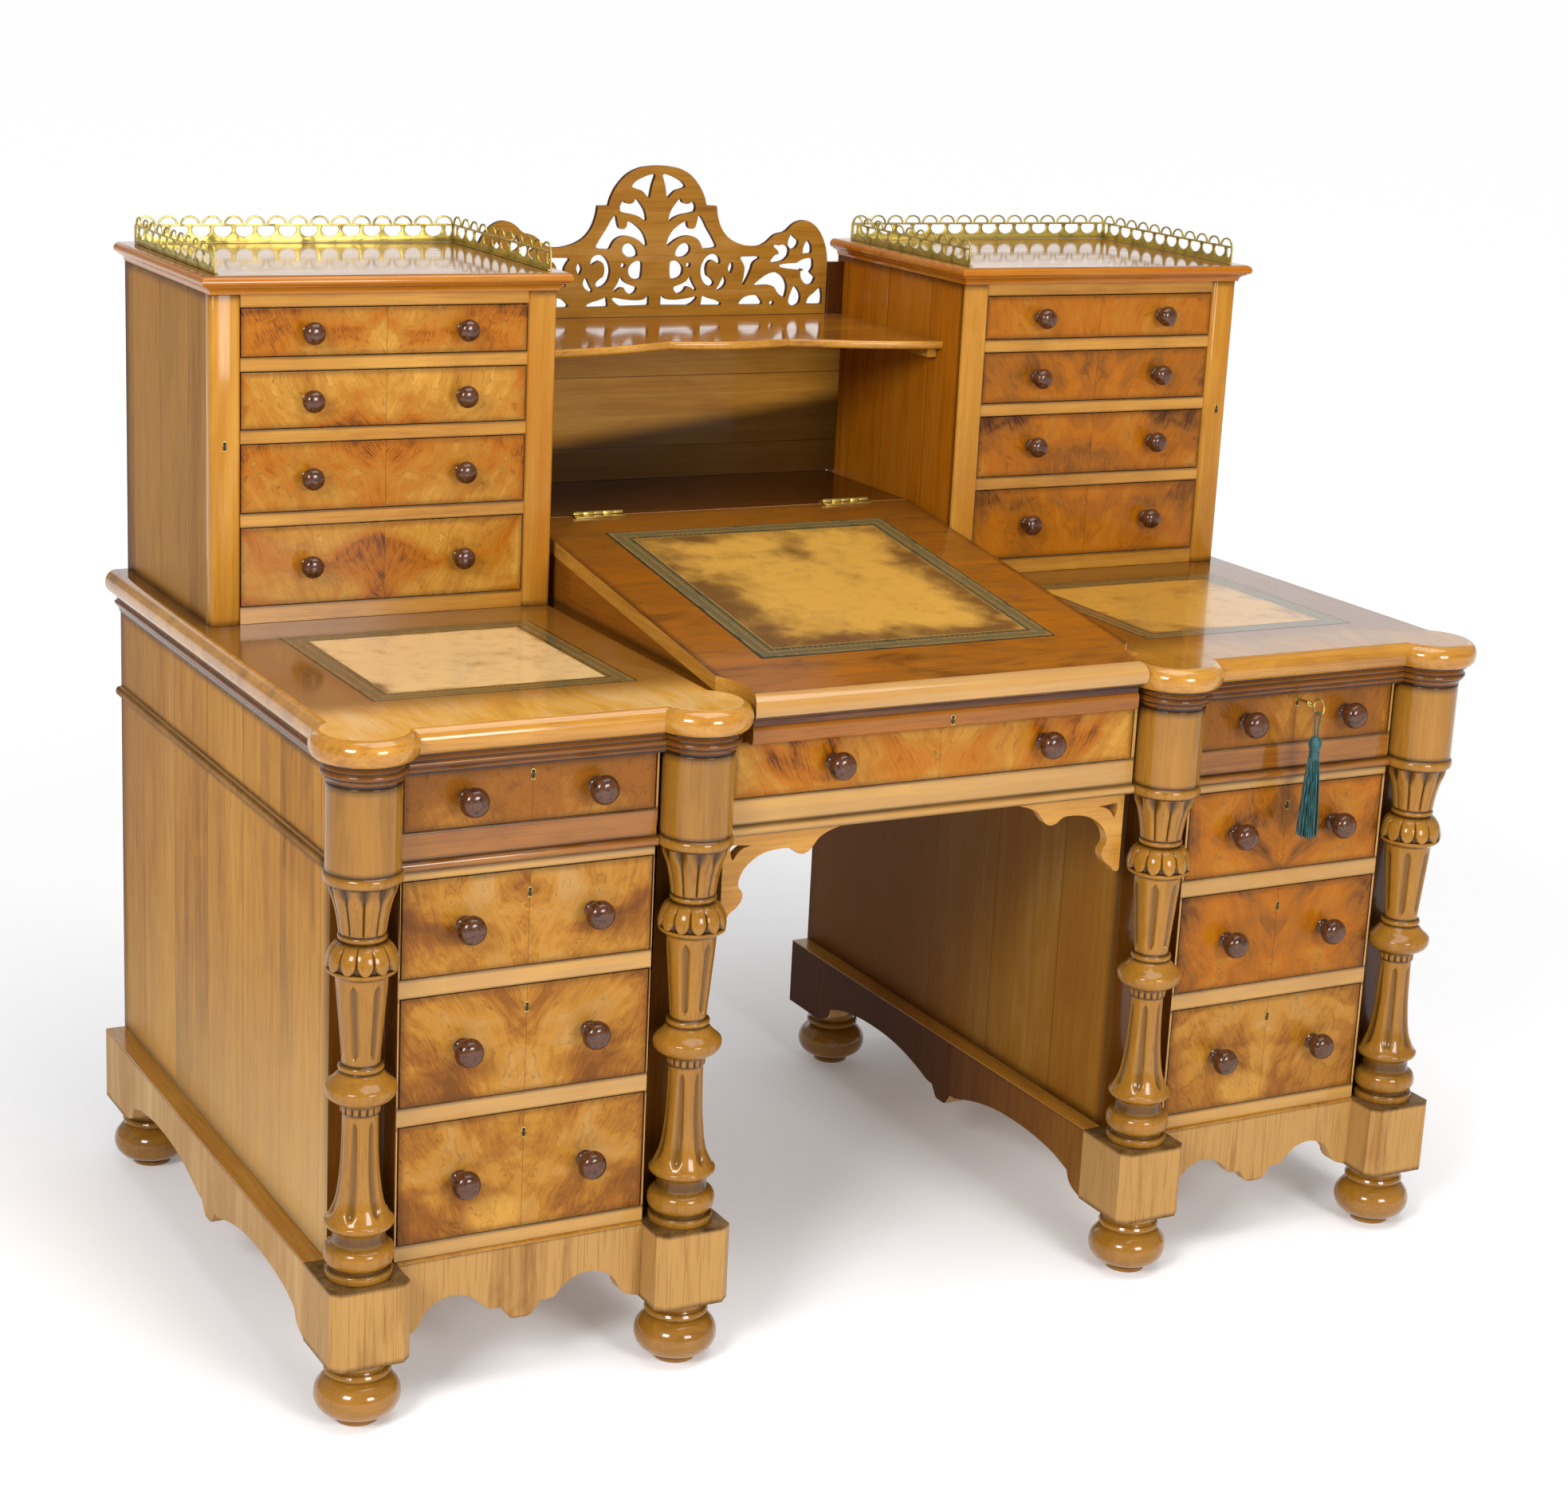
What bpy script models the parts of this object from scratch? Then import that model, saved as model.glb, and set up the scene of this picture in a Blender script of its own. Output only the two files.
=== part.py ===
"""Victorian walnut pedestal desk with a sloped writing lid between two banks of small drawers.

Metres, +Z up. The desk faces -Y and stands on the floor at Z = 0, centred on X and Y.
Right-hand pieces are modelled and the left-hand ones are mirrored copies of them.
"""
import math

import bmesh
import bpy
from mathutils import Matrix, Vector

# Fits and clearances
FIT = 0.0003                # gap between two pieces whose faces touch
DRAWER_PLAY = 0.0012        # clearance round a drawer front in its opening
LID_PLAY = 0.0020           # clearance of the lid beside the flat tops and round the caps
HINGE_PLAY = 0.0006         # clearance at the lid's joint line and between hinge knuckles
PIN_PLAY = 0.0006           # clearance of a pin or shank in its hole

# Feet and plinths
FOOT_H = 0.078
FOOT_R = 0.0475
FOOT_NECK_R = 0.030
FOOT_PAD_R = 0.024
FOOT_NECK_H = 0.018
FOOT_PAD_H = 0.006
PLINTH_H = 0.092
PLINTH_WALL = 0.020
PLINTH_OVERHANG = 0.021     # beyond the pedestal's side faces
PLINTH_FRONT_SET = 0.006    # apron face ahead of the drawer fronts
PLINTH_BACK_BEAM = 0.090    # solid bearer across the back, over the back feet
BLOCK_W = 0.091             # square block under each column
BLOCK_CANT = 0.010          # cut corners of the block
BACK_FOOT_INSET = 0.048     # back feet's axes from the back face
APRON_DROP_H = 0.002        # lowest point of the apron above the block's foot
APRON_RISE = 0.038          # top of its arches above the block's foot
APRON_CUSP_H = 0.018        # its cusps above the block's foot
APRON_DROP_HALF_W = 0.010   # flat foot of its middle drop
APRON_CUSP_X = 0.036        # its cusps from its middle
APRON_CUSP_W = 0.004        # flat of each cusp

# Columns, from the block up
COLUMN_SET = 0.008          # axis ahead of the drawer fronts
CAP_R = 0.058
DRUM_R = 0.040
ASTRAGAL_R = 0.0425
ASTRAGAL_H = 0.012
ASTRAGAL_PROUD = 0.007
BASE_DISC_R = 0.0365
BASE_DISC_H = 0.010
GROOVE_R = 0.033
GROOVE_H = 0.003
TORUS_R = 0.0385
TORUS_H = 0.024
COVE_R = 0.029
COVE_H = 0.013
FLARE_R = 0.0376
LOWER_SHAFT_R = 0.0193
LOWER_SHAFT_H = 0.137
DENTIL_R = 0.0215
DENTIL_H = 0.010
RING_R = 0.0386
RING_H = 0.033
BEAD_R = 0.0245
BEAD_H = 0.012
UPPER_SHAFT_FOOT_R = 0.0206
UPPER_SHAFT_HEAD_R = 0.0281
COLLAR_R = 0.0377
COLLAR_H = 0.037
NECK_R = 0.0230
NECK_H = 0.009
CAPITAL_FOOT_R = 0.0240
CAPITAL_HEAD_R = 0.0350
CAPITAL_H = 0.056
CAPITAL_HOLLOW = 0.001      # waist of the capital inside a straight taper
SHAFT_STEP_H = 0.002        # fillet at the lower shaft's head

# Pedestals
KNEEHOLE_W = 0.5825
CARCASS_DEPTH = 0.796       # drawer fronts to the back
DRAWER_W = 0.2896
LOW_DRAWER_H = 0.136
MID_DRAWER_H = 0.122
HIGH_DRAWER_H = 0.107
FRIEZE_DRAWER_H = 0.064
BASE_RAIL_H = 0.0175
RAIL_H = 0.021
TOP_RAIL_H = 0.0105         # under the astragal
FRIEZE_RAIL_H = 0.030       # over the astragal
POST_WALL = 0.003           # between a drawer opening and the column's corner
COLUMN_TO_SIDE = 0.0207     # column axis to the pedestal's side face
SIDE_PANEL = 0.018
BACK_BOARD = 0.012
DUST_BOARD = 0.008          # thin floor under each drawer, behind the front frame
FACE_FRAME = 0.055          # depth of the front frame behind the drawer fronts

# Drawers
FRONT_T = 0.018
BOX_SIDE = 0.009
BOX_BOTTOM = 0.007
BOX_INSET = 0.004           # box narrower than its front, each side
BOX_DROP = 0.008            # box lower than its front
PEDESTAL_BOX_CLEAR = 0.084  # behind a drawer's box, to the board at the back
CENTRE_BOX_CLEAR = 0.264
BANK_BOX_CLEAR = 0.030
KNOB_R = 0.0165
KNOB_L = 0.033
KNOB_STEM_R = 0.0075
KNOB_TENON = 0.003          # stem's end inside the drawer front
KNOB_SPREAD = 0.149         # between the two knobs of a pedestal drawer
CENTRE_KNOB_SPREAD = 0.278
BANK_KNOB_R = 0.0133
BANK_KNOB_L = 0.027
BANK_KNOB_STEM_R = 0.006
BANK_KNOB_SPREAD = 0.1886

# Flat tops
UNDER_MOULD_H = 0.020
UNDER_MOULD_INSET = 0.012
SLAB_H = 0.033
SLAB_ROUND = 0.010
TOP_OVERHANG = 0.019
TOP_FRONT_SET = 0.030       # front edge ahead of the drawer fronts
LEATHER_T = 0.0012
LEATHER_W = 0.309
LEATHER_L = 0.302
LEATHER_FROM_FRONT = 0.0905
LEATHER_FROM_INNER = 0.066

# Writing slope
LID_TO_COLUMN = 0.03945     # lid's side to the axis of the column beside it
LID_T = 0.018
LID_NOSE_SET = 0.034        # nose ahead of the drawer fronts
LID_NOSE_H = 0.032          # nose below the flat tops' surface
LID_FRONT_RISE = 0.003      # lid's front above the flat tops' surface
LID_HINGE_RISE = 0.0873     # lid's back above the flat tops' surface
LID_HINGE_BACK = 0.558      # joint line behind the drawer fronts
LID_NOSE_ROUND = 0.009
LID_LIP = 0.002             # lid beyond the slope's side walls
LID_LEATHER_MARGIN = 0.0765 # lid's side to its leather
LID_LEATHER_L = 0.425
LID_LEATHER_FROM_HINGE = 0.064
WELL_WALL = 0.014
WELL_FRONT = 0.026
WELL_FLOOR = 0.008
WELL_BACK = 0.036
CENTRE_POST = 0.004         # beside the centre drawer
CENTRE_BOARD = 0.012        # back of the kneehole frieze

# Hinges of the lid
HINGE_L = 0.068
HINGE_FROM_SIDE = 0.095     # a hinge's middle from the lid's side
HINGE_BARREL_R = 0.0028
HINGE_PIN_R = 0.0011
HINGE_LEAF_W = 0.0105
HINGE_LEAF_T = 0.0014
KNUCKLES = 5

# Banks of small drawers
LID_TO_BANK = 0.0105
BANK_FRONT_BACK = 0.466     # bank's drawer fronts behind the lower drawer fronts
BANK_DRAWER_W = 0.350
BANK_STILE_W = 0.0355
STILE_PROUD = 0.004
STILE_T = 0.018
STILE_ROUND = 0.006
BANK_BASE_H = 0.0195
BANK_RAIL_H = 0.0158
BANK_TOP_RAIL_H = 0.015
BANK_DRAWER_1_H = 0.0545
BANK_DRAWER_2_H = 0.0645
BANK_DRAWER_3_H = 0.0785
BANK_DRAWER_4_H = 0.0915
CORNICE_H = 0.022
CORNICE_OVERHANG = 0.014
CORNICE_ROUND = 0.005
BANK_BACK_BOARD = 0.010

# Brass galleries
GALLERY_H = 0.033
GALLERY_STRIP_H = 0.008
GALLERY_RAIL_H = 0.003
GALLERY_T = 0.0024
GALLERY_INSET = 0.020       # from the bank top's edges
GALLERY_PITCH = 0.028
GALLERY_POST_W = 0.003

# Shelf, back and crest
SHELF_RISE = 0.2923         # shelf's underside above the flat tops' surface
SHELF_T = 0.0105
SHELF_END_BACK = 0.508      # shelf's front edge behind the drawer fronts, at its ends
SHELF_CUSP_BACK = 0.558
SHELF_MIDDLE_BACK = 0.544
SHELF_CUSP_X = 0.084
SHELF_CUSP_STEP = 0.003     # small step forward inside each cusp
BATTEN_W = 0.014
BATTEN_H = 0.012
BACK_PANEL_T = 0.012
BACK_PANEL_INSET = 0.008    # from the desk's back face
FRET_T = 0.010
FRET_HALF_W = 0.258
FRET_H = 0.1965
FRET_ARCH_R = 0.066
FRET_STEP = 0.014
FRET_STEP_H = 0.1445
FRET_DIP_X = 0.133
FRET_DIP_H = 0.0885
FRET_LOBE_R = 0.044
FRET_LOBE_H = 0.125
FRET_TAIL_L = 0.036         # lobe's middle to where its back falls away
FRET_TAIL_FALL = 0.014
FRET_SWEEP_OUT = 0.016      # hollow of the sweep up to the step
FRET_SWEEP_FALL = 0.006
FRET_STEP_LIP = 0.011       # upright face of the step

# Kneehole brackets
BRACKET_T = 0.014
BRACKET_BACK = 0.010        # face behind the drawer fronts
BRACKET_REACH = 0.176
BRACKET_FALL = 0.100
BRACKET_CUSP_FALL = 0.034
BRACKET_CUSP_W = 0.008
BRACKET_TOE_W = 0.016       # rounded lower end
BRACKET_GAP = 0.0012        # outer edge from the corner that holds the column

# Key and tassel on the right frieze drawer
KEYHOLE_RISE = 0.022        # above the drawer front's middle
KEY_SHANK_R = 0.0022
KEY_DEPTH = 0.014           # into the drawer front
KEY_OUT = 0.0325            # shank ahead of the drawer front
KEY_BOW_R = 0.0095
KEY_WIRE_R = 0.0018
CORD_R = 0.0010
CORD_SPREAD = 0.0024        # each strand of the loop from the tassel's axis
CORD_DROP = 0.036           # key axis to the tassel's head
TASSEL_H = 0.128
TASSEL_HEAD_R = 0.0085
TASSEL_NECK_R = 0.0060
TASSEL_SKIRT_R = 0.0145
TASSEL_HEAD_H = 0.020
TASSEL_BIND_H = 0.004

# Places worked out from the sizes above
OVERALL_DEPTH = CARCASS_DEPTH + COLUMN_SET + CAP_R
BACK_Y = OVERALL_DEPTH / 2.0
FRONT_Y = BACK_Y - CARCASS_DEPTH
COLUMN_Y = FRONT_Y - COLUMN_SET
PEDESTAL_BOX_L = CARCASS_DEPTH - BACK_BOARD - PEDESTAL_BOX_CLEAR
CENTRE_BOX_L = CARCASS_DEPTH - CENTRE_BOARD - CENTRE_BOX_CLEAR
BANK_BOX_L = CARCASS_DEPTH - BANK_FRONT_BACK - BANK_BACK_BOARD - BANK_BOX_CLEAR

COLUMN_MAX_R = max(DRUM_R, ASTRAGAL_R, CAPITAL_HEAD_R, COLLAR_R, RING_R, FLARE_R, TORUS_R, BASE_DISC_R)
CORNER = COLUMN_MAX_R + FIT                     # column axis to the wall beside it
COLUMN_OFFSET = DRAWER_W / 2.0 + DRAWER_PLAY + POST_WALL + CORNER
PEDESTAL_HALF_W = COLUMN_OFFSET + COLUMN_TO_SIDE
PEDESTAL_X = KNEEHOLE_W / 2.0 + PEDESTAL_HALF_W
PEDESTAL_INNER_X = PEDESTAL_X - PEDESTAL_HALF_W
PEDESTAL_OUTER_X = PEDESTAL_X + PEDESTAL_HALF_W
COLUMN_INNER_X = PEDESTAL_X - COLUMN_OFFSET
COLUMN_OUTER_X = PEDESTAL_X + COLUMN_OFFSET
LID_HALF_W = COLUMN_INNER_X - LID_TO_COLUMN
LID_LEATHER_W = 2.0 * (LID_HALF_W - LID_LEATHER_MARGIN)
HINGE_SPREAD = 2.0 * (LID_HALF_W - HINGE_FROM_SIDE)     # between the two hinges' middles

PLINTH_Z = FOOT_H + FIT
PLINTH_TOP_Z = PLINTH_Z + PLINTH_H
CARCASS_Z = PLINTH_TOP_Z + FIT


def opening_height(front_height):
    """Height of the opening that a drawer front of this height fits."""
    return front_height + 2.0 * DRAWER_PLAY


# Bottom of each pedestal opening, from the lowest drawer up to the frieze drawer
LOW_Z = CARCASS_Z + BASE_RAIL_H
MID_Z = LOW_Z + opening_height(LOW_DRAWER_H) + RAIL_H
HIGH_Z = MID_Z + opening_height(MID_DRAWER_H) + RAIL_H
ASTRAGAL_Z = HIGH_Z + opening_height(HIGH_DRAWER_H) + TOP_RAIL_H
FRIEZE_Z = ASTRAGAL_Z + ASTRAGAL_H + FRIEZE_RAIL_H
CARCASS_TOP_Z = FRIEZE_Z + opening_height(FRIEZE_DRAWER_H)
SLAB_Z = CARCASS_TOP_Z + FIT + UNDER_MOULD_H
TOP_Z = SLAB_Z + SLAB_H

TOP_INNER_X = LID_HALF_W + LID_PLAY
TOP_OUTER_X = PEDESTAL_OUTER_X + TOP_OVERHANG
TOP_FRONT_Y = FRONT_Y - TOP_FRONT_SET

HINGE_Y = FRONT_Y + LID_HINGE_BACK
LID_FRONT_Z = TOP_Z + LID_FRONT_RISE            # lid's surface at its nose
LID_BACK_Z = TOP_Z + LID_HINGE_RISE             # lid's surface at the joint line
LID_NOSE_Y = FRONT_Y - LID_NOSE_SET
LID_SLOPE = math.atan2(LID_BACK_Z - LID_FRONT_Z, HINGE_Y - LID_NOSE_Y)
HINGE_Z = LID_BACK_Z + FIT + HINGE_BARREL_R     # hinge axis
SLOPE_HALF_W = LID_HALF_W - LID_LIP

BANK_Z = TOP_Z + FIT
BANK_FRONT_Y = FRONT_Y + BANK_FRONT_BACK
BANK_INNER_X = LID_HALF_W + LID_TO_BANK
BANK_HALF_W = BANK_DRAWER_W / 2.0 + DRAWER_PLAY + BANK_STILE_W
BANK_X = BANK_INNER_X + BANK_HALF_W
BANK_OUTER_X = BANK_X + BANK_HALF_W
BANK_4_Z = BANK_Z + BANK_BASE_H
BANK_3_Z = BANK_4_Z + opening_height(BANK_DRAWER_4_H) + BANK_RAIL_H
BANK_2_Z = BANK_3_Z + opening_height(BANK_DRAWER_3_H) + BANK_RAIL_H
BANK_1_Z = BANK_2_Z + opening_height(BANK_DRAWER_2_H) + BANK_RAIL_H
BANK_TOP_Z = BANK_1_Z + opening_height(BANK_DRAWER_1_H) + BANK_TOP_RAIL_H
CORNICE_Z = BANK_TOP_Z + FIT
CORNICE_TOP_Z = CORNICE_Z + CORNICE_H
STILE_BACK_Y = BANK_FRONT_Y - STILE_PROUD + STILE_T

SHELF_Z = TOP_Z + SHELF_RISE
SHELF_TOP_Z = SHELF_Z + SHELF_T
FRET_Z = SHELF_TOP_Z + FIT
BACK_PANEL_Y = BACK_Y - BACK_PANEL_INSET - BACK_PANEL_T

KEY_X = PEDESTAL_X
KEY_Z = FRIEZE_Z + opening_height(FRIEZE_DRAWER_H) / 2.0 + KEYHOLE_RISE
KEY_BOW_Y = FRONT_Y - KEY_OUT - KEY_BOW_R

PEDESTAL_OPENINGS = (
    (LOW_Z, LOW_DRAWER_H),
    (MID_Z, MID_DRAWER_H),
    (HIGH_Z, HIGH_DRAWER_H),
    (FRIEZE_Z, FRIEZE_DRAWER_H),
)
BANK_OPENINGS = (
    (BANK_1_Z, BANK_DRAWER_1_H),
    (BANK_2_Z, BANK_DRAWER_2_H),
    (BANK_3_Z, BANK_DRAWER_3_H),
    (BANK_4_Z, BANK_DRAWER_4_H),
)

# Finishes: base colour, roughness, metallic
WALNUT = ((0.46, 0.22, 0.055), 0.28, 0.0)
BURR = ((0.40, 0.16, 0.035), 0.25, 0.0)
DARK_WALNUT = ((0.24, 0.10, 0.030), 0.30, 0.0)
LEATHER = ((0.58, 0.36, 0.10), 0.45, 0.0)
BRASS = ((0.80, 0.60, 0.22), 0.25, 1.0)
TEAL_SILK = ((0.010, 0.11, 0.10), 0.70, 0.0)

EDGE_OVERCUT = 0.002        # how far a cutter reaches past the face that it opens
JOIN_DEPTH = 0.001          # how far fused members of one piece run into each other
WELD = 0.00001              # points closer than this are one
AROUND = 12                 # sides of small turned pieces
HINGE_SIDES = 8
COLUMN_SIDES = 12
KNOB_SIDES = 8
CAP_SIDES = 32
SMOOTH_ANGLE = math.radians(35.0)


def clear_scene():
    """Remove every object of the open scene."""
    for obj in list(bpy.data.objects):
        bpy.data.objects.remove(obj, do_unlink=True)


def new_collection(name):
    """Return a collection of this name under the scene's own."""
    collection = bpy.data.collections.get(name) or bpy.data.collections.new(name)
    if collection.name not in bpy.context.scene.collection.children:
        bpy.context.scene.collection.children.link(collection)
    return collection


clear_scene()
PARTS = new_collection("pedestal_desk")
CUTTERS = new_collection("pedestal_desk_cutters")


def add_object(name, mesh, collection):
    """Link a mesh to a collection as a new object."""
    obj = bpy.data.objects.new(name, mesh)
    collection.objects.link(obj)
    return obj


def tool(name, mesh):
    """Keep a mesh as a hidden cutter or joining body."""
    obj = add_object(name, mesh, CUTTERS)
    obj.hide_render = True
    obj.display_type = "WIRE"
    return obj


def boolean(obj, other, operation):
    """Cut or join another object with a Boolean modifier."""
    modifier = obj.modifiers.new(other.name, "BOOLEAN")
    modifier.operation = operation
    modifier.solver = "EXACT"
    modifier.object = other


def baked(obj):
    """Return the object's mesh as its modifiers leave it."""
    bpy.context.view_layer.update()
    graph = bpy.context.evaluated_depsgraph_get()
    return bpy.data.meshes.new_from_object(obj.evaluated_get(graph))


def finish_piece(obj, finish):
    """Give a piece its own material and smooth its round faces."""
    colour, roughness, metallic = finish
    material = bpy.data.materials.new(obj.name + "_finish")
    material.use_nodes = True
    shader = material.node_tree.nodes["Principled BSDF"]
    shader.inputs["Base Color"].default_value = (*colour, 1.0)
    shader.inputs["Roughness"].default_value = roughness
    shader.inputs["Metallic"].default_value = metallic
    obj.data.materials.clear()
    obj.data.materials.append(material)
    obj.data.shade_smooth()
    obj.data.set_sharp_from_angle(angle=SMOOTH_ANGLE)


def piece(name, mesh, finish, origin=(0.0, 0.0, 0.0)):
    """Place a mesh modelled in world coordinates, with its object's origin at a point."""
    point = Vector(origin)
    mesh.transform(Matrix.Translation(-point))
    obj = add_object(name, mesh, PARTS)
    obj.location = point
    finish_piece(obj, finish)
    return obj


def mirrored(obj, name, finish):
    """Place the left-hand copy of a right-hand piece."""
    mesh = baked(obj)
    mesh.transform(Matrix.Scale(-1.0, 4, (1.0, 0.0, 0.0)))
    mesh.flip_normals()
    copy = add_object(name, mesh, PARTS)
    copy.location = (-obj.location.x, obj.location.y, obj.location.z)
    finish_piece(copy, finish)
    return copy


def pair(name, mesh, finish, origin=(0.0, 0.0, 0.0)):
    """Place a right-hand piece and its mirrored left-hand twin."""
    right = piece("right_" + name, mesh, finish, origin)
    mirrored(right, "left_" + name, finish)
    return right


def boxes(name, *spans):
    """Mesh of one or more boxes, each given by its x, y and z limits."""
    bm = bmesh.new()
    for limits in spans:
        middle = Vector([(low + high) / 2.0 for low, high in limits])
        size = [high - low for low, high in limits]
        matrix = Matrix.Translation(middle) @ Matrix.Diagonal((*size, 1.0))
        bmesh.ops.create_cube(bm, size=1.0, matrix=matrix)
    mesh = bpy.data.meshes.new(name)
    bm.to_mesh(mesh)
    bm.free()
    return mesh


def cylinder(name, radius, length, matrix, sides=AROUND):
    """Mesh of a cylinder along its own Z, centred, then moved by a matrix."""
    bm = bmesh.new()
    bmesh.ops.create_cone(bm, cap_ends=True, segments=sides, radius1=radius, radius2=radius,
                          depth=length, matrix=matrix)
    mesh = bpy.data.meshes.new(name)
    bm.to_mesh(mesh)
    bm.free()
    return mesh


def turned(name, profile, sides):
    """Mesh turned about Z from a profile of (radius, height) points, top to bottom."""
    outline = bpy.data.meshes.new(name)
    points = [(radius, 0.0, height) for radius, height in profile]
    outline.from_pydata(points, [(i, i + 1) for i in range(len(points) - 1)], [])
    obj = tool(name + "_profile", outline)
    screw = obj.modifiers.new("turn", "SCREW")
    screw.axis = "Z"
    screw.steps = sides
    screw.render_steps = sides
    screw.use_merge_vertices = True
    screw.merge_threshold = WELD
    mesh = baked(obj)
    bpy.data.objects.remove(obj, do_unlink=True)
    return mesh


def plate(name, outlines, thickness, matrix):
    """Mesh of a flat outline, with any holes, extruded about its own plane and then moved."""
    curve = bpy.data.curves.new(name, "CURVE")
    curve.dimensions = "2D"
    curve.fill_mode = "BOTH"
    curve.extrude = thickness / 2.0
    for outline in outlines:
        spline = curve.splines.new("POLY")
        spline.points.add(len(outline) - 1)
        for point, (x, y) in zip(spline.points, outline):
            point.co = (x, y, 0.0, 1.0)
        spline.use_cyclic_u = True
    obj = add_object(name + "_outline", curve, CUTTERS)
    mesh = baked(obj)
    bpy.data.objects.remove(obj, do_unlink=True)
    bm = bmesh.new()
    bm.from_mesh(mesh)
    bmesh.ops.remove_doubles(bm, verts=bm.verts, dist=WELD)
    if len(outlines) == 1:
        bmesh.ops.dissolve_limit(bm, angle_limit=math.radians(0.5), verts=bm.verts, edges=bm.edges)
    bmesh.ops.recalc_face_normals(bm, faces=bm.faces)
    bm.to_mesh(mesh)
    bm.free()
    mesh.transform(matrix)
    return mesh


def arc(centre, radius, start, end, steps):
    """Points of a circular arc between two angles in degrees."""
    angles = [math.radians(start + (end - start) * i / steps) for i in range(steps + 1)]
    return [(centre[0] + radius * math.cos(a), centre[1] + radius * math.sin(a)) for a in angles]


def smooth_line(points, steps):
    """Points of a smooth curve that passes through each given point."""
    guide = [points[0], *points, points[-1]]
    line = []
    for before, start, end, after in zip(guide, guide[1:], guide[2:], guide[3:]):
        for i in range(steps):
            t = i / steps
            line.append(tuple(
                0.5 * (2.0 * s + (e - b) * t + (2.0 * b - 5.0 * s + 4.0 * e - a) * t ** 2
                       + (3.0 * s - 3.0 * e + a - b) * t ** 3)
                for b, s, e, a in zip(before, start, end, after)))
    return [*line, points[-1]]


def plan_matrix(z):
    """Matrix that lays an x-y outline at a height."""
    return Matrix.Translation((0.0, 0.0, z))


def front_matrix(y):
    """Matrix that stands an x-z outline upright at a depth."""
    return Matrix.Translation((0.0, y, 0.0)) @ Matrix.Rotation(math.pi / 2.0, 4, "X")


def side_matrix(x):
    """Matrix that stands a y-z outline upright at a place across the desk."""
    return Matrix(((0.0, 0.0, 1.0, x), (1.0, 0.0, 0.0, 0.0), (0.0, 1.0, 0.0, 0.0), (0.0, 0.0, 0.0, 1.0)))


def join(name, first, *others):
    """Mesh of several overlapping meshes united into one body."""
    obj = tool(name, first)
    members = [tool(name + "_member", mesh) for mesh in others]
    for member in members:
        boolean(obj, member, "UNION")
    mesh = baked(obj)
    for item in (obj, *members):
        bpy.data.objects.remove(item, do_unlink=True)
    return mesh


def cut(name, body, *cutters):
    """Mesh of a body with each cutter's volume taken away."""
    obj = tool(name, body)
    tools = [tool(name + "_cutter", mesh) for mesh in cutters]
    for item in tools:
        boolean(obj, item, "DIFFERENCE")
    mesh = baked(obj)
    for item in (obj, *tools):
        bpy.data.objects.remove(item, do_unlink=True)
    return mesh


def rounded(name, body, width, segments=2):
    """Mesh of a body with its sharp edges rounded."""
    obj = tool(name, body)
    bevel = obj.modifiers.new("round", "BEVEL")
    bevel.width = width
    bevel.segments = segments
    bevel.limit_method = "ANGLE"
    bevel.angle_limit = math.radians(50.0)
    mesh = baked(obj)
    bpy.data.objects.remove(obj, do_unlink=True)
    return mesh


# Feet, plinths and columns

def foot_mesh():
    """Bun foot with a pad below and a neck above, its axis on Z."""
    bun_top = FOOT_H - FOOT_NECK_H
    profile = [
        (0.0, FOOT_H),
        (FOOT_NECK_R, FOOT_H),
        (FOOT_NECK_R, bun_top),
        (FOOT_R * 0.90, bun_top * 0.86),
        (FOOT_R, bun_top * 0.52),
        (FOOT_R * 0.90, bun_top * 0.20),
        (FOOT_PAD_R, FOOT_PAD_H),
        (FOOT_PAD_R, 0.0),
        (0.0, 0.0),
    ]
    return turned("foot", profile, AROUND)


def add_feet():
    """Four bun feet under each plinth, sharing one mesh."""
    mesh = foot_mesh()
    back_y = BACK_Y - BACK_FOOT_INSET
    for side, sign in (("left", -1.0), ("right", 1.0)):
        for place, x in (("inner", COLUMN_INNER_X), ("outer", COLUMN_OUTER_X)):
            for end, y in (("front", COLUMN_Y), ("back", back_y)):
                obj = add_object(f"foot_{side}_{place}_{end}", mesh.copy(), PARTS)
                obj.location = (sign * x, y, 0.0)
                finish_piece(obj, WALNUT)


def apron_cutter(half_length):
    """Outline below an apron's scalloped edge, along its length from the middle."""
    low = PLINTH_Z - EDGE_OVERCUT
    drop = PLINTH_Z + APRON_DROP_H
    cusp = PLINTH_Z + APRON_CUSP_H
    rise = PLINTH_Z + APRON_RISE
    start = APRON_CUSP_X + APRON_CUSP_W
    run = half_length - start
    lift = rise - cusp
    half = [
        (APRON_DROP_HALF_W, drop),
        (APRON_CUSP_X, cusp),
        *smooth_line([(start, cusp), (start + run * 0.25, cusp + lift * 0.8), (start + run * 0.53, rise),
                      (start + run * 0.83, cusp + lift * 0.4), (half_length, cusp)], 3),
        (half_length, low),
    ]
    return [(-x, z) for x, z in reversed(half)] + half


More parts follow.
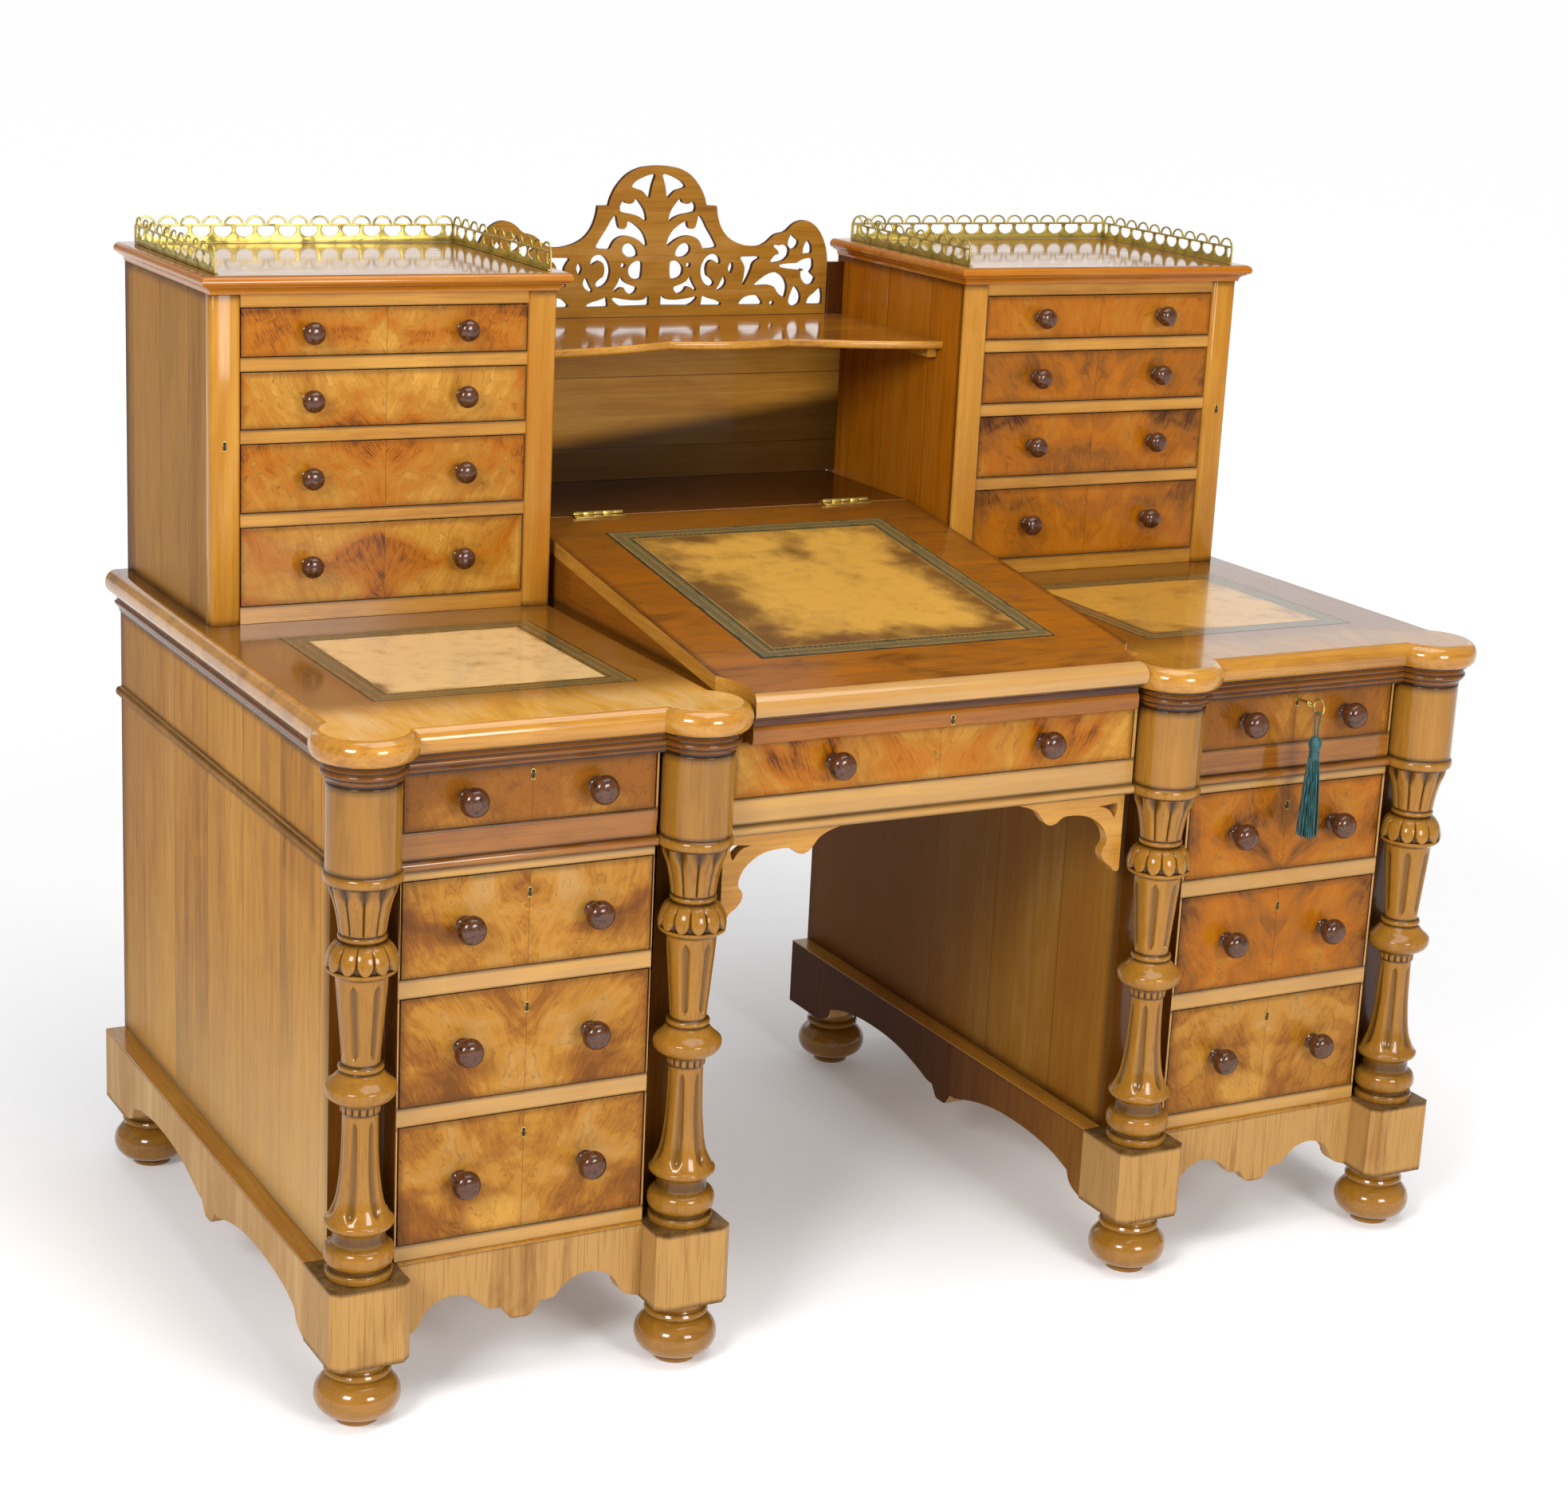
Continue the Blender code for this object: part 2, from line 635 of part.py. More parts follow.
def plinth_mesh():
    """Right plinth: a frame on scalloped aprons, with a block under each column."""
    x0 = PEDESTAL_INNER_X - PLINTH_OVERHANG
    x1 = PEDESTAL_OUTER_X + PLINTH_OVERHANG
    front = FRONT_Y - PLINTH_FRONT_SET
    heights = (PLINTH_Z, PLINTH_TOP_Z)
    frame = boxes("plinth", ((x0, x1), (front, BACK_Y), heights))
    half = BLOCK_W / 2.0
    cant = BLOCK_CANT
    square = [(-half, half), (-half, cant - half), (cant - half, -half), (half - cant, -half),
              (half, cant - half), (half, half)]
    blocks = []
    for x in (COLUMN_INNER_X, COLUMN_OUTER_X):
        outline = [(x + u, COLUMN_Y + v) for u, v in square]
        blocks.append(plate("block", [outline], PLINTH_H, plan_matrix((PLINTH_Z + PLINTH_TOP_Z) / 2.0)))
    body = join("plinth", frame, *blocks)
    through = (PLINTH_Z - EDGE_OVERCUT, PLINTH_TOP_Z + EDGE_OVERCUT)
    block_back = COLUMN_Y + half
    hollow = boxes("plinth_hollow", ((x0 + PLINTH_WALL, x1 - PLINTH_WALL),
                                     (block_back, BACK_Y - PLINTH_BACK_BEAM), through))
    between = boxes("plinth_front_hollow", ((COLUMN_INNER_X + half, COLUMN_OUTER_X - half),
                                            (front + PLINTH_WALL, block_back + EDGE_OVERCUT), through))
    front_half = COLUMN_OFFSET - half
    front_edge = [(PEDESTAL_X + u, z) for u, z in apron_cutter(front_half)]
    front_cut = plate("front_apron", [front_edge], 2.0 * PLINTH_WALL, front_matrix(front))
    side_middle = (block_back + BACK_Y - PLINTH_BACK_BEAM) / 2.0
    side_half = (BACK_Y - PLINTH_BACK_BEAM - block_back) / 2.0
    side_edge = [(side_middle + v, z) for v, z in apron_cutter(side_half)]
    side_cuts = [plate("side_apron", [side_edge], 2.0 * PLINTH_WALL + 2.0 * EDGE_OVERCUT, side_matrix(x))
                 for x in (x0, x1)]
    return cut("plinth", body, hollow, between, front_cut, *side_cuts)


def column_profile():
    """Profile of a column from the drum's top down to its base disc."""
    z = CARCASS_TOP_Z
    profile = [(0.0, z), (DRUM_R, z), (DRUM_R, ASTRAGAL_Z + ASTRAGAL_H)]
    profile += [(ASTRAGAL_R, ASTRAGAL_Z + 0.8 * ASTRAGAL_H), (ASTRAGAL_R, ASTRAGAL_Z + 0.2 * ASTRAGAL_H)]
    z = ASTRAGAL_Z
    waist = (CAPITAL_HEAD_R + CAPITAL_FOOT_R) / 2.0 - CAPITAL_HOLLOW
    profile += [(CAPITAL_HEAD_R, z), (waist, z - CAPITAL_H * 0.5)]
    z -= CAPITAL_H
    profile += [(CAPITAL_FOOT_R, z), (NECK_R, z - NECK_H)]
    z -= NECK_H
    profile += [(COLLAR_R * 0.93, z - COLLAR_H * 0.40), (COLLAR_R, z - COLLAR_H * 0.70),
                (COLLAR_R * 0.93, z - COLLAR_H * 0.95)]
    z -= COLLAR_H
    profile.append((UPPER_SHAFT_HEAD_R, z))
    lower_top = CARCASS_Z + BASE_DISC_H + GROOVE_H + TORUS_H + COVE_H + LOWER_SHAFT_H
    z = lower_top + DENTIL_H + RING_H + BEAD_H
    profile += [(UPPER_SHAFT_FOOT_R, z), (BEAD_R, z - BEAD_H * 0.3), (BEAD_R, z - BEAD_H)]
    z -= BEAD_H
    profile += [(RING_R, z - RING_H * 0.38), (RING_R, z - RING_H * 0.66), (DENTIL_R, z - RING_H)]
    z = lower_top
    profile += [(DENTIL_R, z), (LOWER_SHAFT_R, z - SHAFT_STEP_H),
                (LOWER_SHAFT_R * 1.06, z - LOWER_SHAFT_H * 0.38),
                (LOWER_SHAFT_R * 1.40, z - LOWER_SHAFT_H * 0.70), (FLARE_R, z - LOWER_SHAFT_H * 0.90)]
    z -= LOWER_SHAFT_H
    profile += [(COVE_R, z), (COVE_R, z - COVE_H)]
    z -= COVE_H
    profile += [(TORUS_R, z - TORUS_H * 0.35), (TORUS_R, z - TORUS_H * 0.70), (GROOVE_R, z - TORUS_H)]
    z = CARCASS_Z + BASE_DISC_H
    profile += [(BASE_DISC_R, z), (BASE_DISC_R, CARCASS_Z), (0.0, CARCASS_Z)]
    return profile


def add_columns():
    """Four turned columns at the pedestals' front corners, sharing one mesh."""
    mesh = turned("column", column_profile(), COLUMN_SIDES)
    for side, sign in (("left", -1.0), ("right", 1.0)):
        for place, x in (("inner", COLUMN_INNER_X), ("outer", COLUMN_OUTER_X)):
            obj = add_object(f"column_{side}_{place}", mesh.copy(), PARTS)
            obj.location = (sign * x, COLUMN_Y, 0.0)
            finish_piece(obj, WALNUT)


# Carcasses

def pedestal_mesh():
    """Right pedestal's carcass: face frame, sides, back and dust boards, with an astragal."""
    body = boxes("pedestal", ((PEDESTAL_INNER_X, PEDESTAL_OUTER_X), (FRONT_Y, BACK_Y),
                              (CARCASS_Z, CARCASS_TOP_Z)))
    strip_x = COLUMN_OFFSET - CORNER - FIT
    bead_z = (ASTRAGAL_Z, ASTRAGAL_Z + ASTRAGAL_H)
    front_bead = boxes("front_bead", ((PEDESTAL_X - strip_x, PEDESTAL_X + strip_x),
                                      (FRONT_Y - ASTRAGAL_PROUD, FRONT_Y + JOIN_DEPTH), bead_z))
    corner_back = COLUMN_Y + CORNER
    side_bead = boxes("side_bead", ((PEDESTAL_OUTER_X - JOIN_DEPTH, PEDESTAL_OUTER_X + ASTRAGAL_PROUD),
                                    (corner_back, BACK_Y), bead_z))
    body = join("pedestal", body, front_bead, side_bead)
    heights = (CARCASS_Z - EDGE_OVERCUT, CARCASS_TOP_Z + EDGE_OVERCUT)
    corner_y = (FRONT_Y - EDGE_OVERCUT, corner_back)
    wall = COLUMN_OFFSET - CORNER
    corners = boxes("column_corners",
                    ((PEDESTAL_INNER_X - EDGE_OVERCUT, PEDESTAL_X - wall), corner_y, heights),
                    ((PEDESTAL_X + wall, PEDESTAL_OUTER_X + EDGE_OVERCUT), corner_y, heights))
    half = DRAWER_W / 2.0 + DRAWER_PLAY
    inner = PEDESTAL_HALF_W - SIDE_PANEL
    open_top = CARCASS_TOP_Z + EDGE_OVERCUT
    floors = [z for z, front_height in PEDESTAL_OPENINGS]
    ceilings = [z - DUST_BOARD for z in floors[1:]] + [open_top]
    mouths = []
    chambers = []
    for (z, front_height), ceiling in zip(PEDESTAL_OPENINGS, ceilings):
        top = min(z + opening_height(front_height), ceiling)
        if ceiling == open_top:
            top = open_top
        mouths.append(((PEDESTAL_X - half, PEDESTAL_X + half),
                       (FRONT_Y - EDGE_OVERCUT, FRONT_Y + FACE_FRAME + JOIN_DEPTH), (z, top)))
        chambers.append(((PEDESTAL_X - inner, PEDESTAL_X + inner),
                         (FRONT_Y + FACE_FRAME, BACK_Y - BACK_BOARD), (z, ceiling)))
    return cut("pedestal", body, corners, boxes("mouths", *mouths), boxes("chambers", *chambers))


def lid_surface(y):
    """Height of the lid's upper surface at a depth."""
    return LID_BACK_Z + (y - HINGE_Y) * math.tan(LID_SLOPE)


def lid_underside(y):
    """Height of the lid's underside at a depth."""
    return lid_surface(y) - LID_T / math.cos(LID_SLOPE)


def cap_cutters(name, radius):
    """Cylinders round the two inner caps, to clear what lies between them."""
    height = LID_HINGE_RISE + SLAB_H + UNDER_MOULD_H
    middle = CARCASS_TOP_Z + FIT + height / 2.0 - EDGE_OVERCUT
    places = [Matrix.Translation((sign * COLUMN_INNER_X, COLUMN_Y, middle)) for sign in (-1.0, 1.0)]
    return [cylinder(name, radius, height, place, CAP_SIDES) for place in places]


def centre_carcass_mesh():
    """Frieze over the kneehole, with the writing slope's walls, well and back strip above it."""
    half = PEDESTAL_INNER_X - FIT
    frieze = boxes("frieze", ((-half, half), (FRONT_Y, BACK_Y), (ASTRAGAL_Z, CARCASS_TOP_Z)))
    slope = boxes("slope", ((-SLOPE_HALF_W, SLOPE_HALF_W), (FRONT_Y, BACK_Y),
                            (CARCASS_TOP_Z - JOIN_DEPTH, LID_BACK_Z)))
    post_x = COLUMN_INNER_X - CORNER
    mould_top = TOP_Z - LID_NOSE_H - FIT
    mould_x = COLUMN_INNER_X - CAP_R
    mould = boxes("lock_rail", ((-mould_x, mould_x),
                                (FRONT_Y - LID_NOSE_SET + UNDER_MOULD_INSET, FRONT_Y + JOIN_DEPTH),
                                (CARCASS_TOP_Z + FIT, mould_top)))
    bead = boxes("centre_bead", ((-(post_x - FIT), post_x - FIT),
                                 (FRONT_Y - ASTRAGAL_PROUD, FRONT_Y + JOIN_DEPTH),
                                 (ASTRAGAL_Z, ASTRAGAL_Z + ASTRAGAL_H)))
    body = join("centre_carcass", frieze, slope, mould, bead)

    lid_end = HINGE_Y + HINGE_PLAY
    above = LID_BACK_Z + EDGE_OVERCUT
    before = FRONT_Y - EDGE_OVERCUT
    wedge = [(before, lid_underside(before) - FIT), (lid_end, lid_underside(lid_end) - FIT),
             (lid_end, above), (before, above)]
    over_lid = plate("lid_space", [wedge], 2.0 * (SLOPE_HALF_W + EDGE_OVERCUT), side_matrix(0.0))
    corner_y = (FRONT_Y - ASTRAGAL_PROUD - EDGE_OVERCUT, COLUMN_Y + CORNER)
    corner_z = (ASTRAGAL_Z - EDGE_OVERCUT, CARCASS_TOP_Z + FIT + EDGE_OVERCUT)
    corners = boxes("column_corners", ((post_x, half + EDGE_OVERCUT), corner_y, corner_z),
                    ((-half - EDGE_OVERCUT, -post_x), corner_y, corner_z))
    mouth_x = post_x - CENTRE_POST
    mouth = boxes("centre_mouth", ((-mouth_x, mouth_x), (FRONT_Y - EDGE_OVERCUT, BACK_Y - CENTRE_BOARD),
                                   (FRIEZE_Z, CARCASS_TOP_Z)))
    under_x = half - SIDE_PANEL
    under = boxes("kneehole_ceiling", ((-under_x, under_x), (FRONT_Y + FACE_FRAME, BACK_Y - CENTRE_BOARD),
                                       (ASTRAGAL_Z - EDGE_OVERCUT, FRIEZE_Z - DUST_BOARD)))
    well_x = SLOPE_HALF_W - WELL_WALL
    well = boxes("well", ((-well_x, well_x), (FRONT_Y + WELL_FRONT, BACK_Y - WELL_BACK),
                          (CARCASS_TOP_Z + WELL_FLOOR, LID_BACK_Z - LID_T)))
    caps = cap_cutters("cap_clearance", CAP_R + LID_PLAY / 2.0)
    return cut("centre_carcass", body, over_lid, corners, mouth, under, well, *caps)


def bank_mesh():
    """Right bank's carcass, with a fixed inner stile and a rebate for the locking stile."""
    proud = BANK_FRONT_Y - STILE_PROUD
    body = boxes("bank", ((BANK_INNER_X, BANK_OUTER_X), (BANK_FRONT_Y, BACK_Y), (BANK_Z, BANK_TOP_Z)))
    inner_stile = boxes("inner_stile", ((BANK_INNER_X, BANK_INNER_X + BANK_STILE_W),
                                        (proud, BANK_FRONT_Y + JOIN_DEPTH), (BANK_Z, BANK_TOP_Z)))
    body = join("bank", body, inner_stile)
    half = BANK_DRAWER_W / 2.0 + DRAWER_PLAY
    mouths = [((BANK_X - half, BANK_X + half), (BANK_FRONT_Y - EDGE_OVERCUT, BACK_Y - BANK_BACK_BOARD),
               (z, z + opening_height(front_height))) for z, front_height in BANK_OPENINGS]
    rebate = boxes("stile_rebate", ((BANK_OUTER_X - BANK_STILE_W - FIT, BANK_OUTER_X + EDGE_OVERCUT),
                                    (BANK_FRONT_Y - EDGE_OVERCUT, STILE_BACK_Y + FIT),
                                    (BANK_Z - EDGE_OVERCUT, BANK_TOP_Z + EDGE_OVERCUT)))
    return cut("bank", body, boxes("bank_mouths", *mouths), rebate)


def locking_stile_mesh():
    """Right bank's hinged stile, with a rounded front."""
    body = boxes("stile", ((BANK_OUTER_X - BANK_STILE_W, BANK_OUTER_X),
                           (BANK_FRONT_Y - STILE_PROUD, STILE_BACK_Y), (BANK_Z, BANK_TOP_Z)))
    bm = bmesh.new()
    bm.from_mesh(body)
    front_edges = [edge for edge in bm.edges
                   if all(v.co.y < STILE_BACK_Y - STILE_T / 2.0 for v in edge.verts)
                   and abs(edge.verts[0].co.z - edge.verts[1].co.z) > BANK_STILE_W]
    bmesh.ops.bevel(bm, geom=front_edges, offset=STILE_ROUND, segments=3, affect="EDGES", profile=0.5)
    bm.to_mesh(body)
    bm.free()
    return body


# Tops

def top_outline(inset):
    """Plan outline of the right flat top, with round caps over the columns."""
    radius = CAP_R - inset
    inner_x = TOP_INNER_X + inset
    outer_x = TOP_OUTER_X - inset
    front = TOP_FRONT_Y + inset
    inner_start = math.degrees(math.acos((inner_x - COLUMN_INNER_X) / radius))
    outer_end = math.degrees(math.acos((outer_x - COLUMN_OUTER_X) / radius))
    dip = math.degrees(math.asin((front - COLUMN_Y) / radius))
    inner_cap = arc((COLUMN_INNER_X, COLUMN_Y), radius, inner_start, 360.0 + dip, 14)
    outer_cap = arc((COLUMN_OUTER_X, COLUMN_Y), radius, 180.0 - dip, 360.0 + outer_end, 14)
    return [(inner_x, BACK_Y), *inner_cap, *outer_cap, (outer_x, BACK_Y)]


def leather_spans(grow, z_limits):
    """Box of the right flat top's leather, or of its recess when grown by a clearance."""
    x0 = TOP_INNER_X + LEATHER_FROM_INNER
    y0 = FRONT_Y + LEATHER_FROM_FRONT
    return ((x0 - grow, x0 + LEATHER_W + grow), (y0 - grow, y0 + LEATHER_L + grow), z_limits)


def flat_top_mesh():
    """Right flat top: moulded slab with caps, and the moulding below it."""
    slab = plate("slab", [top_outline(0.0)], SLAB_H, plan_matrix(SLAB_Z + SLAB_H / 2.0))
    slab = rounded("slab", slab, SLAB_ROUND, 2)
    under_h = UNDER_MOULD_H + JOIN_DEPTH
    under = plate("under_mould", [top_outline(UNDER_MOULD_INSET)], under_h,
                  plan_matrix(CARCASS_TOP_Z + FIT + under_h / 2.0))
    body = join("flat_top", slab, under)
    recess = boxes("leather_recess", leather_spans(FIT, (TOP_Z - LEATHER_T - FIT, TOP_Z + EDGE_OVERCUT)))
    return cut("flat_top", body, recess)


def bank_top_mesh():
    """Right bank's moulded top board."""
    body = boxes("bank_top", ((BANK_INNER_X - CORNICE_OVERHANG, BANK_OUTER_X + CORNICE_OVERHANG),
                              (BANK_FRONT_Y - STILE_PROUD - CORNICE_OVERHANG, BACK_Y),
                              (CORNICE_Z, CORNICE_TOP_Z)))
    return rounded("bank_top", body, CORNICE_ROUND, 2)


def gallery_mesh():
    """Right bank's brass gallery: a strip and a rail on three sides, joined by posts."""
    x0 = BANK_INNER_X - CORNICE_OVERHANG + GALLERY_INSET
    x1 = BANK_OUTER_X + CORNICE_OVERHANG - GALLERY_INSET
    y0 = BANK_FRONT_Y - STILE_PROUD - CORNICE_OVERHANG + GALLERY_INSET
    y1 = BACK_Y - GALLERY_INSET
    t = GALLERY_T
    plan = [(x0, y0), (x0 + t, y0), (x0 + t, y1 - t), (x1 - t, y1 - t),
            (x1 - t, y0), (x1, y0), (x1, y1), (x0, y1)]
    z0 = CORNICE_TOP_Z + FIT
    strip = plate("gallery_strip", [plan], GALLERY_STRIP_H, plan_matrix(z0 + GALLERY_STRIP_H / 2.0))
    rail = plate("gallery_rail", [plan], GALLERY_RAIL_H, plan_matrix(z0 + GALLERY_H - GALLERY_RAIL_H / 2.0))
    post_z = (z0 + GALLERY_STRIP_H - JOIN_DEPTH, z0 + GALLERY_H - GALLERY_RAIL_H + JOIN_DEPTH)
    half = GALLERY_POST_W / 2.0
    skin = t / 4.0
    posts = []
    across = round((x1 - x0) / GALLERY_PITCH)
    for i in range(across + 1):
        x = x0 + half + (x1 - x0 - GALLERY_POST_W) * i / across
        limits = (max(x - half, x0 + skin), min(x + half, x1 - skin))
        posts.append((limits, (y1 - t + skin, y1 - skin), post_z))
    along = round((y1 - y0) / GALLERY_PITCH)
    for i in range(along):
        y = y0 + half + (y1 - y0 - GALLERY_POST_W) * i / along
        limits = (max(y - half, y0 + skin), y + half)
        posts.append(((x0 + skin, x0 + t - skin), limits, post_z))
        posts.append(((x1 - t + skin, x1 - skin), limits, post_z))
    return join("gallery", strip, boxes("gallery_posts", *posts), rail)


# Drawers

def knob_profile(radius, length, stem):
    """Profile of a turned wooden knob standing on a drawer front at height zero."""
    return [
        (0.0, length),
        (radius * 0.62, length - radius * 0.22),
        (radius, length - radius * 0.95),
        (radius * 0.72, length - radius * 1.62),
        (stem, length - radius * 1.85),
        (stem, -KNOB_TENON),
        (0.0, -KNOB_TENON),
    ]


def drawer_mesh(width, height, length, knob, spread):
    """Drawer with its open box and two knobs, about the middle of its front face."""
    half = width / 2.0
    up = height / 2.0
    front = boxes("drawer_front", ((-half, half), (0.0, FRONT_T), (-up, up)))
    side = half - BOX_INSET
    low = FIT - up - DRAWER_PLAY
    box = boxes("drawer_box", ((-side, side), (FRONT_T - JOIN_DEPTH, length), (low, up - BOX_DROP)))
    hollow = boxes("drawer_hollow", ((BOX_SIDE - side, side - BOX_SIDE),
                                     (FRONT_T + JOIN_DEPTH / 2.0, length - BOX_SIDE), (low + BOX_BOTTOM, up)))
    body = cut("drawer", join("drawer", front, box), hollow)
    radius, reach, stem = knob
    knobs = []
    for sign in (-1.0, 1.0):
        mesh = turned("knob", knob_profile(radius, reach, stem), KNOB_SIDES)
        place = Matrix.Translation((sign * spread / 2.0, 0.0, 0.0))
        mesh.transform(place @ Matrix.Rotation(math.pi / 2.0, 4, "X"))
        knobs.append(mesh)
    return join("drawer", body, *knobs)


def add_drawer(name, mesh, x, y, opening_z, height):
    """Place a drawer in an opening."""
    obj = add_object(name, mesh, PARTS)
    obj.location = (x, y, opening_z + DRAWER_PLAY + height / 2.0)
    finish_piece(obj, BURR)
    return obj


def add_pedestal_drawers():
    """Frieze drawer and three lower drawers of each pedestal."""
    knob = (KNOB_R, KNOB_L, KNOB_STEM_R)
    names = ("pedestal_drawer_3", "pedestal_drawer_2", "pedestal_drawer_1", "frieze_drawer")
    for name, (z, height) in zip(names, PEDESTAL_OPENINGS):
        mesh = drawer_mesh(DRAWER_W, height, PEDESTAL_BOX_L, knob, KNOB_SPREAD)
        for side, sign in (("left", -1.0), ("right", 1.0)):
            add_drawer(f"{side}_{name}", mesh.copy(), sign * PEDESTAL_X, FRONT_Y, z, height)


def add_bank_drawers():
    """Four small drawers of each bank, numbered from the top."""
    knob = (BANK_KNOB_R, BANK_KNOB_L, BANK_KNOB_STEM_R)
    for number, (z, height) in enumerate(BANK_OPENINGS, 1):
        mesh = drawer_mesh(BANK_DRAWER_W, height, BANK_BOX_L, knob, BANK_KNOB_SPREAD)
        for side, sign in (("left", -1.0), ("right", 1.0)):
            add_drawer(f"{side}_bank_drawer_{number}", mesh.copy(), sign * BANK_X, BANK_FRONT_Y, z, height)


def add_centre_drawer():
    """Wide frieze drawer over the kneehole."""
    width = 2.0 * (COLUMN_INNER_X - CORNER - CENTRE_POST - DRAWER_PLAY)
    knob = (KNOB_R, KNOB_L, KNOB_STEM_R)
    mesh = drawer_mesh(width, FRIEZE_DRAWER_H, CENTRE_BOX_L, knob, CENTRE_KNOB_SPREAD)
    add_drawer("centre_frieze_drawer", mesh, 0.0, FRONT_Y, FRIEZE_Z, FRIEZE_DRAWER_H)


# Writing lid and its hinges

def lid_frame():
    """Matrix from the lid's own frame to the desk: origin on its surface at the joint line."""
    return Matrix.Translation((0.0, HINGE_Y, LID_BACK_Z)) @ Matrix.Rotation(LID_SLOPE, 4, "X")


def lid_leather_spans(grow, z_limits):
    """Box of the lid's leather in the lid's frame, or of its recess when grown."""
    back = -LID_LEATHER_FROM_HINGE
    half = LID_LEATHER_W / 2.0
    return ((-half - grow, half + grow), (back - LID_LEATHER_L - grow, back + grow), z_limits)


def lid_mesh():
    """Writing lid with a rounded nose, cut back round the caps."""
    back = HINGE_Y - HINGE_PLAY
    nose_back = FRONT_Y - HINGE_PLAY
    nose_low = TOP_Z - LID_NOSE_H
    r = LID_NOSE_ROUND
    low_centre = (LID_NOSE_Y + r, nose_low + r)
    top_centre = (LID_NOSE_Y + r, lid_surface(LID_NOSE_Y + r) - r)
    profile = [
        (back, lid_surface(back)),
        *arc(top_centre, r, 90.0, 180.0, 4),
        *arc(low_centre, r, 180.0, 270.0, 3),
        (nose_back, nose_low),
        (nose_back, lid_underside(nose_back)),
        (back, lid_underside(back)),
    ]
    body = plate("lid", [profile], 2.0 * LID_HALF_W, side_matrix(0.0))
    recess = boxes("lid_recess", lid_leather_spans(FIT, (-LEATHER_T - FIT, EDGE_OVERCUT)))
    recess.transform(lid_frame())
    return cut("lid", body, recess, *cap_cutters("lid_clearance", CAP_R + LID_PLAY))


def add_lid():
    """Writing lid and its leather, with their origins on the hinge axis."""
    axis = (0.0, HINGE_Y, HINGE_Z)
    piece("writing_lid", lid_mesh(), WALNUT, axis)
    leather = boxes("lid_leather", lid_leather_spans(0.0, (-LEATHER_T, 0.0)))
    leather.transform(lid_frame())
    piece("lid_leather", leather, LEATHER, axis)


def leaf_mesh(own, slope, direction, bored):
    """One leaf of a lid hinge, about its axis, with every second knuckle.

    own tells which knuckles belong to it, direction is +1 for the leaf behind the joint.
    """
    pitch = HINGE_L / KNUCKLES
    half = HINGE_L / 2.0
    leaf_z = (-HINGE_BARREL_R, HINGE_LEAF_T - HINGE_BARREL_R)
    clear = HINGE_BARREL_R + HINGE_PLAY
    near, far = sorted((direction * clear, direction * HINGE_LEAF_W))
    leaf = boxes("leaf", ((-half, half), (near, far), leaf_z))
    members = []
    for i in range(KNUCKLES):
        if i % 2 != own:
            continue
        x0 = -half + i * pitch + HINGE_PLAY / 2.0
        x1 = x0 + pitch - HINGE_PLAY
        reach = direction * (clear + JOIN_DEPTH)
        low, high = sorted((0.0, reach))
        members.append(boxes("tab", ((x0, x1), (low, high), leaf_z)))
        turn = Matrix.Translation(((x0 + x1) / 2.0, 0.0, 0.0)) @ Matrix.Rotation(math.pi / 2.0, 4, "Y")
        members.append(cylinder("knuckle", HINGE_BARREL_R, x1 - x0, turn, HINGE_SIDES))
    along = Matrix.Rotation(math.pi / 2.0, 4, "Y")
    if bored:
        bore = cylinder("bore", HINGE_PIN_R + PIN_PLAY, HINGE_L + EDGE_OVERCUT, along, HINGE_SIDES)
        body = cut("leaf", join("leaf", leaf, *members), bore)
    else:
        pin = cylinder("pin", HINGE_PIN_R, HINGE_L, along, HINGE_SIDES)
        body = join("leaf", leaf, *members, pin)
    body.transform(Matrix.Rotation(slope, 4, "X"))
    return body


def add_hinges():
    """Two brass butt hinges: one leaf on the back strip, the other on the lid."""
    for side, sign in (("left", -1.0), ("right", 1.0)):
        place = (sign * HINGE_SPREAD / 2.0, HINGE_Y, HINGE_Z)
        for kind, own, slope, direction, bored in (("fixed", 0, 0.0, 1.0, False),
                                                   ("lid", 1, LID_SLOPE, -1.0, True)):
            obj = add_object(f"{side}_hinge_{kind}_leaf", leaf_mesh(own, slope, direction, bored), PARTS)
            obj.location = place
            finish_piece(obj, BRASS)


# Shelf, back panel, crest and brackets

def shelf_mesh():
    """Serpentine shelf between the banks, with a batten under each end."""
    half = BANK_INNER_X - FIT
    end_y = FRONT_Y + SHELF_END_BACK
    cusp_y = FRONT_Y + SHELF_CUSP_BACK
    middle_y = FRONT_Y + SHELF_MIDDLE_BACK
    run = smooth_line([(half, end_y), ((half + SHELF_CUSP_X) / 2.0, (2.0 * end_y + cusp_y) / 3.0),
                       (SHELF_CUSP_X, cusp_y)], 4)
    step_y = cusp_y - SHELF_CUSP_STEP
    run += smooth_line([(SHELF_CUSP_X * 0.92, step_y), (SHELF_CUSP_X / 2.0, (step_y + middle_y) / 2.0),
                        (0.0, middle_y)], 3)
    outline = [(half, BACK_Y), (-half, BACK_Y)] + [(-x, y) for x, y in run] + list(reversed(run))[1:]
    board = plate("shelf", [outline], SHELF_T, plan_matrix(SHELF_Z + SHELF_T / 2.0))
    batten_y = (end_y + BATTEN_W, BACK_PANEL_Y - FIT)
    batten_z = (SHELF_Z - BATTEN_H, SHELF_Z + JOIN_DEPTH)
    batten_end = half - JOIN_DEPTH
    battens = boxes("battens", ((batten_end - BATTEN_W, batten_end), batten_y, batten_z),
                    ((-batten_end, BATTEN_W - batten_end), batten_y, batten_z))
    return join("shelf", board, battens)


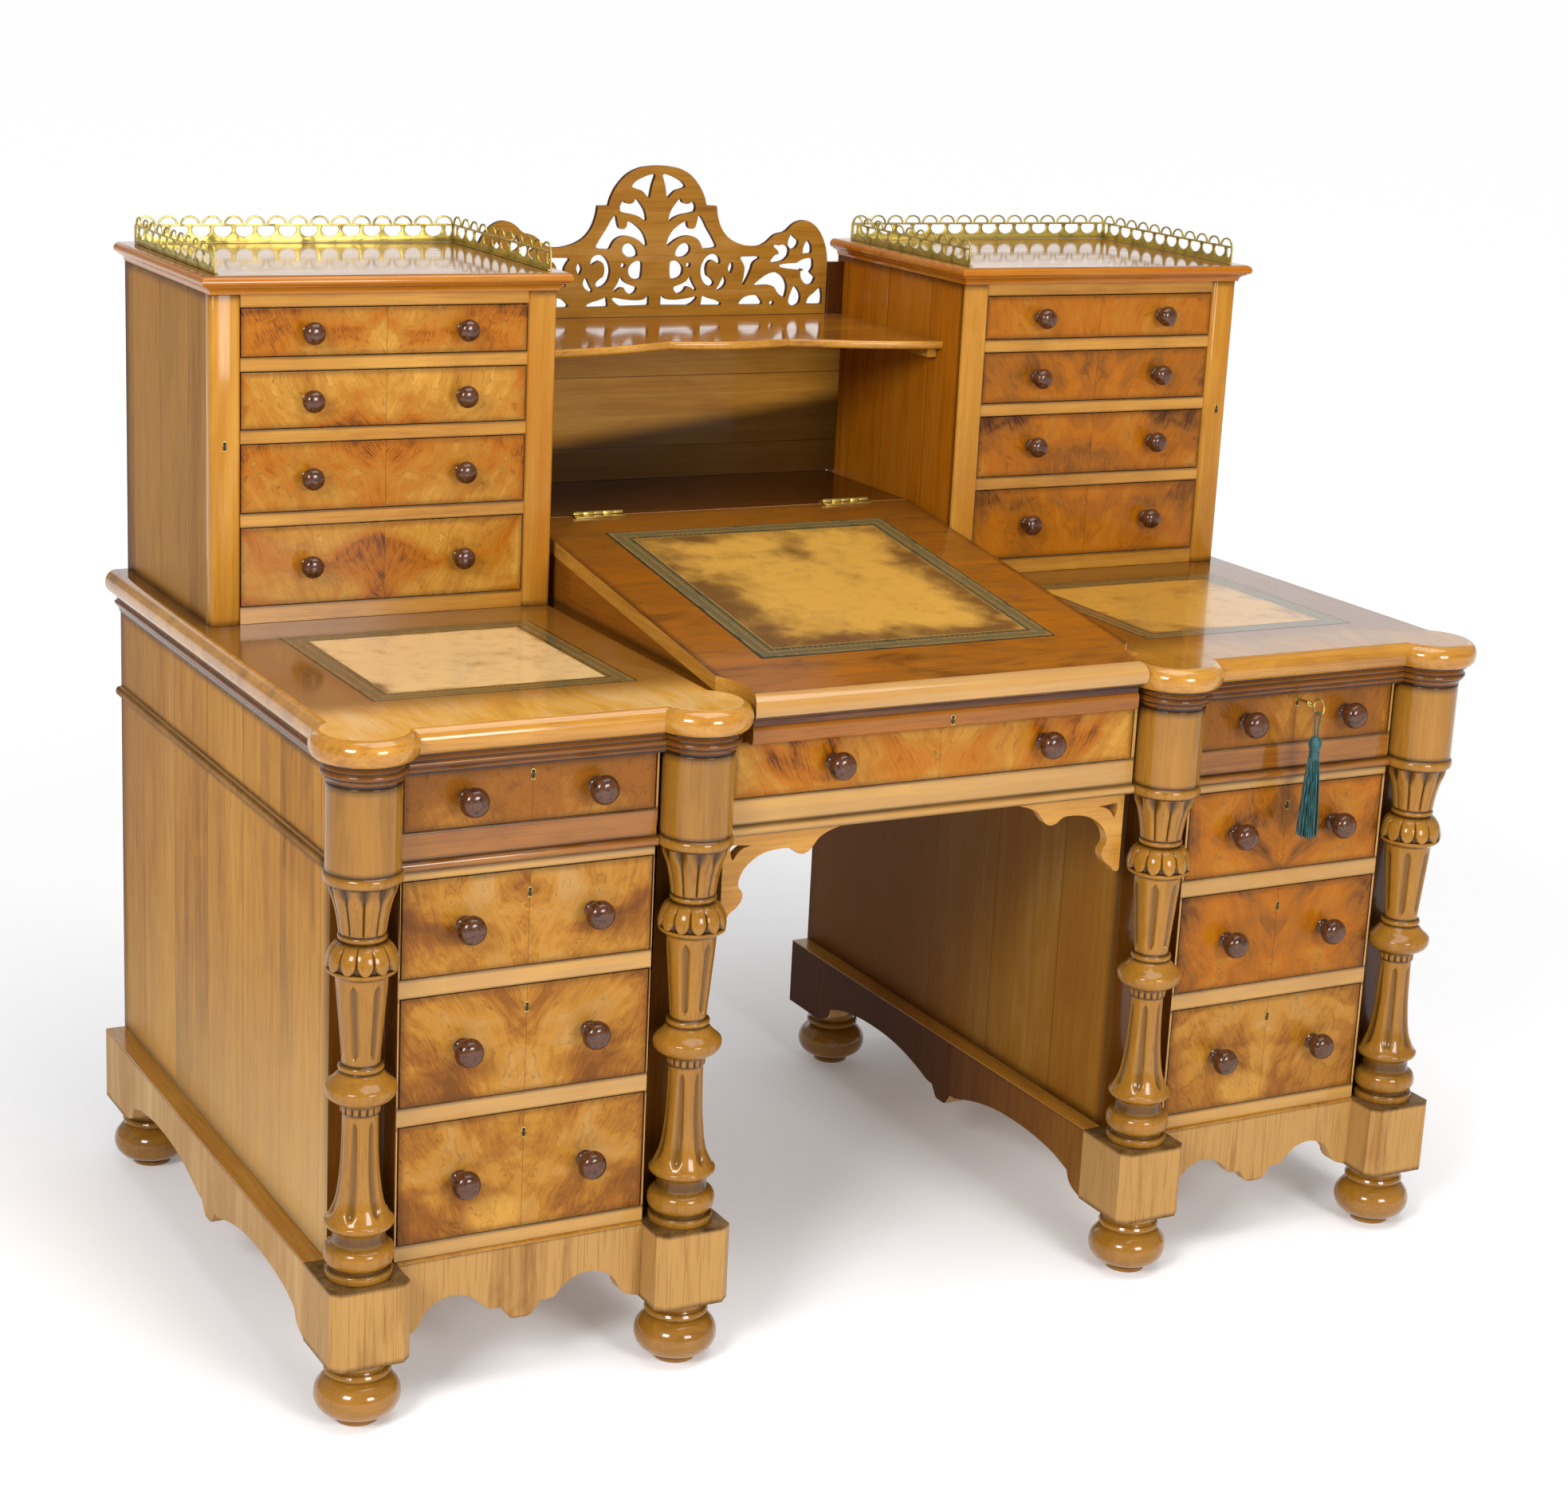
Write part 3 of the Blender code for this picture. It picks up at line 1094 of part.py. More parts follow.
def leaf_hole(x, z, length, width, tilt):
    """Pointed oval hole of the crest, with its long axis tilted from X in degrees."""
    steps = 4
    upper = [(length * (i / steps - 0.5), width / 2.0 * math.sin(math.pi * i / steps))
             for i in range(steps + 1)]
    lower = [(u, -v) for u, v in reversed(upper[1:-1])]
    turn = math.radians(tilt)
    return [(x + u * math.cos(turn) - v * math.sin(turn), z + u * math.sin(turn) + v * math.cos(turn))
            for u, v in upper + lower]


# Pierced leaves of the crest's right half: place across and up, length, width, tilt in degrees
CREST_LEAVES = (
    (0.024, 0.168, 0.034, 0.012, 40.0),
    (0.030, 0.142, 0.038, 0.011, 35.0),
    (0.026, 0.116, 0.034, 0.011, 45.0),
    (0.052, 0.106, 0.030, 0.010, 100.0),
    (0.024, 0.084, 0.024, 0.014, 20.0),
    (0.024, 0.056, 0.024, 0.014, -20.0),
    (0.056, 0.068, 0.034, 0.020, 90.0),
    (0.088, 0.072, 0.030, 0.014, 70.0),
    (0.118, 0.064, 0.030, 0.013, 40.0),
    (0.050, 0.026, 0.034, 0.010, -10.0),
    (0.096, 0.032, 0.040, 0.012, 12.0),
    (0.148, 0.052, 0.038, 0.014, 30.0),
    (0.180, 0.086, 0.032, 0.013, 60.0),
    (0.209, 0.100, 0.028, 0.013, 95.0),
    (0.232, 0.076, 0.028, 0.011, 80.0),
    (0.198, 0.054, 0.032, 0.013, 40.0),
    (0.233, 0.036, 0.026, 0.012, 85.0),
    (0.164, 0.022, 0.044, 0.010, 6.0),
)


def crest_outline():
    """Outline of the crest from its right foot over the arch to its left foot."""
    lobe_x = FRET_HALF_W - FRET_LOBE_R
    lobe_z = FRET_LOBE_H - FRET_LOBE_R
    lobe = arc((lobe_x, lobe_z), FRET_LOBE_R, 0.0, 90.0, 5)
    step_x = math.sqrt(FRET_ARCH_R ** 2 - (FRET_STEP_H - FRET_H + FRET_ARCH_R) ** 2)
    step_out = step_x + FRET_STEP
    step_low = FRET_STEP_H - FRET_STEP_LIP
    sweep_z = (FRET_DIP_H + step_low) / 2.0 - FRET_SWEEP_FALL
    valley = smooth_line([(lobe_x, FRET_LOBE_H), (lobe_x - FRET_TAIL_L, FRET_LOBE_H - FRET_TAIL_FALL),
                          (FRET_DIP_X, FRET_DIP_H), (step_out + FRET_SWEEP_OUT, sweep_z),
                          (step_out, step_low)], 3)
    start = math.degrees(math.acos(step_x / FRET_ARCH_R))
    arch = arc((0.0, FRET_H - FRET_ARCH_R), FRET_ARCH_R, start, 90.0, 6)
    right = [(FRET_HALF_W, 0.0), *lobe, *valley[1:], (step_out, FRET_STEP_H), *arch]
    return right + [(-x, z) for x, z in reversed(right[:-1])]


def crest_mesh():
    """Pierced walnut crest on the back of the shelf."""
    holes = []
    for x, z, length, width, tilt in CREST_LEAVES:
        leaf = leaf_hole(x, z, length, width, tilt)
        holes.append(leaf)
        holes.append([(-u, v) for u, v in leaf])
    raise_to_shelf = Matrix.Translation((0.0, 0.0, FRET_Z))
    upright = front_matrix(BACK_Y - BACK_PANEL_INSET - FRET_T / 2.0)
    return plate("crest", [crest_outline(), *holes], FRET_T, raise_to_shelf @ upright)


def bracket_mesh():
    """Right kneehole bracket under the frieze."""
    x1 = COLUMN_INNER_X - CORNER - BRACKET_GAP
    x0 = x1 - BRACKET_REACH
    top = ASTRAGAL_Z - FIT
    cusp = (x1 - BRACKET_REACH * 0.62, top - BRACKET_CUSP_FALL)
    inner = smooth_line([(x0, top), (x0 + BRACKET_REACH * 0.18, top - BRACKET_CUSP_FALL * 0.45), cusp], 4)
    outer = smooth_line([(cusp[0] + BRACKET_CUSP_W, cusp[1]),
                         (x1 - BRACKET_REACH * 0.40, top - BRACKET_CUSP_FALL * 0.80),
                         (x1 - BRACKET_REACH * 0.18, top - BRACKET_FALL * 0.52),
                         (x1 - BRACKET_TOE_W, top - BRACKET_FALL * 0.90)], 4)
    outline = [*inner, *outer, (x1 - BRACKET_TOE_W / 2.0, top - BRACKET_FALL),
               (x1, top - BRACKET_FALL * 0.94), (x1, top)]
    return plate("bracket", [outline], BRACKET_T, front_matrix(FRONT_Y + BRACKET_BACK + BRACKET_T / 2.0))


def add_superstructure():
    """Back panel, shelf and crest between the banks."""
    half = BANK_INNER_X - FIT
    panel = boxes("back_panel", ((-half, half), (BACK_PANEL_Y, BACK_PANEL_Y + BACK_PANEL_T),
                                 (LID_BACK_Z + FIT, SHELF_Z - FIT)))
    piece("back_panel", panel, DARK_WALNUT)
    piece("centre_shelf", shelf_mesh(), WALNUT)
    piece("fretwork_crest", crest_mesh(), DARK_WALNUT)


# Key and tassel

def add_key():
    """Key in the right frieze drawer, turning about its shank, with a tassel on a looped cord."""
    axis = (KEY_X, FRONT_Y, KEY_Z)
    along = Matrix.Rotation(math.pi / 2.0, 4, "X")
    length = KEY_DEPTH + KEY_OUT + KEY_WIRE_R
    middle = FRONT_Y + KEY_DEPTH - length / 2.0
    place = Matrix.Translation((KEY_X, middle, KEY_Z))
    shank = cylinder("shank", KEY_SHANK_R, length, place @ along, KNOB_SIDES)
    bpy.ops.mesh.primitive_torus_add(major_radius=KEY_BOW_R, minor_radius=KEY_WIRE_R,
                                     major_segments=18, minor_segments=6)
    ring = bpy.context.object
    bow = ring.data.copy()
    bpy.data.objects.remove(ring, do_unlink=True)
    bow.transform(Matrix.Translation((KEY_X, KEY_BOW_Y, KEY_Z)) @ Matrix.Rotation(math.pi / 2.0, 4, "Y"))
    piece("drawer_key", join("key", bow, shank), BRASS, axis)

    drawer = bpy.data.objects["right_frieze_drawer"]
    hole_length = FRONT_T + 3.0 * EDGE_OVERCUT
    hole = cylinder("keyhole", KEY_SHANK_R + PIN_PLAY, hole_length,
                    Matrix.Translation((KEY_X, FRONT_Y + FRONT_T / 2.0, KEY_Z)) @ along, KNOB_SIDES)
    boolean(drawer, tool("keyhole_cutter", hole), "DIFFERENCE")


def add_tassel():
    """Silk cord looped through the key's bow, and the tassel that hangs on it."""
    axis = (KEY_X, KEY_BOW_Y, KEY_Z)
    over = KEY_WIRE_R + FIT + CORD_R - KEY_BOW_R
    strand = CORD_SPREAD
    wide = KEY_WIRE_R + CORD_SPREAD
    end = FIT - CORD_DROP
    route = [(-strand, end), (-strand, end * 0.75), (-wide, -KEY_BOW_R - KEY_WIRE_R), (-wide, over - CORD_R),
             (0.0, over), (wide, over - CORD_R), (wide, -KEY_BOW_R - KEY_WIRE_R), (strand, end * 0.75),
             (strand, end)]
    curve = bpy.data.curves.new("tassel_cord", "CURVE")
    curve.dimensions = "3D"
    curve.bevel_depth = CORD_R
    curve.bevel_resolution = 1
    curve.use_fill_caps = True
    line = smooth_line(route, 2)
    spline = curve.splines.new("POLY")
    spline.points.add(len(line) - 1)
    for point, (x, z) in zip(spline.points, line):
        point.co = (KEY_X + x, KEY_BOW_Y, KEY_Z + z, 1.0)
    obj = add_object("tassel_cord_route", curve, CUTTERS)
    mesh = baked(obj)
    bpy.data.objects.remove(obj, do_unlink=True)
    bm = bmesh.new()
    bm.from_mesh(mesh)
    bmesh.ops.remove_doubles(bm, verts=bm.verts, dist=WELD)
    bmesh.ops.recalc_face_normals(bm, faces=bm.faces)
    bm.to_mesh(mesh)
    bm.free()
    piece("tassel_cord", mesh, TEAL_SILK, axis)

    head = TASSEL_HEAD_H
    profile = [
        (0.0, 0.0),
        (TASSEL_HEAD_R * 0.60, 0.0),
        (TASSEL_HEAD_R, -head * 0.35),
        (TASSEL_HEAD_R * 0.95, -head * 0.75),
        (TASSEL_NECK_R, -head),
        (TASSEL_NECK_R * 1.15, -head - TASSEL_BIND_H),
        (TASSEL_SKIRT_R * 0.72, -TASSEL_H * 0.42),
        (TASSEL_SKIRT_R, -TASSEL_H),
        (0.0, -TASSEL_H),
    ]
    tassel = turned("tassel", profile, AROUND)
    tassel.transform(Matrix.Translation((KEY_X, KEY_BOW_Y, KEY_Z - CORD_DROP)))
    piece("key_tassel", tassel, TEAL_SILK, axis)


def main():
    """Build every piece of the desk."""
    add_feet()
    pair("plinth", plinth_mesh(), WALNUT)
    add_columns()
    pair("pedestal_carcass", pedestal_mesh(), WALNUT)
    pair("flat_top", flat_top_mesh(), WALNUT)
    pair("top_leather", boxes("leather", leather_spans(0.0, (TOP_Z - LEATHER_T, TOP_Z))), LEATHER)
    piece("centre_carcass", centre_carcass_mesh(), WALNUT)
    pair("kneehole_bracket", bracket_mesh(), WALNUT)
    add_lid()
    add_hinges()
    pair("bank_carcass", bank_mesh(), WALNUT)
    pair("locking_stile", locking_stile_mesh(), WALNUT, (BANK_OUTER_X, STILE_BACK_Y, BANK_Z))
    pair("bank_top", bank_top_mesh(), WALNUT)
    pair("gallery", gallery_mesh(), BRASS)
    add_superstructure()
    add_pedestal_drawers()
    add_centre_drawer()
    add_bank_drawers()
    add_key()
    add_tassel()


main()
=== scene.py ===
"""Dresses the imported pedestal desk: walnut and burr veneer, carved columns, leather, brass, a silk tassel.

Run as a script. Each group of pieces has its own operator, listed in the sidebar's Desk tab.
"""

import functools
import math

import bmesh
import bpy
from mathutils import Matrix, Vector


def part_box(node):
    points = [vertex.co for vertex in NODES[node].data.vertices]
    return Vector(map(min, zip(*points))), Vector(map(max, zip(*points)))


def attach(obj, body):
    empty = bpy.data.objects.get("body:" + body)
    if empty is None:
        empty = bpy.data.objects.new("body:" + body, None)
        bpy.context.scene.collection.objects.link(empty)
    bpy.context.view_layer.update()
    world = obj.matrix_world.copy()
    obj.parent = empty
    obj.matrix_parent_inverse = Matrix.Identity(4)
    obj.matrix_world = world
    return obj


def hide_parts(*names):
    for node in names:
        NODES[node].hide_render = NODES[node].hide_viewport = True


bl_info = {
    "name": "Pedestal Desk",
    "version": (1, 0, 0),
    "blender": (4, 5, 0),
    "location": "View3D > Sidebar > Desk",
    "description": "Models the finished pieces of a walnut pedestal desk on its packed frame",
    "category": "Object",
}

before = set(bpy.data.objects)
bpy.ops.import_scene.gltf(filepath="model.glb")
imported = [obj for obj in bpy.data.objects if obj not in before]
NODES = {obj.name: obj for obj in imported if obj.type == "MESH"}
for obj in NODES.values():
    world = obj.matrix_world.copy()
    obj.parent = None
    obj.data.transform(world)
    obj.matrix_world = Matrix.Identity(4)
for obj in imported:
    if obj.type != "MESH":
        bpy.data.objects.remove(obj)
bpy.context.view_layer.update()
SIDES = (("left", -1.0), ("right", 1.0))
FRAME_BODY = "carcass"
ACROSS, DEEP, UP = range(3)    # axes of a grain, a board or a line of polish

# Places on the desk, in metres
FRONT_Y = -0.365            # plane of the lower drawer fronts
BACK_Y = 0.4309
COLUMN_Y = -0.373
COLUMN_INNER_X = 0.31195
COLUMN_OUTER_X = 0.69555
PEDESTAL_X = 0.50375
KNEEHOLE_X = 0.30           # faces nearer the middle than this look into the kneehole
CARCASS_Z = 0.1706
ASTRAGAL_Z = 0.6128
ASTRAGAL_TOP_Z = ASTRAGAL_Z + 0.012
CARCASS_TOP_Z = 0.7212
TOP_Z = 0.7745
BANK_FRONT_Y = 0.101
BANK_X = 0.4947
BANK_TOP_Z = 1.1556
CREST_Z = 1.0776
KEY_Y = -0.407              # middle of the key's bow
KEY_Z = 0.7100

# Camera
CAMERA_PLACE = (-1.7491, -3.1635, 1.5827)
CAMERA_YAW = 28.92          # degrees right of the desk's depth
CAMERA_PITCH = 15.27        # degrees down
CAMERA_ROLL = 2.864
IMAGE_WIDTH = 1967
FOCAL_PIXELS = 3769.8
SENSOR_MM = 36.0


def display(red, green, blue):
    """Linear colour of a display colour from 0 to 255."""
    return tuple(c / 12.92 if c <= 0.04045 else ((c + 0.055) / 1.055) ** 2.4
                 for c in (red / 255.0, green / 255.0, blue / 255.0))


# Settings

def colour_setting(label, about, value):
    """Colour property with a display colour as its default."""
    return bpy.props.FloatVectorProperty(name=label, description=about, subtype="COLOR", size=3,
                                         min=0.0, max=1.0, default=display(*value))


def length_setting(label, about, value):
    """Length property in metres."""
    return bpy.props.FloatProperty(name=label, description=about, default=value, min=0.0, precision=4,
                                   subtype="DISTANCE", unit="LENGTH")


def count_setting(label, about, value):
    """Whole number property."""
    return bpy.props.IntProperty(name=label, description=about, default=value, min=3)


class DeskColours(bpy.types.PropertyGroup):
    """Colours of the desk's finishes"""

    honey: colour_setting("Honey", "Polished walnut between its figure", (162, 110, 36))
    pale: colour_setting("Pale", "Lightest streaks of the walnut", (194, 144, 62))
    straw: colour_setting("Straw", "Faded walnut of the plinths and rails", (166, 126, 72))
    russet: colour_setting("Russet", "Turned and carved walnut", (138, 94, 28))
    umber: colour_setting("Umber", "Dark veins of the walnut", (98, 56, 14))
    # Dark joints between boards, and painted shade in the carving, the moulding's hollows, along joints and
    # edges and on the back panel
    glaze: colour_setting("Glaze", "Dark polish left in the carving and joints", (36, 18, 6))
    flame: colour_setting("Flame", "Red brown of the burr veneer", (128, 76, 20))
    amber: colour_setting("Amber", "Orange walnut of the banks and lid", (156, 88, 8))
    cloud: colour_setting("Cloud", "Darkest clouds of the burr veneer", (66, 32, 8))
    shade: colour_setting("Shade", "Shaded walnut of the pedestals' sides", (110, 66, 26))
    lining: colour_setting("Lining", "Bare wood inside the drawers, and faded plinths", (168, 128, 78))
    knob: colour_setting("Knob", "Dark turned knobs", (82, 46, 24))
    tan: colour_setting("Tan", "Worn middle of the leathers, and the plinths' ledges", (182, 136, 56))
    # Pale walnut of the plinths' sides, the painted reflection that makes the left top and its leather
    # paler, and painted light on the pedestals' outer sides towards the floor
    buff: colour_setting("Buff", "Pale leather of the left top, and bleached walnut", (204, 170, 118))
    hide: colour_setting("Hide", "Brown wear towards the leather's border", (98, 64, 24))
    border: colour_setting("Border", "Grey green of the tooled border", (84, 78, 50))
    ink: colour_setting("Ink", "Black green lines of the tooled border", (24, 22, 12))
    gilt: colour_setting("Gilt", "Gold lines of the tooling", (176, 142, 66))
    brass: colour_setting("Brass", "Polished brass", (200, 172, 92))
    old_brass: colour_setting("Old brass", "Dull brass of the galleries", (186, 166, 84))
    tarnish: colour_setting("Tarnish", "Tarnish on the brass", (82, 74, 30))
    silk: colour_setting("Silk", "Teal silk of the tassel", (14, 70, 70))
    floor: colour_setting("Floor", "Pale studio floor", (242, 242, 244))


class DeskSizes(bpy.types.PropertyGroup):
    """Sizes of the finished pieces"""

    ease: length_setting("Eased edge", "Rounding of sawn edges", 0.0008)
    bead: length_setting("Bead", "Rounding of the astragal", 0.0050)
    column_sides: count_setting("Column sides", "Steps round a column", 144)
    knob_sides: count_setting("Knob sides", "Steps round a knob", 32)
    border: length_setting("Leather border", "Width of the tooled border", 0.0270)
    bay: length_setting("Gallery bay", "Distance between the gallery's posts", 0.0276)
    fret_ease: length_setting("Fret edge", "Rounding of the sawn crest", 0.0006)
    threads: count_setting("Threads", "Silk threads in the tassel's skirt", 96)
    cord: length_setting("Cord", "Diameter of the tassel's cord", 0.0020)


def tint(name):
    """One of the desk's colours, opaque."""
    return (*getattr(bpy.context.scene.desk_colours, name), 1.0)


def size(name):
    """One of the desk's sizes."""
    return getattr(bpy.context.scene.desk_sizes, name)


# Materials

class Value:
    """A number that a material works out over the surface. Arithmetic on it adds Math nodes."""

    def __init__(self, finish, socket):
        self.finish = finish
        self.socket = socket

    def __add__(self, other):
        return self.finish.math("ADD", self, other)

    def __sub__(self, other):
        return self.finish.math("SUBTRACT", self, other)

    def __rsub__(self, other):
        return self.finish.math("SUBTRACT", other, self)

    def __mul__(self, other):
        return self.finish.math("MULTIPLY", self, other)

    def __truediv__(self, other):
        return self.finish.math("DIVIDE", self, other)

    def __abs__(self):
        return self.finish.math("ABSOLUTE", self)


class Finish:
    """A material of the desk, built on Object coordinates."""

    def __init__(self, name):
        self.material = bpy.data.materials.new(name)
        self.material.use_nodes = True
        self.tree = self.material.node_tree
        self.shader = next(n for n in self.tree.nodes if n.type == "BSDF_PRINCIPLED")
        self.place = self.add("ShaderNodeTexCoord").outputs["Object"]
        parts = self.add("ShaderNodeSeparateXYZ", None, {"Vector": self.place})
        self.x, self.y, self.z = (Value(self, socket) for socket in parts.outputs)

    def add(self, kind, settings=None, inputs=None):
        """Add a node of a kind with its settings, and fill or link its sockets."""
        node = self.tree.nodes.new(kind)
        for key, value in (settings or {}).items():
            if key == "stops":
                ramp = node.color_ramp.elements
                while len(ramp) < len(value):
                    ramp.new(0.5)
                for stop, (place, colour) in zip(ramp, value):
                    stop.position = place
                    stop.color = colour
            else:
                setattr(node, key, value)
        for key, value in (inputs or {}).items():
            self.feed(node.inputs[key], value)
        return node

    def feed(self, socket, value):
        """Set a socket, or link it."""
        if isinstance(value, Value):
            value = value.socket
        if isinstance(value, bpy.types.NodeSocket):
            self.tree.links.new(value, socket)
        else:
            socket.default_value = value

    def math(self, operation, *terms):
        """Math node on values and numbers."""
        node = self.add("ShaderNodeMath", {"operation": operation}, dict(enumerate(terms)))
        return Value(self, node.outputs[0])

    def vector(self, x, y, z):
        """Vector of three values or numbers."""
        return self.add("ShaderNodeCombineXYZ", None, {"X": x, "Y": y, "Z": z}).outputs[0]

    def scaled(self, source, scale, shift):
        """Vector times a scale, plus a shift."""
        node = self.add("ShaderNodeVectorMath", {"operation": "MULTIPLY_ADD"},
                        {0: source, 1: scale, 2: shift})
        return node.outputs[0]

    def noise(self, source, detail=2.0, roughness=0.5, distortion=0.0):
        """Noise over a vector, as a value near a half."""
        node = self.add("ShaderNodeTexNoise", None, {"Vector": source, "Scale": 1.0, "Detail": detail,
                                                     "Roughness": roughness, "Distortion": distortion})
        return Value(self, node.outputs[0])

    def smooth(self, value, low, high):
        """Soft step of a value from 0 at low to 1 at high."""
        node = self.add("ShaderNodeMapRange", {"interpolation_type": "SMOOTHSTEP"},
                        {"Value": value, "From Min": low, "From Max": high})
        return Value(self, node.outputs[0])

    def ramp(self, value, stops):
        """Colour ramp over a value."""
        return self.add("ShaderNodeValToRGB", {"stops": stops}, {"Fac": value}).outputs[0]

    def mix(self, share, first, second):
        """Mix of two colours."""
        node = self.add("ShaderNodeMix", {"data_type": "RGBA"}, {0: share, 6: first, 7: second})
        return node.outputs[2]

    def mark(self, name):
        """Value that a mesh carries in an attribute."""
        return Value(self, self.add("ShaderNodeAttribute", {"attribute_name": name}).outputs["Fac"])

    def relief(self, height, distance, strength=1.0):
        """Bump of the surface from a height value."""
        bump = self.add("ShaderNodeBump", None,
                        {"Height": height, "Distance": distance, "Strength": strength})
        self.feed(self.shader.inputs["Normal"], bump.outputs[0])

    def shade(self, **sockets):
        """Fill the shader's sockets; an underscore in a name stands for a space."""
        for name, value in sockets.items():
            self.feed(self.shader.inputs[name.replace("_", " ")], value)
        return self.material


def once(make):
    """Let a finish be made when its name is first used, and be the same one after that."""
    @functools.wraps(make)
    def finish(name, *settings, **named):
        return bpy.data.materials.get(name) or make(name, *settings, **named)

    return finish


def along(grain, across, lengthwise):
    """Scale of a grain pattern, finer across one axis than along it."""
    return tuple(lengthwise if axis == grain else across for axis in (ACROSS, DEEP, UP))


@once
def walnut(name, grain, seed, tones=("umber", "honey", "pale"), polish=0.22, gloss=0.4,
           boards=None, carved=False, fades=(), lines=(), curl=0.20):
    """Polished walnut with its grain along an axis.

    boards gives an axis and the width of the boards joined along it. Each of fades is a direction, two
    places along it and the tone reached at the second. Each of lines is an axis, a place on it and the
    reach there of painted shade and aged dark polish. curl is the share of cloudy figure in the colour.
    """
    f = Finish(name)
    dark, middle, light = (tint(t) for t in tones)
    shift = (1.7 * seed, 2.3 * seed, 3.1 * seed)
    source = f.place
    if boards:
        axis, width = boards
        cell = (f.x, f.y, f.z)[axis] / width + 0.37
        board = Value(f, f.add("ShaderNodeTexWhiteNoise", {"noise_dimensions": "1D"},
                               {"W": f.math("FLOOR", cell)}).outputs["Value"])
        slide = f.vector(board * 1.3, board * 2.1, board * 3.7)
        source = f.add("ShaderNodeVectorMath", {"operation": "ADD"}, {0: f.place, 1: slide}).outputs[0]
    figure = f.noise(f.scaled(source, along(grain, 6.5, 1.2), shift), 2.0, 0.5, 0.9)
    veins = f.noise(f.scaled(source, along(grain, 52.0, 2.2), shift), 4.0, 0.6, 0.6)
    fine = f.noise(f.scaled(source, along(grain, 210.0, 5.0), shift), 3.0, 0.6, 0.4)
    pores = f.noise(f.scaled(source, along(grain, 620.0, 15.0), shift), 1.0)
    clouds = f.noise(f.scaled(source, along(grain, 19.0, 8.0), shift), 5.0, 0.6, 1.2)
    tone = (figure * 0.46 + veins * 0.34 + fine * 0.20) * (1.0 - curl) + clouds * curl
    if boards:
        tone = tone + (board - 0.5) * 0.09
    colour = f.ramp(tone, ((0.30, dark), (0.47, middle), (0.69, light)))
    streak = f.smooth(pores, 0.53, 0.72)
    colour = f.mix(streak * 0.34, colour, dark)
    if boards:
        seam = abs(f.math("FRACT", cell) - 0.5)
        colour = f.mix(f.smooth(seam, 0.5 - 0.0011 / width, 0.5) * 0.8, colour, tint("glaze"))
    # Painted shade in the carving, from the mesh's recess attribute
    if carved:
        colour = f.mix(f.mark("recess") * 0.92, colour, tint("glaze"))
    # Painted shade, with aged dark polish, along joints and edges
    for axis, spot, reach in lines:
        darkening = 1.0 - f.smooth(abs((f.x, f.y, f.z)[axis] - spot), 0.0, reach)
        colour = f.mix(darkening * (veins * 0.9 + 0.25), colour, tint("glaze"))
    for way, start, end, reached in fades:
        place = f.x * way[0] + f.y * way[1] + f.z * way[2] + (figure - 0.5) * 0.25 * abs(end - start)
        lit = f.smooth(place, min(start, end), max(start, end))
        colour = f.mix((lit if end > start else 1.0 - lit) * 0.88, colour, tint(reached))
    f.relief(streak, -0.00006, 0.5)
    return f.shade(Base_Color=colour, Roughness=veins * 0.16 + (polish - 0.08) + streak * 0.10,
                   Specular_IOR_Level=0.02 + 0.30 * gloss, Coat_Weight=gloss, Coat_Roughness=0.08)


@once
def burr(name, middle, half, heights, seed, tones=("cloud", "flame", "honey", "pale"), patch=None):
    """Burr veneer between two heights, book-matched about a seam at x = middle, with painted shade at its
    edges.
    """
    f = Finish(name)
    side = abs(f.x - middle)
    hand = f.math("SIGN", f.x - middle)
    flat = f.vector(side + hand * 0.004, f.z + hand * 0.003, 0.31 * seed)
    swirl = f.add("ShaderNodeTexNoise", None, {"Vector": flat, "Scale": 9.0, "Detail": 2.0})
    push = f.add("ShaderNodeVectorMath", {"operation": "MULTIPLY_ADD"},
                 {0: swirl.outputs["Color"], 1: (0.06, 0.06, 0.0), 2: flat}).outputs[0]
    turned = f.add("ShaderNodeVectorRotate", {"rotation_type": "Z_AXIS"},
                   {"Vector": push, "Angle": math.radians(-64.0)}).outputs[0]
    flame = f.noise(f.scaled(turned, (15.0, 100.0, 1.0), (seed, 0.0, 0.0)), 5.0, 0.6, 0.5)
    clouds = f.noise(f.scaled(push, (12.0, 15.0, 1.0), (0.0, seed, 5.0)), 4.0, 0.55, 0.5)
    fibre = f.noise(f.scaled(turned, (55.0, 800.0, 1.0), (0.0, seed, 0.0)), 2.0, 0.6)
    # Painted shade: a little darker towards the front's ends
    ends = f.smooth(side, half * 0.55, half * 1.05)
    tone = flame * 0.16 + clouds * 0.60 + fibre * 0.24 + hand * 0.006 - ends * 0.030
    colour = f.ramp(tone, tuple(zip((0.35, 0.44, 0.53, 0.65), (tint(t) for t in tones))))
    if patch:
        beside, above = f.x - patch[0], f.z - patch[1]
        away = f.math("SQRT", beside * beside + above * above * 3.0)
        light = 1.0 - f.smooth(away + (clouds - 0.5) * 0.05, 0.020, 0.046)
        colour = f.mix(light * 0.6, colour, tint("pale"))
    ring = abs(f.math("FRACT", clouds * 9.0 + flame * 1.2 + fibre * 0.5) - 0.5)
    contour = (1.0 - f.smooth(ring, 0.0, 0.10)) * f.smooth(flame, 0.42, 0.62)
    colour = f.mix(contour * 0.5, colour, tint("cloud"))
    streak = f.smooth(fibre, 0.52, 0.74)
    colour = f.mix(streak * 0.30, colour, tint("cloud"))
    # Painted shade round the front's edges, where it meets the frame
    edge = f.math("MINIMUM", half - side, f.math("MINIMUM", f.z - heights[0], heights[1] - f.z))
    colour = f.mix((1.0 - f.smooth(edge, 0.0, 0.009)) * clouds * 0.8, colour, tint("glaze"))
    colour = f.mix((1.0 - f.smooth(side, 0.0002, 0.0006)) * 0.5, colour, tint("glaze"))
    f.relief(streak, -0.00004, 0.4)
    return f.shade(Base_Color=colour, Roughness=flame * 0.14 + 0.21,
                   Specular_IOR_Level=0.08, Coat_Weight=0.14, Coat_Roughness=0.08)


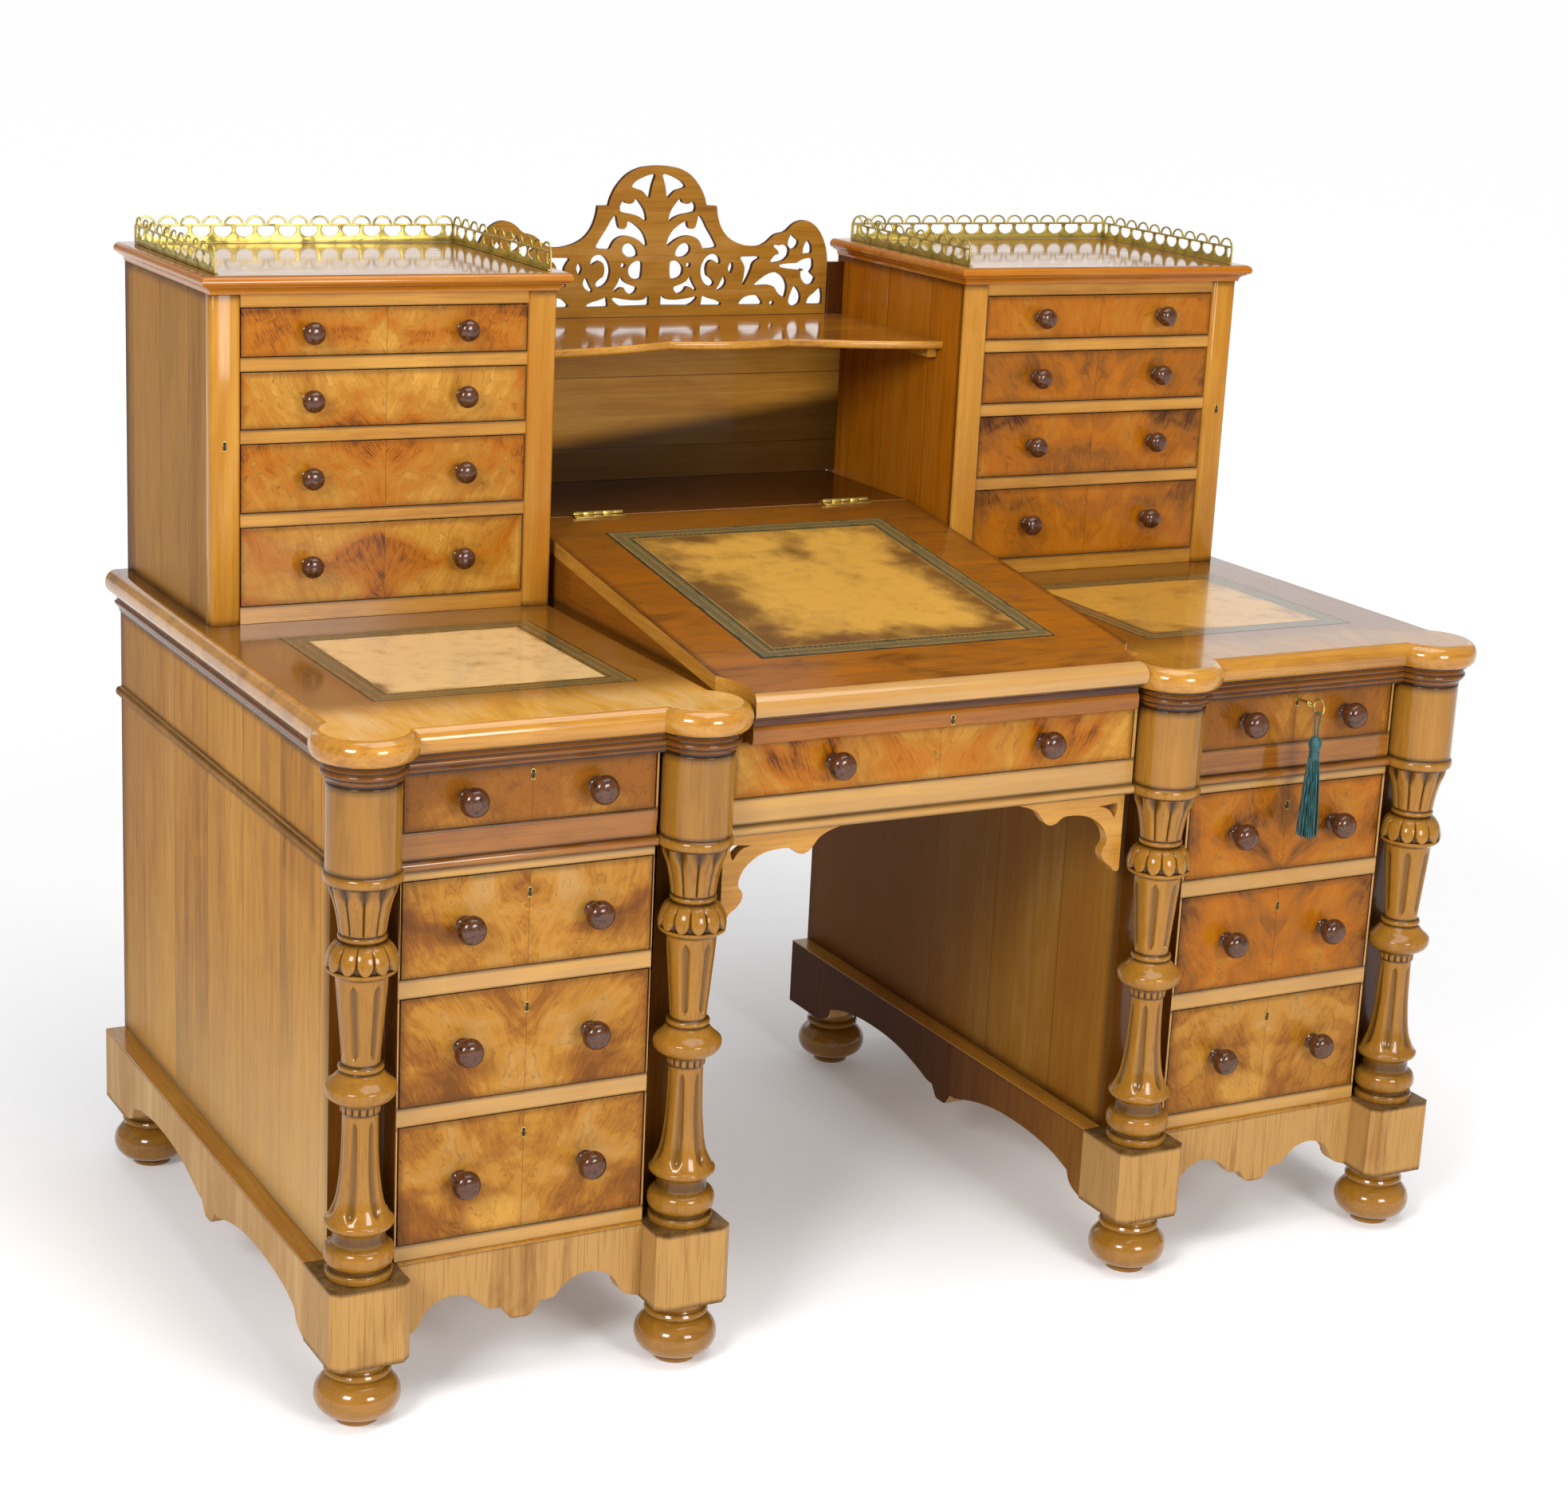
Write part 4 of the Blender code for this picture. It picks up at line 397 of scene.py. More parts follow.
def leather(name, centre, half, stretch, wear, polish, gloss, tone="tan"):
    """Tooled leather inside a rectangle: gold lines, dark border, worn middle."""
    f = Finish(name)
    across = half[0] - abs(f.x - centre[0])
    deep = half[1] - abs(f.y - centre[1]) * stretch
    edge = f.math("MINIMUM", across, deep)
    band = size("border")
    mottle = f.noise(f.scaled(f.place, (40.0, 40.0, 40.0), (0.0, 0.0, 0.0)), 6.0, 0.65, 0.4)
    patch = f.noise(f.scaled(f.place, (9.0, 9.0, 9.0), (3.0, 1.0, 0.0)), 3.0, 0.5, 0.3)
    grain = f.add("ShaderNodeTexVoronoi", None, {"Vector": f.place, "Scale": 900.0})
    smoke = f.noise(f.scaled(f.place, (21.0, 21.0, 21.0), (1.0, 4.0, 0.0)), 5.0, 0.6, 0.5)
    worn = f.smooth(edge, band - 0.010, band + wear)
    light = f.smooth(worn * 0.55 + patch * 1.9 + smoke * 0.9, 1.20, 1.92)
    field = f.mix(light, tint("hide"), f.mix(f.smooth(mottle, 0.46, 0.78) * 0.35, tint(tone), tint("hide")))
    inside = f.smooth(edge, band - 0.0012, band + 0.0012)
    shadow = f.mix(f.smooth(mottle, 0.30, 0.70) * 0.5, tint("border"), tint("hide"))
    colour = f.mix(inside, shadow, field)
    for place, width in ((0.0012, 0.0034), (band * 0.84, 0.0020)):
        colour = f.mix((1.0 - f.smooth(abs(edge - place), width * 0.6, width)) * 0.85, colour, tint("ink"))
    lines = None
    for place, width in ((0.0035, 0.0008), (0.0062, 0.0005), (band * 0.62, 0.0007), (band, 0.0009)):
        line = 1.0 - f.smooth(abs(edge - place), width * 0.4, width)
        lines = line if lines is None else f.math("MAXIMUM", lines, line)
    beads = f.math("SINE", (f.x + f.y) * 900.0) * 0.5 + 0.5
    roll = (1.0 - f.smooth(abs(edge - band * 0.80), 0.0008, 0.0016)) * f.smooth(beads, 0.45, 0.75)
    gold = f.math("MAXIMUM", lines, roll * 0.8) * f.smooth(mottle, 0.36, 0.50)
    colour = f.mix(gold * 0.55, colour, tint("gilt"))
    pebble = Value(f, grain.outputs["Distance"])
    f.relief(pebble * 0.5 + mottle * 0.6 - lines * 1.5, 0.00010, 0.45)
    return f.shade(Base_Color=colour, Roughness=mottle * 0.22 + (polish - 0.10),
                   Specular_IOR_Level=0.25, Coat_Weight=gloss, Coat_Roughness=0.07)


@once
def metal(name, polish, age, tone="brass"):
    """Brass with tarnish in soft patches."""
    f = Finish(name)
    patch = f.noise(f.scaled(f.place, (60.0, 60.0, 60.0), (0.0, 0.0, 0.0)), 4.0, 0.6, 0.4)
    scratch = f.noise(f.scaled(f.place, (900.0, 900.0, 120.0), (1.0, 2.0, 3.0)), 2.0)
    darkening = f.smooth(patch, 0.62 - age, 0.74)
    f.relief(scratch, 0.00002, 0.5)
    return f.shade(Base_Color=f.mix(darkening * 0.7, tint(tone), tint("tarnish")),
                   Roughness=darkening * 0.25 + scratch * 0.12 + (polish - 0.06), Metallic=0.85)


@once
def knob_wood(name):
    """Dark polish of the turned knobs."""
    f = Finish(name)
    veins = f.noise(f.scaled(f.place, (240.0, 60.0, 240.0), (2.0, 0.0, 1.0)), 4.0, 0.6, 0.5)
    colour = f.ramp(veins, ((0.34, tint("glaze")), (0.52, tint("knob")), (0.72, tint("cloud"))))
    f.relief(veins, 0.00003, 0.3)
    return f.shade(Base_Color=colour, Roughness=veins * 0.12 + 0.16, Specular_IOR_Level=0.15,
                   Coat_Weight=0.60, Coat_Roughness=0.06)


@once
def bare_wood(name):
    """Unpolished lining of drawers and carcasses."""
    f = Finish(name)
    veins = f.noise(f.scaled(f.place, (90.0, 3.0, 90.0), (0.0, 0.0, 0.0)), 4.0, 0.6, 0.5)
    pores = f.noise(f.scaled(f.place, (700.0, 18.0, 700.0), (0.0, 1.0, 0.0)), 1.0)
    colour = f.mix(f.smooth(veins, 0.30, 0.70) * 0.36 + 0.64, tint("shade"), tint("lining"))
    colour = f.mix(f.smooth(pores, 0.52, 0.7) * 0.3, colour, tint("umber"))
    f.relief(pores, -0.0001, 0.5)
    return f.shade(Base_Color=colour, Roughness=veins * 0.2 + 0.5)


@once
def keyhole_dark(name):
    """Shadow inside a lock."""
    f = Finish(name)
    dust = f.noise(f.scaled(f.place, (800.0, 800.0, 800.0), (0.0, 0.0, 0.0)), 3.0)
    colour = f.mix(f.smooth(dust, 0.5, 0.8), (0.004, 0.003, 0.002, 1.0), (0.02, 0.012, 0.006, 1.0))
    return f.shade(Base_Color=colour, Roughness=dust * 0.2 + 0.6)


@once
def silk(name, pitch, lay):
    """Twisted silk, finely ribbed."""
    f = Finish(name)
    twist = f.math("SINE", (f.z * lay[1] + f.x * lay[0]) * pitch) * 0.5 + 0.5
    fleck = f.noise(f.scaled(f.place, (1500.0, 1500.0, 90.0), (0.0, 0.0, 0.0)), 3.0, 0.6)
    colour = f.ramp(twist * 0.35 + fleck * 0.65, ((0.25, (0.001, 0.008, 0.009, 1.0)), (0.58, tint("silk")),
                                                (0.9, (0.05, 0.22, 0.22, 1.0))))
    f.relief(twist, 0.00012, 0.6)
    return f.shade(Base_Color=colour, Roughness=fleck * 0.25 + 0.32, Sheen_Weight=0.4, Sheen_Roughness=0.3)


# Modelling

def rest():
    """Leave edit mode, with nothing selected."""
    if bpy.context.object is not None and bpy.context.object.mode != "OBJECT":
        bpy.ops.object.mode_set(mode="OBJECT")
    bpy.ops.object.select_all(action="DESELECT")


def hold(obj):
    """Make an object the only one selected, and active."""
    rest()
    obj.select_set(True)
    bpy.context.view_layer.objects.active = obj


def edit(obj):
    """Open a mesh in edit mode with nothing in it selected."""
    hold(obj)
    bpy.ops.object.mode_set(mode="EDIT")
    bpy.ops.mesh.select_all(action="DESELECT")


def pick(obj, kind, test):
    """Select the vertices, edges or faces that pass a test, in edit mode."""
    bpy.ops.mesh.select_mode(type=kind)
    bpy.ops.mesh.select_all(action="DESELECT")
    mesh = bmesh.from_edit_mesh(obj.data)
    mesh.normal_update()
    count = 0
    for item in {"VERT": mesh.verts, "EDGE": mesh.edges, "FACE": mesh.faces}[kind]:
        if test(item):
            item.select_set(True)
            count += 1
    mesh.select_flush_mode()
    bmesh.update_edit_mesh(obj.data)
    return count


def middle(edge):
    """Middle of an edge."""
    return (edge.verts[0].co + edge.verts[1].co) / 2.0


def sharp(edge, degrees=35.0):
    """Whether an edge is a corner."""
    return len(edge.link_faces) == 2 and edge.calc_face_angle(0.0) > math.radians(degrees)


def level(edge):
    """Whether an edge lies level."""
    return abs(edge.verts[0].co.z - edge.verts[1].co.z) < 0.001


def take(name):
    """Name the new active object and its mesh."""
    obj = bpy.context.object
    obj.name = name
    obj.data.name = name
    return obj


def settle(obj):
    """Put an object's place, turn and scale into its mesh."""
    hold(obj)
    bpy.ops.object.transform_apply(location=True, rotation=True, scale=True)
    return obj


def added(name, data):
    """New object in the scene, with its mesh or curve."""
    obj = bpy.data.objects.new(name, data)
    bpy.context.scene.collection.objects.link(obj)
    return obj


def weld(obj, gap=0.000004):
    """Close a mesh's seams and turn its faces outwards."""
    edit(obj)
    bpy.ops.mesh.select_all(action="SELECT")
    bpy.ops.mesh.remove_doubles(threshold=gap)
    bpy.ops.mesh.normals_make_consistent(inside=False)
    rest()


def strand(curve, points, closed=False):
    """Add a line through points to a curve."""
    spline = curve.splines.new("POLY")
    spline.use_cyclic_u = closed
    spline.points.add(len(points) - 1)
    for point, place in zip(spline.points, points):
        point.co = (*place, 1.0)


def block(name, low, high, ease=None):
    """Cube between two corners, with its edges eased."""
    rest()
    low, high = Vector(low), Vector(high)
    bpy.ops.mesh.primitive_cube_add(size=1.0, location=(low + high) / 2.0, scale=high - low)
    obj = settle(take(name))
    ease = size("ease") if ease is None else ease
    if ease:
        edit(obj)
        bpy.ops.mesh.select_all(action="SELECT")
        bpy.ops.mesh.bevel(offset=ease, segments=2, affect="EDGES")
        rest()
    return obj


def turn(name, profile, sides, place=(0.0, 0.0, 0.0), tilt=None):
    """Piece turned on a lathe from (radius, height) points, its axis upright unless tilted."""
    rest()
    bpy.ops.mesh.primitive_plane_add(size=0.001, location=(0.0, 0.0, 0.0))
    obj = take(name)
    edit(obj)
    bpy.ops.mesh.select_mode(type="VERT")
    bpy.ops.mesh.select_all(action="SELECT")
    bpy.ops.mesh.merge(type="CENTER")
    bpy.ops.transform.translate(value=(profile[0][0], 0.0, profile[0][1]))
    for (r0, z0), (r1, z1) in zip(profile, profile[1:]):
        bpy.ops.mesh.extrude_vertices_move(TRANSFORM_OT_translate={"value": (r1 - r0, 0.0, z1 - z0)})
    bpy.ops.mesh.select_all(action="SELECT")
    bpy.ops.mesh.spin(steps=sides, angle=2.0 * math.pi, center=(0.0, 0.0, 0.0), axis=(0.0, 0.0, 1.0))
    weld(obj)
    if tilt:
        obj.rotation_euler = tilt
    obj.location = place
    return settle(obj)


def sawn(name, outline, holes, thickness, ease, place):
    """Board sawn to an outline with holes, its faces across the matrix's own Z axis."""
    rest()
    curve = bpy.data.curves.new(name, "CURVE")
    curve.dimensions = "2D"
    curve.fill_mode = "BOTH"
    curve.extrude = thickness / 2.0 - ease
    curve.bevel_depth = ease
    curve.bevel_resolution = 1
    curve.offset = -ease
    for loop in (outline, *holes):
        strand(curve, [(u, v, 0.0) for u, v in loop], closed=True)
    hold(added(name, curve))
    bpy.ops.object.convert(target="MESH")
    obj = take(name)
    weld(obj)
    obj.matrix_world = place
    return settle(obj)


def moulded(name, plan, line):
    """Slab whose edge follows a line of (inset, height), from a plan that takes an inset."""
    shell = bmesh.new()
    rings = [[shell.verts.new((x, y, z)) for x, y in plan(inset)] for inset, z in line]
    for low, high in zip(rings, rings[1:]):
        for i in range(len(low)):
            j = (i + 1) % len(low)
            shell.faces.new((low[i], low[j], high[j], high[i]))
    shell.faces.new(rings[0])
    shell.faces.new(rings[-1])
    bmesh.ops.recalc_face_normals(shell, faces=shell.faces)
    mesh = bpy.data.meshes.new(name)
    shell.to_mesh(mesh)
    shell.free()
    return added(name, mesh)


def upright(y, x=0.0, z=0.0):
    """Matrix of a board that stands facing the front: its own X across, its own Y up."""
    return Matrix.Translation((x, y, z)) @ Matrix.Rotation(math.pi / 2.0, 4, "X")


def eased(node, name, ease=None, beads=()):
    """Copy of a frame piece, merged, with its corners eased and its beads rounded."""
    obj = added(name, NODES[node].data.copy())
    obj.data.name = name
    obj.data.materials.clear()
    hold(obj)
    if obj.data.has_custom_normals:
        bpy.ops.mesh.customdata_custom_splitnormals_clear()
    edit(obj)
    bpy.ops.mesh.select_all(action="SELECT")
    bpy.ops.mesh.remove_doubles(threshold=0.00002)
    bpy.ops.mesh.dissolve_limited(angle_limit=math.radians(0.6))
    for test, width, bead_steps in beads:
        if pick(obj, "EDGE", lambda e: sharp(e, 60.0) and test(e)):
            bpy.ops.mesh.bevel(offset=width, segments=bead_steps, affect="EDGES")
    ease = size("ease") if ease is None else ease
    if ease and pick(obj, "EDGE", sharp):
        bpy.ops.mesh.bevel(offset=ease, segments=2, affect="EDGES", clamp_overlap=True)
    rest()
    return obj


def copy_of(obj, name, matrix):
    """Copy of a piece with its own mesh, moved or mirrored by a matrix."""
    mesh = obj.data.copy()
    mesh.name = name
    mesh.transform(matrix)
    if matrix.determinant() < 0.0:
        mesh.flip_normals()
    return added(name, mesh)


def fuse(name, pieces):
    """Join pieces into one object."""
    hold(pieces[0])
    for piece in pieces:
        piece.select_set(True)
    if len(pieces) > 1:
        bpy.ops.object.join()
    return take(name)


def carve(obj, cutter):
    """Cut one piece out of another."""
    cut = obj.modifiers.new("cut", "BOOLEAN")
    cut.operation = "DIFFERENCE"
    cut.solver = "EXACT"
    cut.object = cutter
    hold(obj)
    bpy.ops.object.modifier_apply(modifier=cut.name)
    bpy.data.objects.remove(cutter, do_unlink=True)
    return obj


def paint(obj, rules):
    """Give each face the material of the first rule that its middle and normal pass."""
    for material, _ in rules:
        obj.data.materials.append(material)
    for face in obj.data.polygons:
        face.material_index = next(i for i, (_, test) in enumerate(rules) if test(face.center, face.normal))


def fit(obj, material, body, nodes=(), angle=35.0, flats=False):
    """Shade a finished piece, give it its material and body, and let it stand for CAD nodes."""
    hold(obj)
    bpy.ops.object.shade_smooth_by_angle(angle=math.radians(angle))
    if flats:
        even = obj.modifiers.new("even", "WEIGHTED_NORMAL")
        even.keep_sharp = True
        bpy.ops.object.modifier_apply(modifier=even.name)
    if material is not None:
        obj.data.materials.clear()
        obj.data.materials.append(material)
    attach(obj, body)
    if nodes:
        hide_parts(*nodes)
    return obj


def oval(centre, across, up, angles):
    """Points of an oval line, at degrees from its top."""
    return [(centre[0] + across * math.sin(math.radians(a)), centre[1] + up * math.cos(math.radians(a)))
            for a in angles]


def arc(centre, radius, start, end, steps):
    """Points of an arc, in degrees."""
    return [(centre[0] + radius * math.cos(math.radians(start + (end - start) * i / steps)),
             centre[1] + radius * math.sin(math.radians(start + (end - start) * i / steps)))
            for i in range(steps + 1)]


def curve_through(points, steps):
    """Smooth line through points."""
    ends = [points[0], *points, points[-1]]
    line = []
    for a, b, c, d in zip(ends, ends[1:], ends[2:], ends[3:]):
        for i in range(steps):
            t = i / steps
            line.append(tuple(0.5 * (2.0 * q + (r - p) * t + (2.0 * p - 5.0 * q + 4.0 * r - s) * t * t
                                     + (3.0 * q - p - 3.0 * r + s) * t * t * t)
                              for p, q, r, s in zip(a, b, c, d)))
    return [*line, points[-1]]


def soft_step(value, low, high):
    """Soft step from 0 at low to 1 at high."""
    t = min(max((value - low) / (high - low), 0.0), 1.0)
    return t * t * (3.0 - 2.0 * t)


# Stage

class DeskStage(bpy.types.Operator):
    """Set the camera, the pale floor and the studio lights"""

    bl_idname = "desk.stage"
    bl_label = "Stage"

    AMBIENT = 0.36              # strength of the backdrop as a light
    AIM = (0.0, 0.0, 0.6)

    # Name, place, watts, width and height
    SOFTBOXES = (("left_softbox", (-3.4, -2.6, 2.7), 135.0, 1.3, 1.3),
                 ("right_softbox", (0.5, -4.2, 1.9), 100.0, 1.3, 1.3),
                 ("top_softbox", (0.2, -0.6, 3.6), 75.0, 2.4, 2.4),
                 ("back_softbox", (3.6, 7.0, 3.2), 95.0, 12.0, 3.0))

    def execute(self, context):
        self.camera(context)
        self.floor()
        self.backdrop(context.scene)
        self.lights(context)
        return {"FINISHED"}

    def camera(self, context):
        """Camera solved from the photograph."""
        yaw, pitch, roll = (math.radians(v) for v in (CAMERA_YAW, CAMERA_PITCH, CAMERA_ROLL))
        right = Vector((math.cos(yaw), -math.sin(yaw), 0.0))
        ahead = Vector((math.sin(yaw) * math.cos(pitch), math.cos(yaw) * math.cos(pitch), -math.sin(pitch)))
        up = right.cross(ahead)
        across = math.cos(roll) * right + math.sin(roll) * up
        top = math.cos(roll) * up - math.sin(roll) * right
        rest()
        bpy.ops.object.camera_add()
        camera = context.object
        camera.name = "photo_camera"
        camera.data.sensor_fit = "HORIZONTAL"
        camera.data.sensor_width = SENSOR_MM
        camera.data.lens = FOCAL_PIXELS / IMAGE_WIDTH * SENSOR_MM
        camera.data.clip_end = 1000.0
        turned = Matrix((across, top, -ahead)).transposed().to_4x4()
        camera.matrix_world = Matrix.Translation(CAMERA_PLACE) @ turned
        context.scene.camera = camera

    def floor(self):
        """Pale floor that brightens away from the desk."""
        bpy.ops.mesh.primitive_grid_add(x_subdivisions=8, y_subdivisions=8, size=600.0)
        floor = take("studio_floor")
        f = Finish("studio_floor")
        cloud = f.noise(f.scaled(f.place, (1.5, 1.5, 1.5), (0.0, 0.0, 0.0)), 2.0)
        far = f.smooth(f.math("SQRT", f.x * f.x + f.y * f.y), 0.8, 5.0)
        glow = f.mix(far, (0.13, 0.13, 0.13, 1.0), (0.67, 0.67, 0.68, 1.0))
        pale = f.shade(Base_Color=tint("floor"), Roughness=cloud * 0.1 + 0.5, Specular_IOR_Level=0.1,
                       Emission_Color=glow, Emission_Strength=1.0)
        floor.data.materials.append(pale)

    def backdrop(self, scene):
        """White to the eye, and dimmer as a light."""
        scene.view_settings.view_transform = "Standard"
        scene.world = scene.world or bpy.data.worlds.new("studio")
        scene.world.use_nodes = True
        sky = next(n for n in scene.world.node_tree.nodes if n.type == "BACKGROUND")
        sky.inputs["Color"].default_value = (1.0, 1.0, 1.0, 1.0)
        nodes, links = scene.world.node_tree.nodes, scene.world.node_tree.links
        seen = nodes.new("ShaderNodeLightPath")
        strength = nodes.new("ShaderNodeMath")
        strength.operation = "MULTIPLY_ADD"
        links.new(seen.outputs["Is Camera Ray"], strength.inputs[0])
        strength.inputs[1].default_value = 1.0 - self.AMBIENT
        strength.inputs[2].default_value = self.AMBIENT
        links.new(strength.outputs[0], sky.inputs["Strength"])

    def lights(self, context):
        """Soft boxes round the desk."""
        for name, place, power, wide, tall in self.SOFTBOXES:
            bpy.ops.object.light_add(type="AREA", location=place)
            light = context.object
            light.name = name
            light.data.energy = power
            light.data.shape = "RECTANGLE"
            light.data.size = wide
            light.data.size_y = tall
            aim = Vector(self.AIM) - Vector(place)
            light.rotation_euler = aim.to_track_quat("-Z", "Y").to_euler()


# Key and tassel

class DeskTassel(bpy.types.Operator):
    """Model the key in the right frieze drawer, its silk cord and the tassel"""

    bl_idname = "desk.tassel"
    bl_label = "Key and tassel"

    BOW_R = 0.0095
    BOW_WIRE = 0.0018           # half the thickness of the solid's bow
    DROP = 0.036                # key's axis to the tassel's head
    GOLDEN = 2.399963           # turn between one thread and the next

    def execute(self, context):
        self.cord()
        self.key()
        self.tassel()
        return {"FINISHED"}

    def cord(self):
        """Looped cord, on the route of its solid."""
        radius = size("cord") / 2.0
        over = self.BOW_WIRE + 0.0003 + radius - self.BOW_R
        end = 0.0003 - self.DROP
        foot = -self.BOW_R - self.BOW_WIRE
        half = [(-0.0024, end), (-0.0024, end * 0.75), (-0.0042, foot), (-0.0042, over - radius)]
        route = [*half, (0.0, over), *[(-u, v) for u, v in reversed(half)]]
        line = [Vector((PEDESTAL_X + u, KEY_Y, KEY_Z + v)) for u, v in curve_through(route, 4)]
        curve = bpy.data.curves.new("silk_cord", "CURVE")
        curve.dimensions = "3D"
        curve.bevel_depth = radius
        curve.bevel_resolution = 3
        curve.use_fill_caps = True
        strand(curve, line)
        obj = added("silk_cord", curve)
        curve.materials.append(silk("cord_silk", 6000.0, (1.4, 1.0)))
        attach(obj, "tassel")
        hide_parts("tassel_cord")
        2.0 * radius

    def key(self):
        """Ring bow, collars and shank."""
        brass = metal("key_metal", 0.22, 0.10)
        rest()
        bpy.ops.mesh.primitive_torus_add(major_radius=self.BOW_R, minor_radius=0.0017, major_segments=48,
                                         minor_segments=14, location=(PEDESTAL_X, KEY_Y, KEY_Z),
                                         rotation=(0.0, math.pi / 2.0, 0.0))
        bow = settle(take("key_bow"))
        edit(bow)
        pick(bow, "VERT", lambda v: abs(v.co.x - PEDESTAL_X) > 0.0010)
        bpy.ops.transform.resize(value=(0.82, 1.0, 1.0), center_override=(PEDESTAL_X, KEY_Y, KEY_Z))
        rest()
        profile = [(0.0, 0.0), (0.0021, 0.0), (0.0021, 0.036), (0.0024, 0.0363), (0.0034, 0.0368),
                   (0.0034, 0.0382), (0.0024, 0.0387), (0.0024, 0.0400), (0.0031, 0.0404), (0.0031, 0.0418),
                   (0.0021, 0.0424), (0.0018, 0.0458), (0.0, 0.0462)]
        shank = turn("key_shank", profile, 20, (PEDESTAL_X, FRONT_Y + 0.0135, KEY_Z),
                     (math.pi / 2.0, 0.0, 0.0))
        fit(fuse("brass_key", [bow, shank]), brass, "drawer_key", ["drawer_key"])

    def tassel(self):
        """Wound head, bound neck and a skirt of threads."""
        top = KEY_Z - self.DROP
        head = [(0.0, 0.0), (0.0030, -0.0002), (0.0058, -0.0022), (0.0078, -0.0056), (0.0083, -0.0092),
                (0.0076, -0.0138), (0.0060, -0.0176), (0.0058, -0.0190), (0.0066, -0.0196),
                (0.0068, -0.0208), (0.0062, -0.0216), (0.0068, -0.0224), (0.0068, -0.0236),
                (0.0062, -0.0244), (0.0066, -0.0256), (0.0060, -0.0300), (0.0, -0.0310)]
        knob = turn("tassel_head", head, 48, (PEDESTAL_X, KEY_Y, top))
        fit(knob, silk("head_silk", 4200.0, (0.3, 1.0)), "tassel", ["key_tassel"], 60.0)
        curve = bpy.data.curves.new("tassel_skirt", "CURVE")
        curve.dimensions = "3D"
        curve.bevel_depth = 0.00062
        curve.bevel_resolution = 0
        curve.use_fill_caps = True
        count = size("threads")
        for i in range(count):
            ring = math.sqrt((i + 0.5) / count)
            angle = self.GOLDEN * i
            swing = 0.5 + 0.5 * math.sin(12.9898 * i)
            reach = [r * ring for r in (0.0052, 0.0066, 0.0092, 0.0116, 0.0126 + 0.0012 * swing)]
            drop = (-0.022, -0.030, -0.055, -0.092, -0.1215 - 0.0055 * (1.0 - swing * ring))
            twist = 0.10 * math.sin(7.7 * i)
            turns = [angle + twist * k for k in range(len(reach))]
            strand(curve, [(PEDESTAL_X + r * math.cos(a), KEY_Y + r * math.sin(a), top + z)
                           for a, r, z in zip(turns, reach, drop)])
        hold(added("tassel_skirt", curve))
        bpy.ops.object.convert(target="MESH")
        skirt = take("tassel_skirt")
        weld(skirt, 0.000002)
        fit(skirt, silk("skirt_silk", 2400.0, (1.0, 0.05)), "tassel", (), 60.0)


# Feet, plinths and columns

class DeskFeet(bpy.types.Operator):
    """Turn the bun feet"""

    bl_idname = "desk.feet"
    bl_label = "Bun feet"

    def execute(self, context):
        bun = curve_through([(0.0270, 0.0100), (0.0380, 0.0135), (0.0448, 0.0210), (0.0474, 0.0310),
                             (0.0452, 0.0420), (0.0385, 0.0505), (0.0320, 0.0545)], 5)
        neck = [(0.0312, 0.0548), (0.0312, 0.0560), (0.0345, 0.0566), (0.0362, 0.0590), (0.0366, 0.0612),
                (0.0352, 0.0638), (0.0318, 0.0650), (0.0312, 0.0660), (0.0330, 0.0700), (0.0338, 0.0760),
                (0.0338, 0.0779), (0.0, 0.0779)]
        pad = [(0.0, 0.0), (0.0225, 0.0), (0.0238, 0.0010), (0.0238, 0.0050), (0.0228, 0.0062),
               (0.0228, 0.0090)]
        model = turn("bun_foot", [*pad, *bun, *neck], 64)
        finish = walnut("foot_walnut", ACROSS, 2.0, ("umber", "russet", "honey"), polish=0.16, gloss=0.6)
        for side, _ in SIDES:
            for place in ("inner", "outer"):
                for end in ("front", "back"):
                    node = f"foot_{side}_{place}_{end}"
                    low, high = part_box(node)
                    spot = Matrix.Translation(((low.x + high.x) / 2.0, (low.y + high.y) / 2.0, 0.0))
                    fit(copy_of(model, f"bun_{side}_{place}_{end}", spot), finish, FRAME_BODY, [node])
        bpy.data.objects.remove(model, do_unlink=True)
        return {"FINISHED"}


